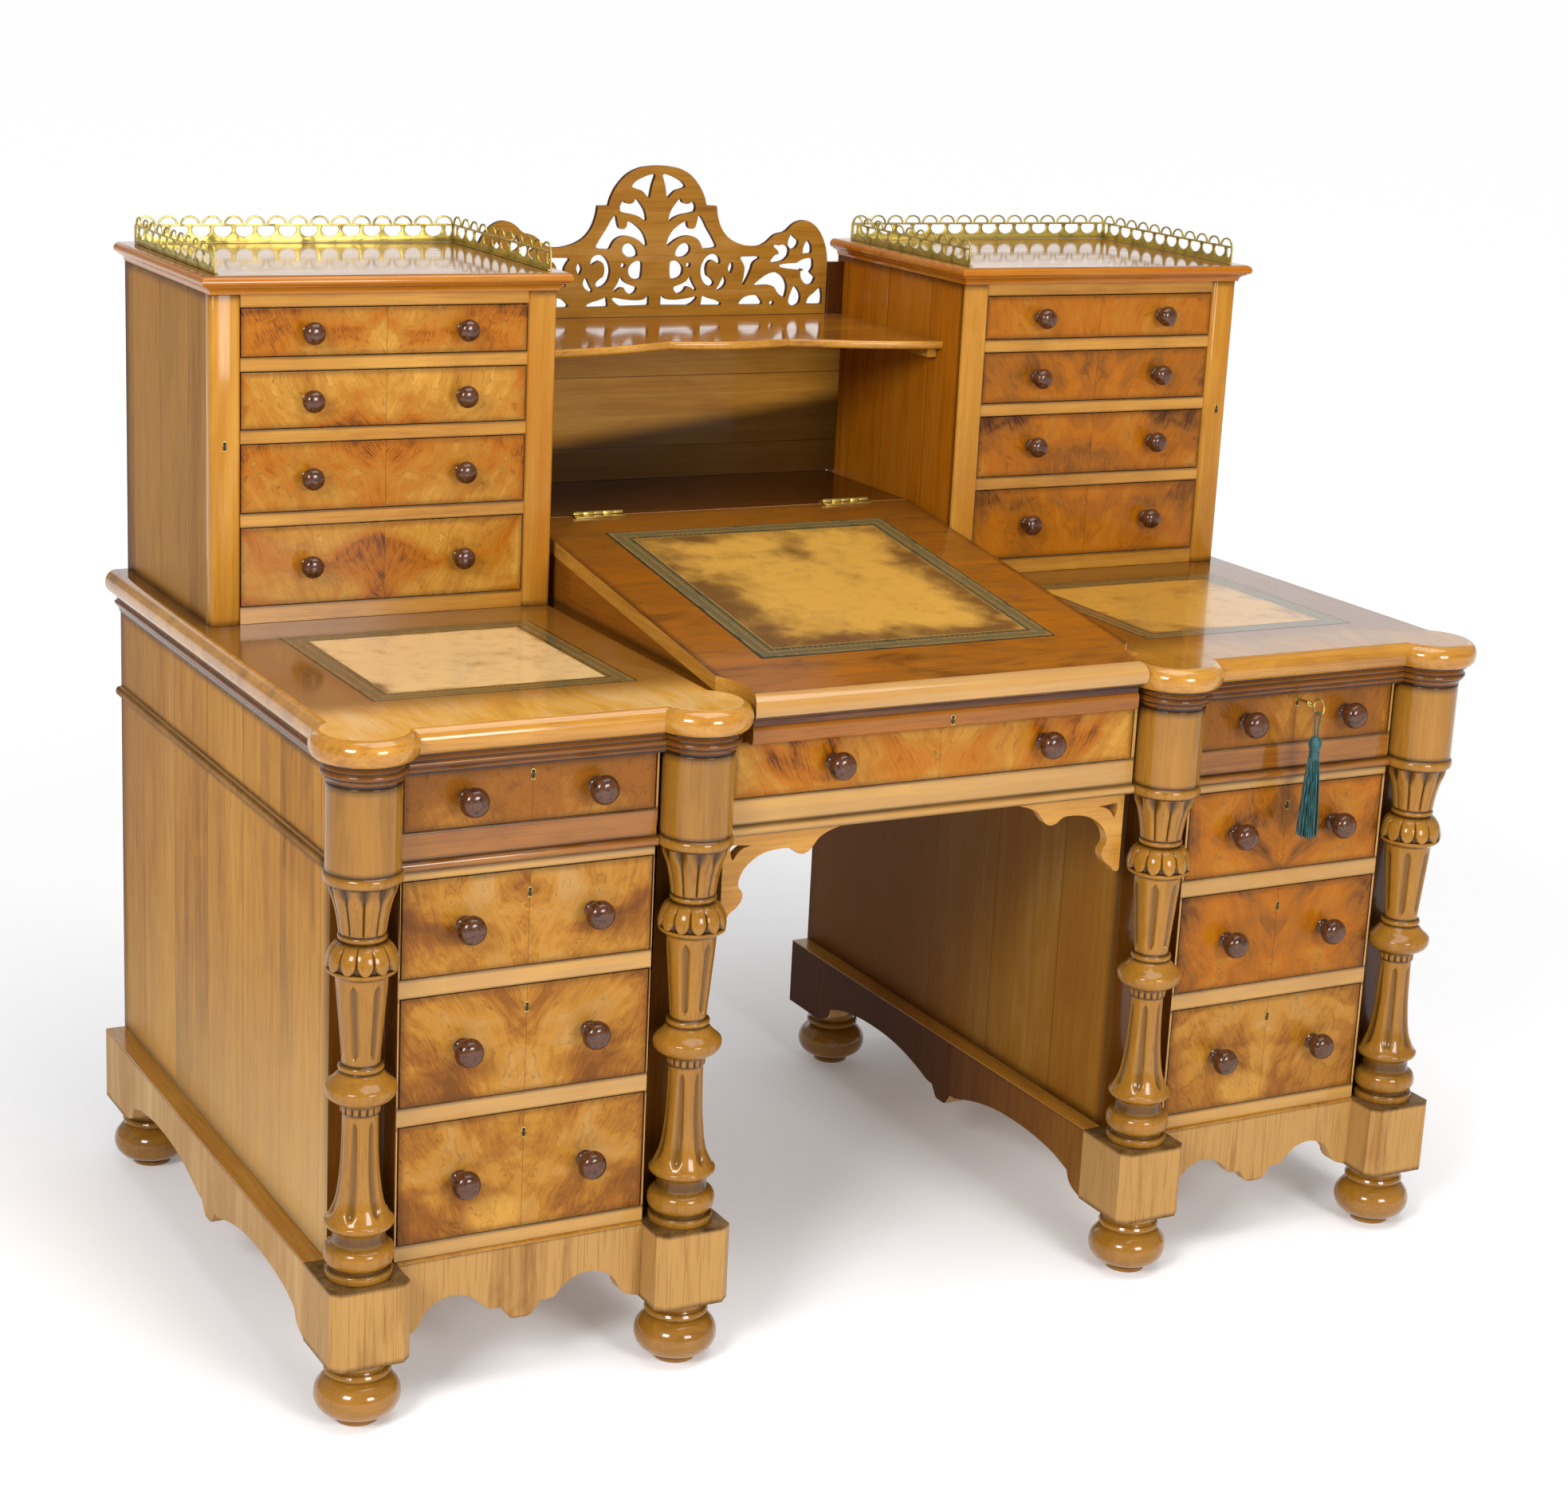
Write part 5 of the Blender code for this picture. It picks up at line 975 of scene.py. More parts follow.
class DeskPlinths(bpy.types.Operator):
    """Saw the plinths' scalloped aprons and set them between the columns' blocks"""

    bl_idname = "desk.plinths"
    bl_label = "Plinths"

    # Lower edge of an apron from its middle: the drop, a cusp, and from its end: an ogee foot
    DROP = ((0.0, 0.0028), (0.0110, 0.0036), (0.0175, 0.0105), (0.0235, 0.0186))
    CUSP = ((0.0235, 0.0186), (0.0330, 0.0190), (0.0405, 0.0204))
    ARCH = ((0.0, 0.0204), (0.10, 0.0285), (0.24, 0.0370), (0.41, 0.0425), (0.64, 0.0428), (0.86, 0.0362),
            (1.0, 0.0256))
    FOOT = ((0.0303, 0.0256), (0.0258, 0.0150), (0.0160, 0.0072), (0.0, 0.0024))
    HEIGHT = 0.0920
    FOOT_Z = 0.0783
    BLOCK = 0.0455              # half a column's block
    CANT = 0.010                # canted corner of a block
    FRONT = 0.020               # thickness of a front apron
    SIDE = 0.034
    BEAM_Y = 0.3409             # front of the back beam
    EASE = 0.0012

    def edge(self, half):
        """Outline of an apron of a half length."""
        start, end = self.CUSP[-1][0], half - self.FOOT[0][0]
        run = curve_through(self.DROP, 4)[:-1] + curve_through(self.CUSP, 2)[:-1]
        run += curve_through([(start + (end - start) * t, z) for t, z in self.ARCH], 4)[:-1]
        run += curve_through([(half - u, z) for u, z in self.FOOT], 4)
        return [*[(-u, z) for u, z in reversed(run)], *run[1:], (half, self.HEIGHT), (-half, self.HEIGHT)]

    def execute(self, context):
        # Lines of painted shade and aged dark polish at the plinth's foot and top
        shaded_rims = ((UP, self.FOOT_Z, 0.008), (UP, self.FOOT_Z + self.HEIGHT, 0.005))
        front = walnut("apron_walnut", UP, 5.0, ("umber", "straw", "straw"), 0.34, 0.15, lines=shaded_rims)
        sides = walnut("plinth_walnut", UP, 6.0, ("straw", "lining", "buff"), 0.42, 0.05, lines=shaded_rims)
        # Kneehole sides of the plinths: darker tones, and painted shade towards the back
        inner = walnut("inner_plinth_walnut", UP, 6.5, ("cloud", "shade", "russet"), 0.42, 0.05,
                       fades=(((0.0, 1.0, 0.0), -0.34, 0.16, "cloud"),), lines=shaded_rims)
        ends = walnut("block_walnut", UP, 7.0, ("umber", "straw", "straw"), 0.38, 0.1, lines=shaded_rims)
        ledge = walnut("ledge_walnut", DEEP, 8.0, ("umber", "honey", "tan"), polish=0.30)
        b, c = self.BLOCK, self.BLOCK - self.CANT
        square = [(-b, b), (-b, -c), (-c, -b), (c, -b), (b, -c), (b, b)]
        back = COLUMN_Y + b
        beam = self.BEAM_Y
        for side, sign in SIDES:
            node = f"{side}_plinth"
            low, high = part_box(node)
            boards = [sawn("front", self.edge(COLUMN_OUTER_X - PEDESTAL_X - b), [], self.FRONT, self.EASE,
                           upright(FRONT_Y + 0.004, sign * PEDESTAL_X, self.FOOT_Z))]
            quarter = Matrix.Rotation(math.pi / 2.0, 4, "Z")
            for x in (low.x + self.SIDE / 2.0, high.x - self.SIDE / 2.0):
                turned = Matrix.Translation((x, (back + beam) / 2.0, self.FOOT_Z)) @ quarter @ upright(0.0)
                outline = self.edge((beam - back) / 2.0)
                boards.append(sawn("side", outline, [], self.SIDE, self.EASE, turned))
            boards.append(block("beam", (low.x, beam, self.FOOT_Z), (high.x, high.y, high.z), self.EASE))
            frame_piece = fuse(f"{side}_plinth_frame", boards)
            paint(frame_piece, [(ledge, lambda p, n: n.z > 0.3 and p.z > high.z - 0.002),
                                (inner, lambda p, n: sign * n.x < -0.6 and abs(p.x) < KNEEHOLE_X),
                                (sides, lambda p, n: abs(n.x) > 0.6 or p.y > 0.0),
                                (front, lambda p, n: True)])
            fit(frame_piece, None, FRAME_BODY, [node], flats=True)
            plan = Matrix.Translation((0.0, COLUMN_Y, self.FOOT_Z + self.HEIGHT / 2.0))
            pair = [sawn("block", [(u + sign * x, v) for u, v in square], [], self.HEIGHT, 0.0014, plan)
                    for x in (COLUMN_INNER_X, COLUMN_OUTER_X)]
            fit(fuse(f"{side}_plinth_blocks", pair), ends, FRAME_BODY, flats=True)
        return {"FINISHED"}


class DeskColumns(bpy.types.Operator):
    """Turn and carve the four columns"""

    bl_idname = "desk.columns"
    bl_label = "Columns"

    LEAVES = 10
    PETALS = 12
    GROOVES = 6
    CAPITAL = (0.5568, 0.6108)
    COLLAR = (0.5190, 0.5478)
    UPPER = (0.4210, 0.5030)
    LOWER = (0.2420, 0.3490)
    DENTIL = (0.3580, 0.3672)
    DENTILS = 16
    GROOVE_TURN = -130.0

    # Heights of the rings of painted shade between the turnings, and how far each reaches
    QUIRKS = ((0.7210, 0.0060), (0.6262, 0.0026), (0.6122, 0.0020), (0.5566, 0.0016), (0.5486, 0.0020),
              (0.5120, 0.0016), (0.4128, 0.0016), (0.4044, 0.0016), (0.3690, 0.0026), (0.3572, 0.0016),
              (0.2165, 0.0078), (0.1822, 0.0030))

    def profile(self):
        """Profile from the drum down to the base disc."""
        line = [(0.0, 0.7210), (0.0385, 0.7210), (0.0398, 0.7203), (0.0400, 0.7195), (0.0400, 0.7160),
                (0.0400, 0.7110), (0.0400, 0.6600), (0.0400, 0.6310), (0.0400, 0.6280), (0.0400, 0.6262),
                (0.0394, 0.6252)]
        line += oval((0.0394, 0.6188), 0.0031, 0.0058, range(15, 170, 15))
        line += [(0.0390, 0.6126), (0.0372, 0.6122), (0.0366, 0.6112)]
        line += curve_through([(0.0358, 0.6106), (0.0342, 0.6030), (0.0296, 0.5880), (0.0262, 0.5720),
                               (0.0242, 0.5572)], 9)
        line += [(0.0240, 0.5566), (0.0248, 0.5560), (0.0258, 0.5548), (0.0262, 0.5532), (0.0258, 0.5514),
                 (0.0248, 0.5500), (0.0236, 0.5492), (0.0234, 0.5482)]
        line += curve_through([(0.0248, 0.5477), (0.0302, 0.5440), (0.0346, 0.5372), (0.0371, 0.5290),
                               (0.0377, 0.5215), (0.0370, 0.5186)], 7)
        line += [(0.0377, 0.5178), (0.0374, 0.5160), (0.0352, 0.5142), (0.0318, 0.5126), (0.0292, 0.5106)]
        line += curve_through([(0.0281, 0.5092), (0.0272, 0.4960), (0.0254, 0.4740), (0.0232, 0.4480),
                               (0.0212, 0.4240), (0.0206, 0.4132)], 7)
        line += [(0.0214, 0.4126), (0.0236, 0.4116), (0.0245, 0.4096), (0.0244, 0.4072), (0.0232, 0.4054),
                 (0.0226, 0.4044), (0.0232, 0.4034), (0.0246, 0.4022)]
        line += curve_through([(0.0256, 0.4010), (0.0300, 0.3958), (0.0350, 0.3916), (0.0372, 0.3894)], 5)
        line += [(0.0380, 0.3886), (0.0386, 0.3862), (0.0386, 0.3824), (0.0376, 0.3786), (0.0352, 0.3750),
                 (0.0310, 0.3718), (0.0254, 0.3694), (0.0222, 0.3682), (0.0215, 0.3672), (0.0215, 0.3640),
                 (0.0215, 0.3600), (0.0213, 0.3580), (0.0200, 0.3570)]
        line += curve_through([(0.0194, 0.3550), (0.0196, 0.3320), (0.0205, 0.3050), (0.0226, 0.2790),
                               (0.0264, 0.2560), (0.0330, 0.2400), (0.0370, 0.2350)], 7)
        line += [(0.0377, 0.2336), (0.0374, 0.2308), (0.0352, 0.2280), (0.0316, 0.2256), (0.0292, 0.2236),
                 (0.0286, 0.2206), (0.0286, 0.2130), (0.0292, 0.2096), (0.0318, 0.2082)]
        line += oval((0.0326, 0.1962), 0.0059, 0.0112, range(20, 165, 18))
        line += [(0.0330, 0.1846), (0.0326, 0.1832), (0.0326, 0.1812), (0.0352, 0.1804), (0.0364, 0.1788),
                 (0.0366, 0.1766), (0.0366, 0.1722), (0.0358, 0.1708), (0.0, 0.1708)]
        return line

    def leaf(self, angle, z):
        """Depth and painted shade of the capital's leaves."""
        t = (z - self.CAPITAL[0]) / (self.CAPITAL[1] - self.CAPITAL[0])
        share = (angle * self.LEAVES / 360.0) % 1.0
        gap = min(share, 1.0 - share)
        width = 0.060 + 0.30 * soft_step(t, 0.62, 1.0)
        cut = math.exp(-(gap / width) ** 2) * soft_step(t, -0.02, 0.06)
        rib = math.exp(-((share - 0.5) / 0.035) ** 2) * soft_step(t, 0.1, 0.3) * 0.25
        lip = 0.0012 * soft_step(t, 0.70, 0.95) * (1.0 - cut)
        return 0.0026 * cut + 0.0012 * rib - 0.0010 * math.sin(math.pi * share) - lip, max(cut, rib)

    def petal(self, angle, z):
        """Depth and painted shade of the collar's hanging petals."""
        t = (self.COLLAR[1] - z) / (self.COLLAR[1] - self.COLLAR[0])
        share = (angle * self.PETALS / 360.0) % 1.0
        off = abs(2.0 * share - 1.0)
        half = 0.94 if t < 0.45 else 0.94 * math.sqrt(max(1.0 - ((t - 0.45) / 0.55) ** 2, 0.0))
        beyond = soft_step(off - half, -0.06, 0.12)
        return 0.0034 * beyond * soft_step(t, 0.04, 0.3) - 0.0009 * (1.0 - off * off), beyond

    def groove(self, angle, z, radius, limits, narrow, wide, depth):
        """Depth and painted shade of the shaft's grooves."""
        t = (z - limits[0]) / (limits[1] - limits[0])
        step = 360.0 / self.GROOVES
        off = abs((angle - self.GROOVE_TURN + step / 2.0) % step - step / 2.0)
        half = wide + (narrow - wide) * t
        end = min(t, 1.0 - t) * (limits[1] - limits[0])
        half *= math.sqrt(min(end / 0.006, 1.0))
        away = math.radians(off) * radius
        inside = 1.0 - soft_step(away, half * 0.20, half * 1.20)
        return depth * inside, 0.6 * inside

    def dentil(self, angle):
        """Depth and painted shade of the small blocks round the neck."""
        share = (angle * self.DENTILS / 360.0) % 1.0
        gap = soft_step(abs(share - 0.5), 0.26, 0.36)
        return 0.0016 * gap, gap

    def carving(self, angle, z, radius):
        """Depth and painted shade of the carving at a place on the column."""
        if self.CAPITAL[0] <= z <= self.CAPITAL[1]:
            return self.leaf(angle, z)
        if self.COLLAR[0] <= z <= self.COLLAR[1]:
            return self.petal(angle, z)
        if self.UPPER[0] <= z <= self.UPPER[1]:
            return self.groove(angle, z, radius, self.UPPER, 0.0064, 0.0048, 0.0030)
        if self.LOWER[0] <= z <= self.LOWER[1]:
            return self.groove(angle, z, radius, self.LOWER, 0.0036, 0.0070, 0.0030)
        if self.DENTIL[0] <= z <= self.DENTIL[1]:
            return self.dentil(angle)
        return 0.0, 0.0

    def execute(self, context):
        model = turn("column", self.profile(), size("column_sides"))
        # The recess attribute holds painted shade, in the carving's hollows and the rings between the
        # turnings
        dark = model.data.attributes.new("recess", "FLOAT", "POINT")
        for i, vertex in enumerate(model.data.vertices):
            radius = math.hypot(vertex.co.x, vertex.co.y)
            if radius < 0.010:
                continue
            angle = math.degrees(math.atan2(vertex.co.y, vertex.co.x))
            depth, recess = self.carving(angle, vertex.co.z, radius)
            line = max(math.exp(-((vertex.co.z - z) / reach) ** 2) for z, reach in self.QUIRKS)
            dark.data[i].value = min(max(recess, 0.95 * line), 1.0)
            vertex.co.x *= (radius - depth) / radius
            vertex.co.y *= (radius - depth) / radius
        model.data.update()
        finish = walnut("column_walnut", UP, 9.0, ("umber", "russet", "honey"), 0.18, 0.40, carved=True)
        for side, sign in SIDES:
            for place, x in (("inner", COLUMN_INNER_X), ("outer", COLUMN_OUTER_X)):
                spot = Matrix.Translation((sign * x, COLUMN_Y, 0.0))
                fit(copy_of(model, f"{side}_{place}_column", spot), finish, FRAME_BODY,
                    [f"column_{side}_{place}"], angle=50.0)
        bpy.data.objects.remove(model, do_unlink=True)
        return {"FINISHED"}


# Carcasses

def drawer_shade_lines(row, count, reach):
    """Lines of painted shade and aged dark polish along the edges of a row of drawers."""
    boxes = [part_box(f"left_{row}_drawer_{i}") for i in range(1, count + 1)]
    return [(UP, corner.z, reach) for box in boxes for corner in box]


def rail_shade_lines():
    """Lines of painted shade and aged dark polish on the pedestals' rails."""
    return [*drawer_shade_lines("pedestal", 3, 0.0045), (UP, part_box("left_frieze_drawer")[0].z, 0.0045),
            (UP, ASTRAGAL_Z, 0.006), (UP, ASTRAGAL_TOP_Z, 0.004)]


def rail_wood():
    """Pale walnut of the rails between the drawers and over the kneehole."""
    return walnut("rail_walnut", ACROSS, 15.0, ("honey", "straw", "pale"), 0.20, 0.40, lines=rail_shade_lines())


def on_astragal(edge):
    """Whether an edge runs along the astragal."""
    return ASTRAGAL_Z - 0.0004 < middle(edge).z < ASTRAGAL_TOP_Z + 0.0004 and level(edge)


def at_back(point, normal):
    """Whether a face is on the desk's back."""
    return normal.y > 0.5 and point.y > 0.42


class DeskPedestals(bpy.types.Operator):
    """Ease and veneer the two pedestal carcasses"""

    bl_idname = "desk.pedestals"
    bl_label = "Pedestals"

    # Painted shade on the sides towards the back, and painted light on the outer sides towards the floor
    OUTER_FADES = (((0.0, 1.0, 0.35), 0.27, 0.92, "shade"), ((0.0, 0.3, 1.0), 0.54, -0.16, "buff"))
    INNER_FADES = (((0.0, 1.0, 0.0), -0.22, 0.26, "shade"),)
    OUTER_X = 0.71              # faces beyond this are the desk's ends
    RAIL_HALF = 0.1446          # half a rail between the columns' posts
    STRIP_HALF = 0.1476
    STRIP_TOP_Z = 0.6540

    def execute(self, context):
        # Lines of painted shade and aged dark polish at the carcass's joints and edges
        shaded_rims = ((UP, CARCASS_Z, 0.016), (UP, ASTRAGAL_Z, 0.010), (UP, ASTRAGAL_TOP_Z, 0.008),
                (UP, CARCASS_TOP_Z, 0.012), (DEEP, BACK_Y, 0.030), (DEEP, COLUMN_Y + 0.045, 0.020))
        for side, sign in SIDES:
            node = f"{side}_pedestal_carcass"
            bead = (lambda e: on_astragal(e)
                    and (middle(e).y < FRONT_Y - 0.005 or abs(abs(middle(e).x) - PEDESTAL_X) > 0.2165))
            obj = eased(node, f"{side}_pedestal", None, [(bead, size("bead"), 4)])
            panels = walnut(f"{side}_panel_walnut", UP, 11.0 + sign, polish=0.42, gloss=0.05,
                            boards=(DEEP, 0.128), fades=self.OUTER_FADES, lines=shaded_rims)
            # Sides in the kneehole: darker tones, and painted shade towards the back
            inner = walnut("inner_panel_walnut", UP, 14.0, ("flame", "russet", "straw"), 0.42, 0.03,
                           (DEEP, 0.150), fades=self.INNER_FADES, lines=shaded_rims)
            frieze = walnut("frieze_rail_walnut", ACROSS, 20.0, ("cloud", "flame", "honey"), 0.16, 0.5,
                            lines=rail_shade_lines())
            # Posts beside the columns, made dark for the painted shade between the columns and the carcass
            posts = walnut("post_walnut", UP, 16.0, ("cloud", "umber", "flame"))
            paint(obj, [
                (frieze, lambda p, n: p.y < FRONT_Y + 0.002 and p.z > ASTRAGAL_Z - 0.001
                 and abs(n.x) < 0.5),
                (rail_wood(), lambda p, n: p.y < FRONT_Y + 0.002
                 and abs(abs(p.x) - PEDESTAL_X) < self.RAIL_HALF),
                (panels, lambda p, n: sign * n.x > 0.5 and abs(p.x) > self.OUTER_X),
                (inner, lambda p, n: sign * n.x < -0.5 and abs(p.x) < KNEEHOLE_X),
                (panels, at_back),
                (posts, lambda p, n: p.y < COLUMN_Y + 0.065),
                (bare_wood("bare_wood"), lambda p, n: True)])
            fit(obj, None, FRAME_BODY, [node], flats=True)
            x = sign * PEDESTAL_X
            strip = block(f"{side}_frieze_strip", (x - self.STRIP_HALF, FRONT_Y - 0.0006, ASTRAGAL_TOP_Z),
                          (x + self.STRIP_HALF, FRONT_Y + 0.0020, self.STRIP_TOP_Z), 0.0004)
            fit(strip, frieze, FRAME_BODY, (), flats=True)
        return {"FINISHED"}


class DeskCentre(bpy.types.Operator):
    """Ease the centre carcass and its kneehole brackets"""

    bl_idname = "desk.centre"
    bl_label = "Centre carcass and brackets"

    LOCK_RAIL_Z = 0.7214
    WALL_X = 0.262              # outer sides of the slope's walls
    STRIP = (0.19, 0.80)        # front and foot of the strip behind the lid

    # Sawn edge of the right bracket, across and up: a wave to its cusp, a hollow, and a curled toe
    WAVE = ((0.0925, 0.6124), (0.1030, 0.6108), (0.1200, 0.6078), (0.1354, 0.6030), (0.1460, 0.5970),
            (0.1520, 0.5898), (0.1580, 0.5828), (0.1663, 0.5797), (0.1738, 0.5817))
    HOLLOW = ((0.1738, 0.5817), (0.1800, 0.5866), (0.1878, 0.5890), (0.2051, 0.5882), (0.2192, 0.5847),
              (0.2320, 0.5774), (0.2416, 0.5674), (0.2462, 0.5562), (0.2456, 0.5486))
    TOE = ((0.2456, 0.5486), (0.2408, 0.5416), (0.2414, 0.5335), (0.2480, 0.5248), (0.2556, 0.5196),
           (0.2590, 0.5150), (0.2635, 0.5128), (0.2670, 0.5138))
    EYE = ((0.2330, 0.5965), (0.2426, 0.5942), (0.2505, 0.5884), (0.2552, 0.5815), (0.2578, 0.5895),
           (0.2580, 0.5984), (0.2460, 0.5978))

    def execute(self, context):
        bead = (lambda e: on_astragal(e) and middle(e).y < FRONT_Y - 0.005)
        lock_rail = (lambda e: middle(e).y < FRONT_Y - 0.015
                     and abs(e.verts[0].co.x - e.verts[1].co.x) > 0.1)
        obj = eased("centre_carcass", "centre_frame", None,
                    [(bead, size("bead"), 4), (lock_rail, 0.0050, 4)])
        lock_wood = walnut("lock_rail_walnut", ACROSS, 17.0, ("cloud", "flame", "amber"), polish=0.18)
        # Painted shade where the slope's walls meet the flat tops
        slope = walnut("slope_walnut", DEEP, 18.0, ("cloud", "flame", "amber"), lines=((UP, TOP_Z, 0.012),))
        # The strip behind the lid, under the shelf, is made dark for painted shade
        strip = walnut("strip_walnut", ACROSS, 19.0, ("glaze", "cloud", "umber"), polish=0.14)
        paint(obj, [
            (lock_wood, lambda p, n: p.y < FRONT_Y + 0.004 and p.z > self.LOCK_RAIL_Z),
            (rail_wood(), lambda p, n: p.y < FRONT_Y + 0.004),
            (strip, lambda p, n: n.z > 0.5 and p.y > self.STRIP[0] and p.z > self.STRIP[1]),
            (slope, lambda p, n: abs(n.x) > 0.5 and abs(p.x) > self.WALL_X),
            (lock_wood, at_back),
            (bare_wood("bare_wood"), lambda p, n: True)])
        fit(obj, None, FRAME_BODY, ["centre_carcass"], flats=True)
        finish = walnut("bracket_walnut", ACROSS, 21.0, ("umber", "honey", "pale"))
        wave = [*curve_through(self.WAVE, 4)[:-1], *curve_through(self.HOLLOW, 4)[:-1],
                *curve_through(self.TOE, 4), (0.2680, 0.5160), (0.2680, 0.6124)]
        eye = curve_through(self.EYE, 2)
        for side, sign in SIDES:
            node = f"{side}_kneehole_bracket"
            low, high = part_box(node)
            flip = Matrix.Scale(sign, 4, (1.0, 0.0, 0.0))
            plate = sawn("bracket", wave, [eye], high.y - low.y, 0.0010, upright((low.y + high.y) / 2.0))
            fit(copy_of(plate, f"{side}_bracket", flip), finish, FRAME_BODY, [node], flats=True)
            bpy.data.objects.remove(plate, do_unlink=True)
        return {"FINISHED"}


# Plan of the right flat top: its caps' radius and its straight edges
CAP_R = 0.058
TOP_INNER_X = 0.2745
TOP_OUTER_X = 0.73525
TOP_FRONT_Y = -0.395


def top_outline(sign, inset):
    """Plan of a flat top with round caps over its columns, drawn in by an inset."""
    radius = CAP_R - inset
    inner, outer, front = TOP_INNER_X + inset, TOP_OUTER_X - inset, TOP_FRONT_Y + inset
    start = math.degrees(math.acos((inner - COLUMN_INNER_X) / radius))
    end = math.degrees(math.acos((outer - COLUMN_OUTER_X) / radius))
    dip = math.degrees(math.asin((front - COLUMN_Y) / radius))
    plan = [(inner, BACK_Y), *arc((COLUMN_INNER_X, COLUMN_Y), radius, start, 360.0 + dip, 40),
            *arc((COLUMN_OUTER_X, COLUMN_Y), radius, 180.0 - dip, 360.0 + end, 40), (outer, BACK_Y)]
    return [(sign * x, y) for x, y in plan]


class DeskFlatTops(bpy.types.Operator):
    """Mould the two flat tops and lay their leathers"""

    bl_idname = "desk.flat_tops"
    bl_label = "Flat tops"

    # Painted shade in the hollows of the moulding: below the first height, and about the others
    SOFFIT_Z = 0.7250
    QUIRKS = ((0.7292, 0.0009), (0.7371, 0.0010), (0.7448, 0.0009))
    UNDER_Z = 0.7444            # top of the under-moulding

    def moulding(self):
        """Insets and heights of the edge, from the carcass up to the surface."""
        line = [(0.0174, 0.7216), (0.0174, 0.7240), (0.0166, 0.7262), (0.0150, 0.7280), (0.0140, 0.7286),
                (0.0140, 0.7298), (0.0124, 0.7306), (0.0114, 0.7322), (0.0114, 0.7340), (0.0124, 0.7356),
                (0.0142, 0.7364), (0.0142, 0.7376), (0.0138, 0.7392), (0.0122, 0.7416), (0.0098, 0.7434),
                (0.0086, 0.7440), (0.0086, 0.7456)]
        line += oval((0.0086, 0.7590), -0.0086, -0.0132, range(10, 91, 10))
        line += oval((0.0140, 0.7594), -0.0140, 0.0151, range(90, -1, -9))
        return line

    def in_quirk(self, z):
        """Whether a height is in one of the moulding's hollows."""
        return z < self.SOFFIT_Z or any(abs(z - place) < reach for place, reach in self.QUIRKS)

    def execute(self, context):
        for side, sign in SIDES:
            obj = moulded(f"{side}_top", lambda inset: top_outline(sign, inset), self.moulding())
            low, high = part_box(f"{side}_top_leather")
            grow = Vector((0.0003, 0.0003, 0.0003))
            carve(obj, block("recess", low - grow, high + grow + Vector((0.0, 0.0, 0.01)), 0.0))
            edges = walnut("top_edge_walnut", ACROSS, 23.0, ("umber", "honey", "pale"), 0.16, 0.6)
            # Painted reflection: the left field's paler tones, and each field lighter along its front and
            # darker behind
            tones = ("honey", "pale", "buff") if side == "left" else ("umber", "russet", "honey")
            field = walnut(f"{side}_field_walnut", DEEP, 24.0, tones, 0.11, 0.4, curl=0.6,
                           fades=(((0.0, 1.0, 0.0), -0.350, -0.260, "umber"),))
            # Painted shade under the slab and in the moulding's hollows
            under = walnut("under_top_walnut", ACROSS, 25.0, ("cloud", "umber", "flame"), polish=0.20)
            quirk = walnut("quirk_walnut", ACROSS, 25.0, ("glaze", "glaze", "cloud"))
            paint(obj, [(field, lambda p, n: n.z > 0.97 and p.z > 0.77),
                        (quirk, lambda p, n: self.in_quirk(p.z)),
                        (under, lambda p, n: p.z < self.UNDER_Z), (edges, lambda p, n: True)])
            fit(obj, None, FRAME_BODY, [f"{side}_flat_top"], flats=True)
            pad = block(f"{side}_writing_leather", low, high + Vector((0.0, 0.0, 0.0001)), 0.0004)
            centre, half = (low + high) / 2.0, (high - low) / 2.0
            # The left leather's paler tone is painted reflection
            hide = leather(f"{side}_top_leather", centre, half, 1.0, 0.012, 0.24, 0.4,
                           "buff" if side == "left" else "tan")
            fit(pad, hide, FRAME_BODY, [f"{side}_top_leather"], flats=True)
        return {"FINISHED"}


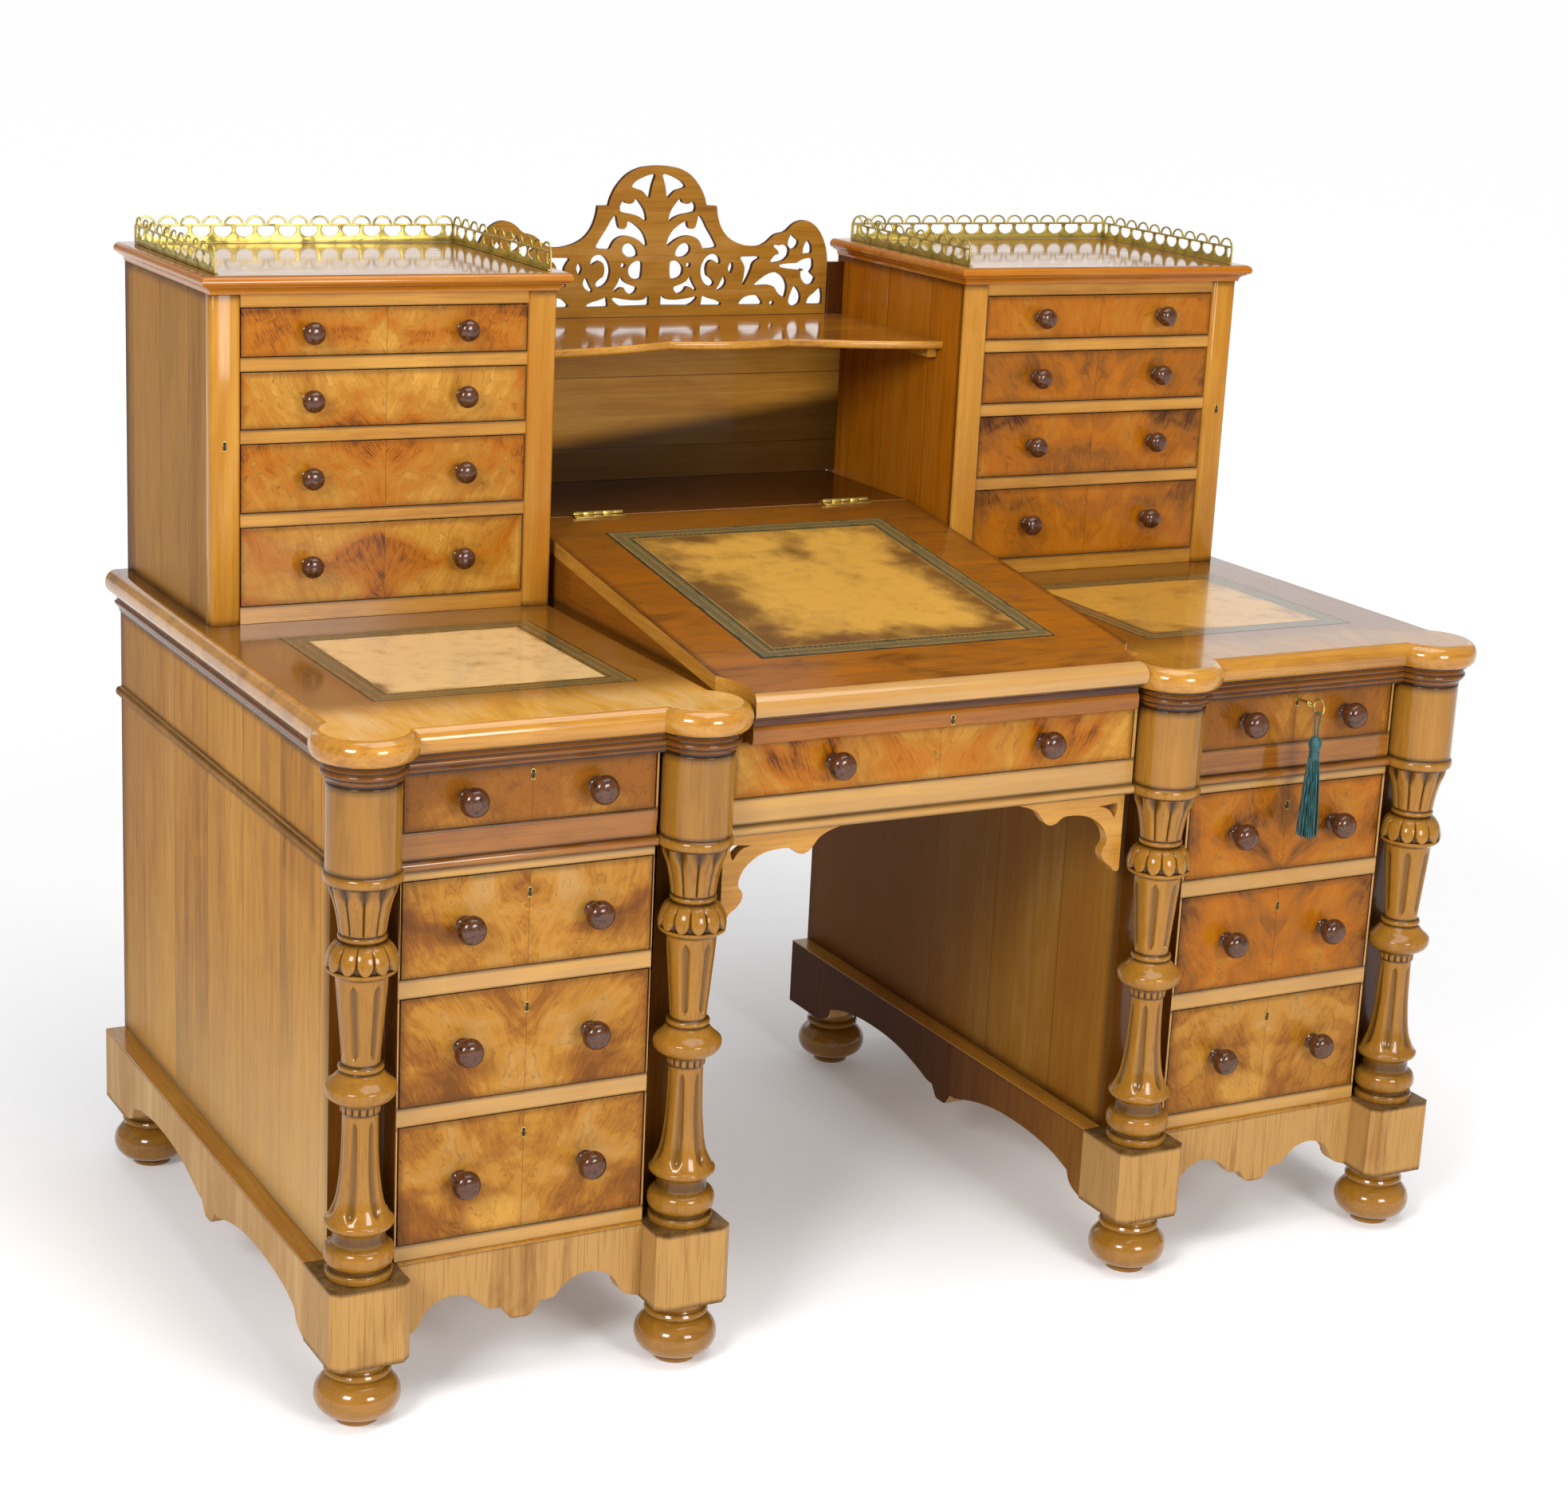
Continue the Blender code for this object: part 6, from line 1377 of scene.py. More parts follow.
class DeskLid(bpy.types.Operator):
    """Finish the writing lid, its leather and its hinges"""

    bl_idname = "desk.lid"
    bl_label = "Writing lid"

    HALF_W = 0.2725
    LEATHER_HALF = 0.2125       # half the leather's length along the slope
    COVE = (-0.3800, 0.7533)    # back and top of the cove under the nose
    NOSE_Y = -0.3836

    # Depth and height of the nose, from under its cove up to the slope
    NOSE = ((-0.3850, 0.7300), (-0.3850, 0.7462), (-0.3862, 0.7492), (-0.3888, 0.7510), (-0.3920, 0.7516),
            (-0.3920, 0.7532), (-0.3956, 0.7552), (-0.3980, 0.7586), (-0.3988, 0.7630), (-0.3984, 0.7676),
            (-0.3966, 0.7722), (-0.3934, 0.7758), (-0.3890, 0.7784), (-0.3840, 0.7796), (-0.3840, 0.8000))

    def execute(self, context):
        lid = eased("writing_lid", "sloped_lid", 0.0010)
        across = Matrix(((0.0, 0.0, 1.0), (1.0, 0.0, 0.0), (0.0, 1.0, 0.0))).to_4x4()
        waste = [*self.NOSE, (-0.4200, 0.8000), (-0.4200, 0.7300)]
        carve(lid, sawn("nosing", waste, [], 0.62, 0.0, across))
        # Painted shade along the lid's sides and its back edge
        field = walnut("lid_walnut", ACROSS, 26.0, ("cloud", "flame", "amber"), 0.20, 0.3, curl=0.66,
                       fades=(((0.0, 1.0, 0.0), -0.30, 0.34, "umber"),),
                       lines=((ACROSS, -self.HALF_W, 0.012), (ACROSS, self.HALF_W, 0.012),
                              (DEEP, 0.193, 0.016)))
        # A line of painted shade at the foot of the nose, over the cove
        nose = walnut("nose_walnut", ACROSS, 27.0, ("honey", "straw", "pale"), 0.14, 0.6,
                      lines=((UP, 0.7535, 0.003),))
        # The cove under the nose is made dark for painted shade
        cove = walnut("cove_walnut", ACROSS, 29.0, ("glaze", "cloud", "flame"), polish=0.20)
        sides = walnut("lid_side_walnut", DEEP, 28.0, ("umber", "honey", "pale"))
        paint(lid, [(cove, lambda p, n: p.y < self.COVE[0] and p.z < self.COVE[1]),
                    (nose, lambda p, n: p.y < self.NOSE_Y), (field, lambda p, n: n.z > 0.8),
                    (sides, lambda p, n: True)])
        fit(lid, None, "writing_lid", ["writing_lid"], flats=True)
        low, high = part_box("lid_leather")
        centre, half = (low + high) / 2.0, (high - low) / 2.0
        pad = eased("lid_leather", "lid_writing_leather", 0.0004)
        hide = leather("lid_leather", centre, (half.x, self.LEATHER_HALF), self.LEATHER_HALF / half.y,
                       0.075, 0.40, 0.1)
        fit(pad, hide, "writing_lid", ["lid_leather"], flats=True)
        brass = metal("hinge_metal", 0.24, 0.06)
        for side, _ in SIDES:
            for leaf, body in (("fixed", FRAME_BODY), ("lid", "writing_lid")):
                node = f"{side}_hinge_{leaf}_leaf"
                fit(eased(node, f"{side}_{leaf}_hinge", 0.0002), brass, body, [node], 50.0)
        return {"FINISHED"}


# Banks

class DeskBanks(bpy.types.Operator):
    """Finish the banks' carcasses, locking stiles and tops"""

    bl_idname = "desk.banks"
    bl_label = "Drawer banks"

    POST_X = 0.1750             # from a bank's middle to its posts
    SIDE_X = 0.2100

    def cornice(self):
        """Insets and heights of a bank top's edge."""
        line = [(0.0125, 0.0), (0.0125, 0.0022), (0.0118, 0.0042), (0.0098, 0.0064), (0.0068, 0.0080),
                (0.0052, 0.0085), (0.0052, 0.0097)]
        line += oval((0.0052, 0.0147), -0.0052, -0.0050, range(15, 91, 15))
        return line + oval((0.0075, 0.0148), -0.0075, 0.0071, range(90, -1, -15))

    def execute(self, context):
        # Lines of painted shade and aged dark polish at the bank's joints and edges
        shaded_rims = ((UP, TOP_Z, 0.014), (UP, BANK_TOP_Z, 0.014), (DEEP, BACK_Y, 0.026),
                (DEEP, BANK_FRONT_Y, 0.012))
        ends = ((UP, TOP_Z, 0.010), (UP, BANK_TOP_Z, 0.010))
        rails = walnut("bank_rail_walnut", ACROSS, 31.0, ("umber", "honey", "pale"),
                       lines=drawer_shade_lines("bank", 4, 0.0040))
        posts = walnut("stile_walnut", UP, 32.0, ("amber", "honey", "pale"), 0.20, 0.2, lines=ends)
        edge = walnut("cornice_walnut", ACROSS, 33.0, ("umber", "amber", "honey"), polish=0.16)
        glossy = walnut("bank_top_walnut", ACROSS, 34.0, ("cloud", "flame", "honey"), 0.09, 0.3)
        for side, sign in SIDES:
            tones = ("umber", "russet" if side == "left" else "amber", "honey")
            panels = walnut(f"{side}_bank_walnut", UP, 35.0 + sign, tones, 0.42, 0.05, (DEEP, 0.110),
                            lines=shaded_rims)
            node = f"{side}_bank_carcass"
            proud = (lambda e: middle(e).y < BANK_FRONT_Y - 0.002
                     and abs(e.verts[0].co.z - e.verts[1].co.z) > 0.1)
            obj = eased(node, f"{side}_bank", None, [(proud, 0.0045, 3)])
            paint(obj, [
                (posts, lambda p, n: p.y < BANK_FRONT_Y + 0.002 and abs(abs(p.x) - BANK_X) > self.POST_X),
                (rails, lambda p, n: p.y < BANK_FRONT_Y + 0.002),
                (panels, lambda p, n: abs(n.x) > 0.5 and abs(abs(p.x) - BANK_X) > self.SIDE_X),
                (panels, at_back),
                (bare_wood("bare_wood"), lambda p, n: True)])
            fit(obj, None, FRAME_BODY, [node], flats=True)
            node = f"{side}_locking_stile"
            fit(eased(node, f"{side}_stile", 0.0006), posts, node, [node])
            node = f"{side}_bank_top"
            low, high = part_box(node)

            def plan(inset):
                left, right, near = low.x + inset, high.x - inset, low.y + inset
                return [(left, near), (right, near), (right, high.y), (left, high.y)]

            top = moulded(f"{side}_cornice", plan, [(inset, low.z + z) for inset, z in self.cornice()])
            paint(top, [(glossy, lambda p, n: n.z > 0.9), (edge, lambda p, n: True)])
            fit(top, None, FRAME_BODY, [node], flats=True)
        return {"FINISHED"}


class DeskGalleries(bpy.types.Operator):
    """Pierce the brass galleries on the banks"""

    bl_idname = "desk.galleries"
    bl_label = "Galleries"

    STRIP = 0.0070              # top of the plain strip at the foot
    RAIL = (0.0200, 0.0220)     # foot and top of the rail under the arches
    HEIGHT = 0.0329
    POST = 0.0042
    BAND = 0.0026               # width of an arch, and of an end post
    THICK = 0.0018

    def run(self, name, length, place):
        """One straight side of a gallery: scalloped arches over U-shaped piercings."""
        bays = round(length / size("bay"))
        pitch = length / bays
        radius = pitch * 0.46
        rise = (self.HEIGHT - self.RAIL[1]) / radius
        outline = [(0.0, 0.0), (length, 0.0), (length, self.RAIL[1])]
        holes = []
        for i in reversed(range(bays)):
            x = (i + 0.5) * pitch
            outline += [(u, self.RAIL[1] + v * rise) for u, v in arc((x, 0.0), radius, 0.0, 180.0, 12)]
            bore = arc((x, 0.0), radius - self.BAND, 2.0, 178.0, 10)
            holes.append([(u, self.RAIL[1] + 0.0002 + v * rise) for u, v in bore])
        outline.append((0.0, self.RAIL[1]))
        half = (pitch - self.POST) / 2.0
        deep = self.RAIL[0] - self.STRIP
        for i in range(bays + 1):
            left, right = max(i * pitch - half, self.BAND), min(i * pitch + half, length - self.BAND)
            x, wide = (left + right) / 2.0, (right - left) / 2.0
            bowl = arc((0.0, 0.0), 1.0, -180.0, 0.0, 12)
            holes.append([*[(x + wide * u, self.STRIP + deep * 0.7 * (1.0 + v)) for u, v in bowl],
                          (x + wide * 0.86, self.RAIL[0]), (x - wide * 0.86, self.RAIL[0])])
        return sawn(name, outline, holes, self.THICK, 0.0004, place)

    def execute(self, context):
        brass = metal("gallery_metal", 0.34, 0.20, "old_brass")
        for side, _ in SIDES:
            low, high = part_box(f"{side}_gallery")
            inset = self.THICK / 2.0 + 0.0003
            quarter = Matrix.Rotation(math.pi / 2.0, 4, "Z")
            back = self.run("back", high.x - low.x, upright(high.y - inset, low.x, low.z))
            pieces = [back]
            for x in (low.x + inset, high.x - inset):
                turned = Matrix.Translation((x, low.y, low.z)) @ quarter @ upright(0.0)
                pieces.append(self.run("return", high.y - low.y - 2.0 * inset, turned))
            sole = low.z + 0.0012
            foot = [block("foot", (low.x + 0.0001, high.y - 0.0050, low.z),
                          (high.x - 0.0001, high.y - 0.0001, sole), 0.0003)]
            for x in (low.x + 0.0001, high.x - 0.0050):
                foot.append(block("foot", (x, low.y + 0.0001, low.z), (x + 0.0049, high.y - 0.0052, sole),
                                  0.0003))
            fit(fuse(f"{side}_brass_gallery", pieces + foot), brass, FRAME_BODY, [f"{side}_gallery"],
                40.0)
        return {"FINISHED"}


# Shelf and crest

class DeskShelf(bpy.types.Operator):
    """Finish the serpentine shelf and the back panel"""

    bl_idname = "desk.shelf"
    bl_label = "Shelf and back panel"

    def execute(self, context):
        _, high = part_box("centre_shelf")
        nose = (lambda e: middle(e).y < 0.20 and middle(e).z > high.z - 0.012 and level(e)
                and sharp(e, 70.0))
        shelf = eased("centre_shelf", "serpentine_shelf", 0.0006, [(nose, 0.0040, 4)])
        glossy = walnut("shelf_walnut", ACROSS, 41.0, ("cloud", "flame", "honey"), polish=0.10)
        edge = walnut("shelf_edge_walnut", ACROSS, 42.0, ("umber", "honey", "pale"), polish=0.18)
        paint(shelf, [(glossy, lambda p, n: n.z > 0.9), (edge, lambda p, n: True)])
        fit(shelf, None, FRAME_BODY, ["centre_shelf"], flats=True)
        low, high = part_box("back_panel")
        panel = block("back_board", low, high, 0.0003)
        # Painted light on the upper boards, and painted shadow below a slanted line
        finish = walnut("panel_walnut", ACROSS, 43.0, ("flame", "honey", "pale"), 0.24, 0.2, (UP, 0.094),
                        fades=(((-0.135, 0.0, 1.0), 0.948, 0.916, "glaze"),))
        behind = walnut("panel_back_walnut", ACROSS, 44.0, ("umber", "russet", "honey"), 0.42, 0.05,
                        (UP, 0.094))
        paint(panel, [(behind, lambda p, n: n.y > 0.5), (finish, lambda p, n: True)])
        fit(panel, None, FRAME_BODY, ["back_panel"], flats=True)
        return {"FINISHED"}


class DeskCrest(bpy.types.Operator):
    """Saw the pierced crest"""

    bl_idname = "desk.crest"
    bl_label = "Fretwork crest"

    # Openings of the right half, across and up from the crest's foot: smooth runs that meet in corners
    OPENINGS = (
        # Bud side
        (((0.0065, 0.1843), (0.0173, 0.1819), (0.0311, 0.1757)),
         ((0.0373, 0.1699), (0.0314, 0.1679), (0.0234, 0.1654), (0.0174, 0.1601)),
         ((0.0135, 0.1562), (0.0121, 0.1654), (0.0101, 0.1739))),
        # Upper leaf
        (((0.0320, 0.1528), (0.0344, 0.1479), (0.0405, 0.1455), (0.0472, 0.1465)),
         ((0.0504, 0.1496), (0.0535, 0.1435)),
         ((0.0529, 0.1386), (0.0463, 0.1367), (0.0355, 0.1350), (0.0248, 0.1313)),
         ((0.0175, 0.1259), (0.0193, 0.1350), (0.0243, 0.1435))),
        # Lower leaf
        (((0.0611, 0.1313), (0.0667, 0.1239), (0.0723, 0.1140), (0.0799, 0.1029)),
         ((0.0866, 0.0917), (0.0800, 0.0905)),
         ((0.0690, 0.0898), (0.0638, 0.0993), (0.0569, 0.1047), (0.0476, 0.1072), (0.0367, 0.1060),
          (0.0261, 0.1014)),
         ((0.0156, 0.0934), (0.0184, 0.1032), (0.0243, 0.1117), (0.0335, 0.1190)),
         ((0.0420, 0.1234), (0.0430, 0.1178), (0.0465, 0.1136), (0.0519, 0.1129), (0.0565, 0.1153),
          (0.0589, 0.1214))),
        # Volute eye
        (((0.0291, 0.0810), (0.0300, 0.0859), (0.0346, 0.0920), (0.0413, 0.0944), (0.0469, 0.0920),
          (0.0479, 0.0858), (0.0419, 0.0802), (0.0338, 0.0792)),),
        # Stem eye
        (((0.0219, 0.0707), (0.0287, 0.0714), (0.0356, 0.0674), (0.0386, 0.0612), (0.0362, 0.0538),
          (0.0282, 0.0506)),
         ((0.0227, 0.0514), (0.0215, 0.0613))),
        # Scroll
        (((0.0937, 0.0693), (0.0912, 0.0768), (0.0831, 0.0799), (0.0753, 0.0769), (0.0698, 0.0695),
          (0.0675, 0.0609), (0.0690, 0.0509), (0.0741, 0.0434)),
         ((0.0822, 0.0401), (0.0852, 0.0433), (0.0805, 0.0483), (0.0750, 0.0521), (0.0729, 0.0596),
          (0.0736, 0.0670), (0.0769, 0.0725), (0.0833, 0.0749))),
        # Slit
        (((0.1115, 0.0697), (0.1131, 0.0642)),
         ((0.1107, 0.0567), (0.1083, 0.0630))),
        # Spandrel
        (((0.1259, 0.0760), (0.1393, 0.0762)),
         ((0.1528, 0.0763), (0.1462, 0.0726), (0.1424, 0.0677), (0.1406, 0.0614), (0.1365, 0.0515)),
         ((0.1303, 0.0403), (0.1325, 0.0515), (0.1333, 0.0628), (0.1302, 0.0703))),
        # Foot leaf
        (((0.0282, 0.0373), (0.0395, 0.0411), (0.0470, 0.0455)),
         ((0.0505, 0.0511), (0.0535, 0.0437)),
         ((0.0599, 0.0337), (0.0518, 0.0395), (0.0450, 0.0396), (0.0412, 0.0339)),
         ((0.0345, 0.0308), (0.0303, 0.0333))),
        # Tail
        (((0.1009, 0.0506), (0.1033, 0.0443), (0.0996, 0.0381)),
         ((0.0918, 0.0340), (0.0960, 0.0407))),
        # Base middle
        (((0.0102, 0.0261), (0.0158, 0.0211), (0.0295, 0.0199), (0.0458, 0.0214)),
         ((0.0612, 0.0242), (0.0553, 0.0188)),
         ((0.0488, 0.0156), (0.0296, 0.0159)),
         ((0.0100, 0.0162), (0.0101, 0.0212))),
        # Base wedge
        (((0.0709, 0.0248), (0.0804, 0.0209), (0.0912, 0.0182)),
         ((0.0979, 0.0149), (0.0833, 0.0151)),
         ((0.0694, 0.0153), (0.0703, 0.0198))),
        # Base round
        (((0.1261, 0.0152), (0.1325, 0.0214), (0.1418, 0.0243), (0.1527, 0.0236)),
         ((0.1598, 0.0150), (0.1423, 0.0150))),
        # Crescent
        (((0.1487, 0.0400), (0.1569, 0.0462), (0.1648, 0.0512), (0.1755, 0.0548), (0.1851, 0.0522),
          (0.1924, 0.0458), (0.1961, 0.0357)),
         ((0.1940, 0.0236), (0.1849, 0.0295), (0.1792, 0.0371), (0.1694, 0.0410))),
        # Pear
        (((0.2086, 0.0368), (0.2135, 0.0316), (0.2176, 0.0240), (0.2158, 0.0151), (0.2078, 0.0122),
          (0.2020, 0.0166), (0.2037, 0.0254)),),
        # Corner
        (((0.2486, 0.0345), (0.2510, 0.0235)),
         ((0.2507, 0.0146), (0.2407, 0.0145)),
         ((0.2296, 0.0149), (0.2326, 0.0212), (0.2400, 0.0270))),
        # Lobe crescent
        (((0.1750, 0.0917), (0.1819, 0.0907), (0.1899, 0.0916), (0.1961, 0.0873), (0.1960, 0.0798),
          (0.1895, 0.0735), (0.1788, 0.0711)),
         ((0.1715, 0.0707), (0.1770, 0.0774), (0.1838, 0.0799), (0.1821, 0.0862))),
        # Lobe leaf
        (((0.2006, 0.1054), (0.2058, 0.1006), (0.2101, 0.0973), (0.2090, 0.0923), (0.2037, 0.0885),
          (0.1976, 0.0923), (0.1977, 0.0986)),),
        # Lobe thorn
        (((0.2257, 0.0977), (0.2305, 0.0909)),
         ((0.2314, 0.0828), (0.2259, 0.0823)),
         ((0.2205, 0.0821), (0.2214, 0.0897))),
        # Dots
        (((0.0456, 0.0672), (0.0476, 0.0692), (0.0496, 0.0672), (0.0476, 0.0652)),),
        (((0.1728, 0.0152), (0.1750, 0.0174), (0.1772, 0.0152), (0.1750, 0.0136)),),
        # Lobe blade
        (((0.2183, 0.0713), (0.2264, 0.0733)),
         ((0.2341, 0.0727), (0.2347, 0.0631), (0.2309, 0.0555)),
         ((0.2388, 0.0483), (0.2351, 0.0415), (0.2268, 0.0416), (0.2201, 0.0480), (0.2186, 0.0556)),
         ((0.2211, 0.0602), (0.2134, 0.0607), (0.1997, 0.0621)),
         ((0.1846, 0.0648), (0.1967, 0.0664), (0.2104, 0.0671))),
    )

    THICK = 0.0076
    OPEN = 0.0015               # saw cut beyond the drawn openings
    CHEEK = (0.2584, 0.2824)    # inner and outer side of the right cheek
    CHEEK_H = 0.070

    # Right half of the outline, from the lobe's end over the dip to the step
    LOBE = ((0.2578, 0.0640), (0.2564, 0.0806), (0.2512, 0.0980), (0.2422, 0.1128), (0.2307, 0.1222),
            (0.2195, 0.1255), (0.2090, 0.1237), (0.2005, 0.1190), (0.1940, 0.1130), (0.1885, 0.1096))
    DIP = ((0.1810, 0.1084), (0.1745, 0.1060), (0.1690, 0.1016), (0.1625, 0.0962), (0.1520, 0.0917),
           (0.1360, 0.0917), (0.1190, 0.0960), (0.1050, 0.1036), (0.0945, 0.1160), (0.0888, 0.1310),
           (0.0865, 0.1445))
    ARCH = ((0.0712, 0.1450), (0.0682, 0.1555), (0.0607, 0.1695), (0.0467, 0.1845), (0.0302, 0.1928),
            (0.0142, 0.1957), (0.0, 0.1965))

    def loop(self, runs):
        """Closed line of an opening, its corners just blunted."""
        line = []
        for run, after in zip(runs, (*runs[1:], runs[0])):
            points = [Vector(p) for p in curve_through([*run, after[0]], 4)]
            line += [points[0].lerp(points[1], 0.3), *points[1:-1], points[-1].lerp(points[-2], 0.3)]
        area = sum(a.x * b.y - b.x * a.y for a, b in zip(line, (*line[1:], line[0])))
        wide = []
        for before, point, after in zip((line[-1], *line[:-1]), line, (*line[1:], line[0])):
            along_edge = (after - before).normalized() * math.copysign(self.OPEN, area)
            wide.append((point.x + along_edge.y, point.y - along_edge.x))
        return wide

    def outline(self):
        """Arched outline with stepped shoulders and a round lobe at each end."""
        right = [(self.LOBE[0][0], 0.0), *curve_through(self.LOBE, 3), *curve_through(self.DIP, 3),
                 *curve_through(self.ARCH, 5)]
        return right + [(-x, z) for x, z in reversed(right[:-1])]

    def execute(self, context):
        holes = [self.loop(runs) for runs in self.OPENINGS]
        holes += [[(-x, z) for x, z in hole] for hole in holes]
        low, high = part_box("fretwork_crest")
        place = upright(high.y - self.THICK / 2.0, 0.0, CREST_Z)
        crest = sawn("sawn_crest", self.outline(), holes, self.THICK, size("fret_ease"), place)
        finish = walnut("crest_walnut", ACROSS, 45.0, ("umber", "russet", "straw"), polish=0.34, gloss=0.10)
        # Walls of the saw cuts are made dark for painted shade
        walls = walnut("crest_wall_walnut", ACROSS, 47.0, ("glaze", "cloud", "umber"), 0.40, 0.05)
        paint(crest, [(walls, lambda p, n: abs(n.y) < 0.9), (finish, lambda p, n: True)])
        fit(crest, None, FRAME_BODY, ["fretwork_crest"], flats=True)
        # Dark blocks beside the crest's ends: painted shade in the gaps by the banks
        cheek = walnut("cheek_walnut", UP, 46.0, ("glaze", "cloud", "cloud"))
        for side, sign in SIDES:
            near, far = sorted(sign * x for x in self.CHEEK)
            piece = block(f"{side}_crest_cheek", (near, low.y, CREST_Z),
                          (far, high.y, CREST_Z + self.CHEEK_H))
            fit(piece, cheek, FRAME_BODY, (), flats=True)
        return {"FINISHED"}


# Drawers

def knob_model(name, radius, reach):
    """Turned knob on a stem, its axis along -Y from the drawer front."""
    r, h = radius, reach
    profile = [(0.0, -0.002), (r * 0.46, -0.002), (r * 0.46, 0.0), (r * 0.62, 0.0004), (r * 0.64, h * 0.05),
               (r * 0.50, h * 0.10), (r * 0.43, h * 0.17), (r * 0.44, h * 0.28), (r * 0.56, h * 0.37),
               (r * 0.82, h * 0.44), (r * 0.96, h * 0.53), (r, h * 0.63), (r * 0.96, h * 0.74),
               (r * 0.84, h * 0.86), (r * 0.62, h * 0.945), (r * 0.34, h * 0.985), (0.0, h * 0.9995)]
    smooth = profile[:4] + curve_through(profile[4:], 3)
    return turn(name, smooth, size("knob_sides"), (0.0, 0.0, 0.0), (math.pi / 2.0, 0.0, 0.0))


def lock_model(name):
    """Brass keyhole lining about the origin, facing the front, and the dark hole in it."""
    def keyhole(grow):
        bow = arc((0.0, 0.0030), 0.0021 + grow, -62.0, 242.0, 18)
        return [*bow, (-0.0016 - grow, -0.0050 - grow), (0.0016 + grow, -0.0050 - grow)]

    plate = sawn(name, keyhole(0.0010), [keyhole(0.0)], 0.0012, 0.00025, upright(-0.0003))
    hole = sawn(name + "_hole", keyhole(0.0002), [], 0.0006, 0.0001, upright(0.0002))
    return plate, hole


# Thickness of a drawer's front, and its box behind
FRONT_T = 0.018
BOX_INSET = 0.004           # from the front's ends to the box's sides
BOX_DROP = 0.008            # from the front's top to the box's rim
BOX_WALL = 0.009
BOX_FLOOR = 0.007


def dress_drawer(node, knob, spread, veneer, lock_drop=None, lock=None):
    """Front, open box, knobs and lock of one drawer."""
    low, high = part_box(node)
    x = (low.x + high.x) / 2.0
    reach = -min(v.co.y for v in knob.data.vertices)
    front = low.y + reach
    foot, rim = low.z + 0.0009, high.z - BOX_DROP
    face = block(f"{node}_front", (low.x, front, foot), (high.x, front + FRONT_T, high.z), 0.0009)
    fit(face, veneer, node, [node], flats=True)
    tray = block(f"{node}_box", (low.x + BOX_INSET, front + FRONT_T - 0.0005, low.z),
                 (high.x - BOX_INSET, high.y, rim), 0.0)
    edit(tray)
    pick(tray, "FACE", lambda f: f.normal.z > 0.9)
    bpy.ops.mesh.inset(thickness=BOX_WALL)
    sink = (0.0, 0.0, low.z + BOX_FLOOR - rim)
    bpy.ops.mesh.extrude_region_move(TRANSFORM_OT_translate={"value": sink})
    pick(tray, "EDGE", lambda e: sharp(e) and middle(e).z > rim - 0.0005)
    bpy.ops.mesh.bevel(offset=0.0007, segments=2, affect="EDGES")
    rest()
    fit(tray, bare_wood("bare_wood"), node, (), flats=True)
    spots = [(x + sign * spread / 2.0, front, (foot + high.z) / 2.0) for _, sign in SIDES]
    pair = [copy_of(knob, "knob", Matrix.Translation(spot)) for spot in spots]
    fit(fuse(f"{node}_knobs", pair), knob_wood("knob_wood"), node, (), 50.0)
    if lock:
        put_lock(node, lock, (x, front, high.z - lock_drop))


def put_lock(body, lock, place):
    """Keyhole lining and its dark hole on a front."""
    plate, hole = lock
    spot = Matrix.Translation(place)
    fit(copy_of(plate, f"{body}_lock", spot), metal("lock_metal", 0.32, 0.26), body, ())
    fit(copy_of(hole, f"{body}_keyhole", spot), keyhole_dark("keyhole_dark"), body, ())


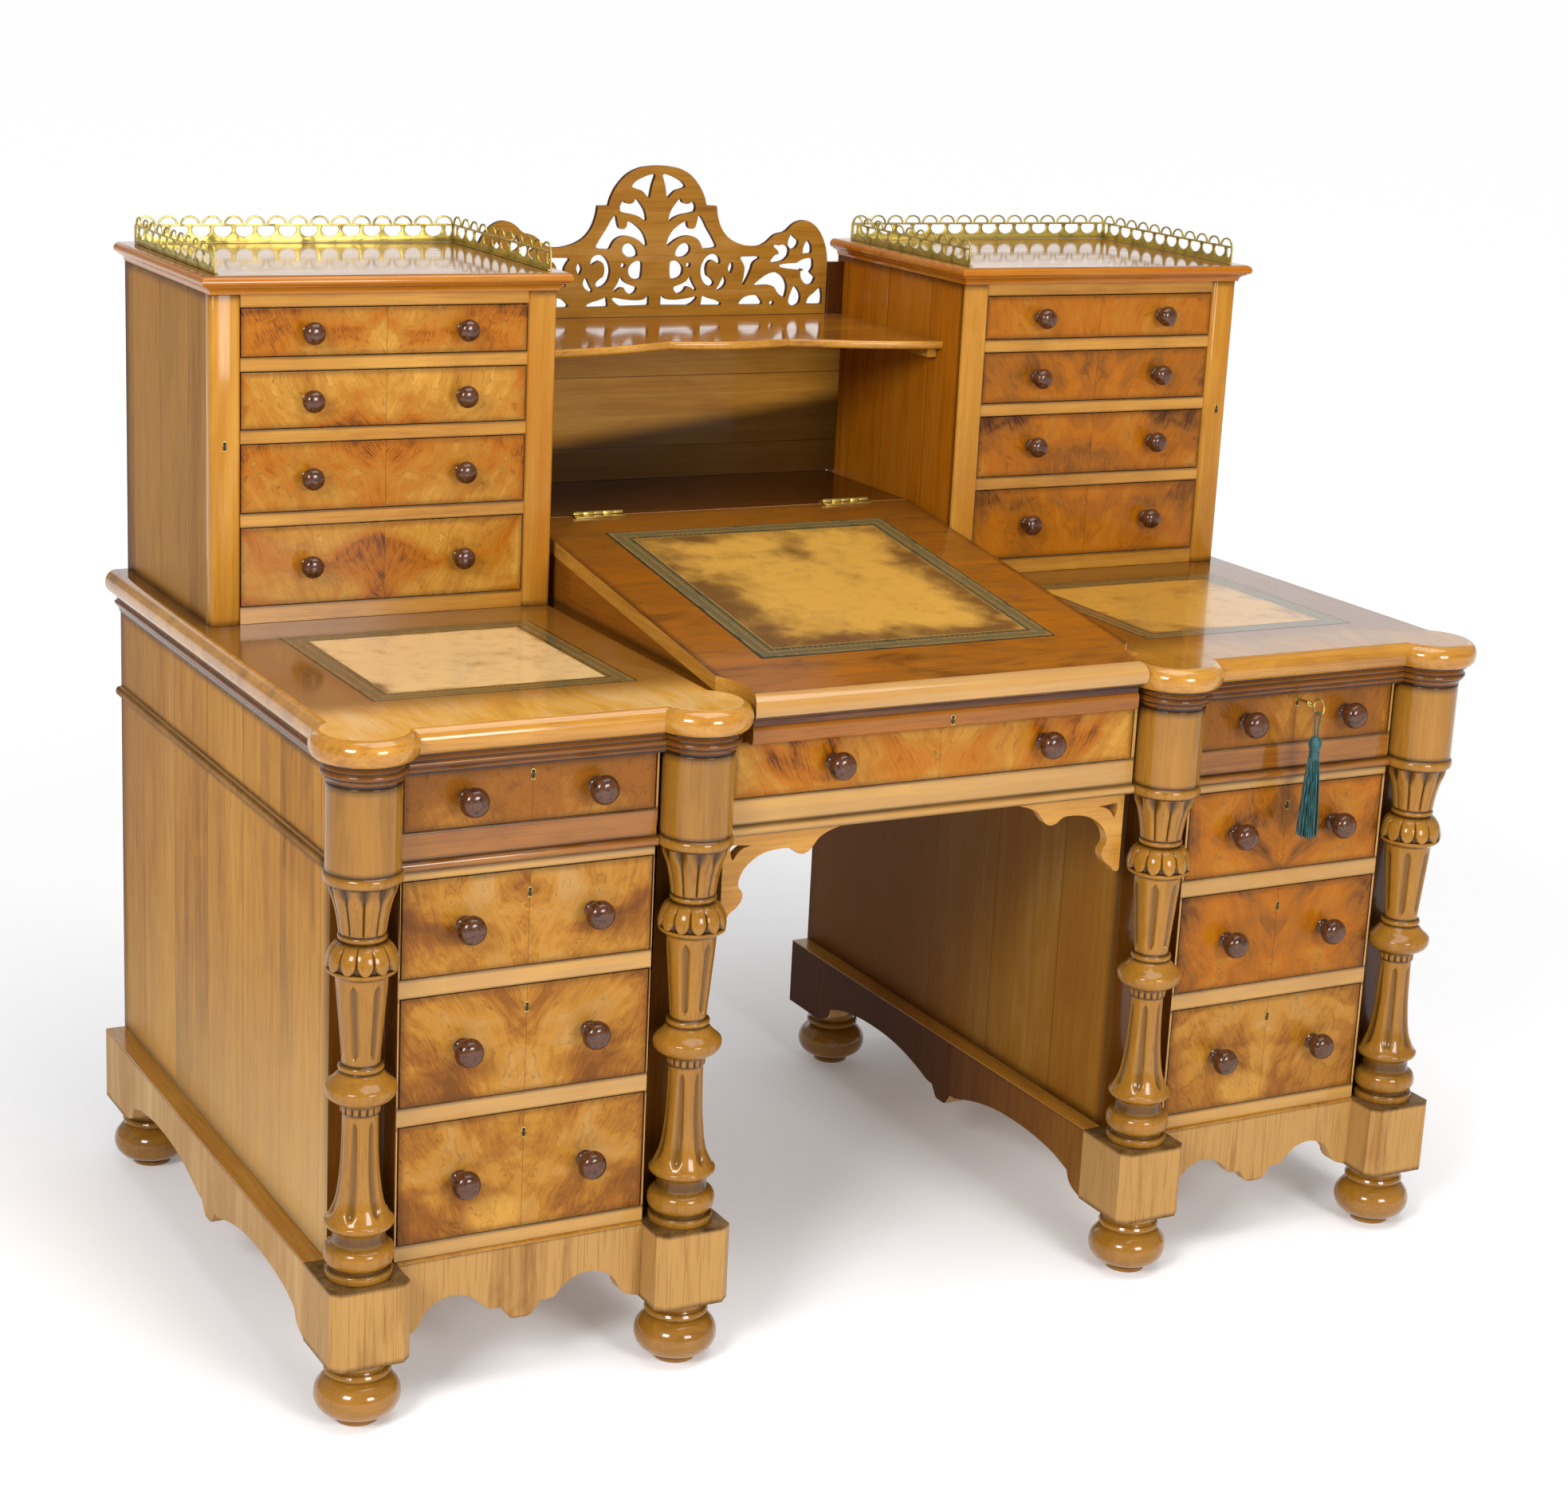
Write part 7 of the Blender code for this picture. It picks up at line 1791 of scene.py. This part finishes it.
class DeskDrawers(bpy.types.Operator):
    """Make the drawers with their veneers, boxes, knobs and locks"""

    bl_idname = "desk.drawers"
    bl_label = "Drawers"

    # Tones of the veneers, from dark to light
    PLAIN = ("umber", "flame", "honey", "straw")
    RED = ("cloud", "flame", "amber", "honey")
    GOLD = ("cloud", "amber", "honey", "pale")
    FRIEZE = ("cloud", "flame", "flame", "honey")

    # Names in a pedestal, from the top
    PEDESTAL = ("frieze_drawer", "pedestal_drawer_1", "pedestal_drawer_2", "pedestal_drawer_3")

    # Radius and reach of a knob
    KNOB = (0.0165, 0.033)
    SMALL_KNOB = (0.0133, 0.027)

    # Half a front's width, and the distance between its knobs
    HALF_W, SPREAD = 0.145, 0.149
    BANK_HALF_W, BANK_SPREAD = 0.176, 0.1886
    CENTRE_SPREAD = 0.278

    # From a front's top to its keyhole
    FRIEZE_LOCK = 0.013
    DRAWER_LOCK = 0.025

    # Keyholes of the right locking stile and of the lid's rail
    STILE_LOCK = (0.6905, 0.097, 0.984)
    RAIL_LOCK = (0.0, -0.3872, 0.7305)

    def execute(self, context):
        knob = knob_model("knob", *self.KNOB)
        small = knob_model("small_knob", *self.SMALL_KNOB)
        lock = lock_model("lock")
        for side, sign in SIDES:
            for i, name in enumerate(self.PEDESTAL):
                node = f"{side}_{name}"
                low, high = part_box(node)
                upper, lowest = i == 0, i == 3
                tones = self.FRIEZE if upper else self.PLAIN if side == "left" or lowest else self.RED
                patch = (sign * PEDESTAL_X - 0.030, low.z + 0.022) if lowest else None
                veneer = burr(f"{node}_burr", sign * PEDESTAL_X, self.HALF_W, (low.z, high.z),
                              3.0 * i + sign + 2.0, tones, patch)
                keyed = None if node == "right_frieze_drawer" else lock
                drop = self.FRIEZE_LOCK if upper else self.DRAWER_LOCK
                dress_drawer(node, knob, self.SPREAD, veneer, drop, keyed)
            for i in range(1, 5):
                node = f"{side}_bank_drawer_{i}"
                low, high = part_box(node)
                veneer = burr(f"{node}_burr", sign * BANK_X, self.BANK_HALF_W, (low.z, high.z),
                              5.0 * i + 2.0 * sign + 20.0, self.GOLD if side == "left" else self.RED)
                dress_drawer(node, small, self.BANK_SPREAD, veneer)
            x, y, z = self.STILE_LOCK
            put_lock(f"{side}_locking_stile", lock, (sign * x, y, z))
        low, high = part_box("centre_frieze_drawer")
        veneer = burr("centre_burr", 0.0, high.x, (low.z, high.z), 50.0, self.GOLD)
        dress_drawer("centre_frieze_drawer", knob, self.CENTRE_SPREAD, veneer)
        put_lock(FRAME_BODY, lock, self.RAIL_LOCK)
        put_lock("right_frieze_drawer", lock, (PEDESTAL_X, FRONT_Y, KEY_Z - 0.003))
        for piece in (knob, small, *lock):
            bpy.data.objects.remove(piece, do_unlink=True)
        return {"FINISHED"}


# Sidebar

class DeskPanel(bpy.types.Panel):
    """Lists the desk's operators, colours and sizes"""

    bl_idname = "VIEW3D_PT_desk"
    bl_label = "Pedestal desk"
    bl_space_type = "VIEW_3D"
    bl_region_type = "UI"
    bl_category = "Desk"

    def draw(self, context):
        layout = self.layout
        for operator in OPERATORS:
            layout.operator(operator.bl_idname)
        for group in (context.scene.desk_colours, context.scene.desk_sizes):
            box = layout.box()
            for name in group.__annotations__:
                box.prop(group, name)


OPERATORS = (DeskStage, DeskTassel, DeskFeet, DeskPlinths, DeskColumns, DeskPedestals, DeskCentre,
             DeskFlatTops, DeskLid, DeskBanks, DeskGalleries, DeskShelf, DeskCrest, DeskDrawers)
CLASSES = (DeskColours, DeskSizes, *OPERATORS, DeskPanel)


def register():
    """Register the classes and the scene's settings."""
    for item in CLASSES:
        bpy.utils.register_class(item)
    bpy.types.Scene.desk_colours = bpy.props.PointerProperty(type=DeskColours)
    bpy.types.Scene.desk_sizes = bpy.props.PointerProperty(type=DeskSizes)


def unregister():
    """Remove the settings and the classes."""
    del bpy.types.Scene.desk_sizes
    del bpy.types.Scene.desk_colours
    for item in reversed(CLASSES):
        bpy.utils.unregister_class(item)


def main():
    """Register, and make every piece."""
    register()
    for operator in OPERATORS:
        group, name = operator.bl_idname.split(".")
        getattr(getattr(bpy.ops, group), name)()
    rest()


if __name__ == "__main__":
    main()
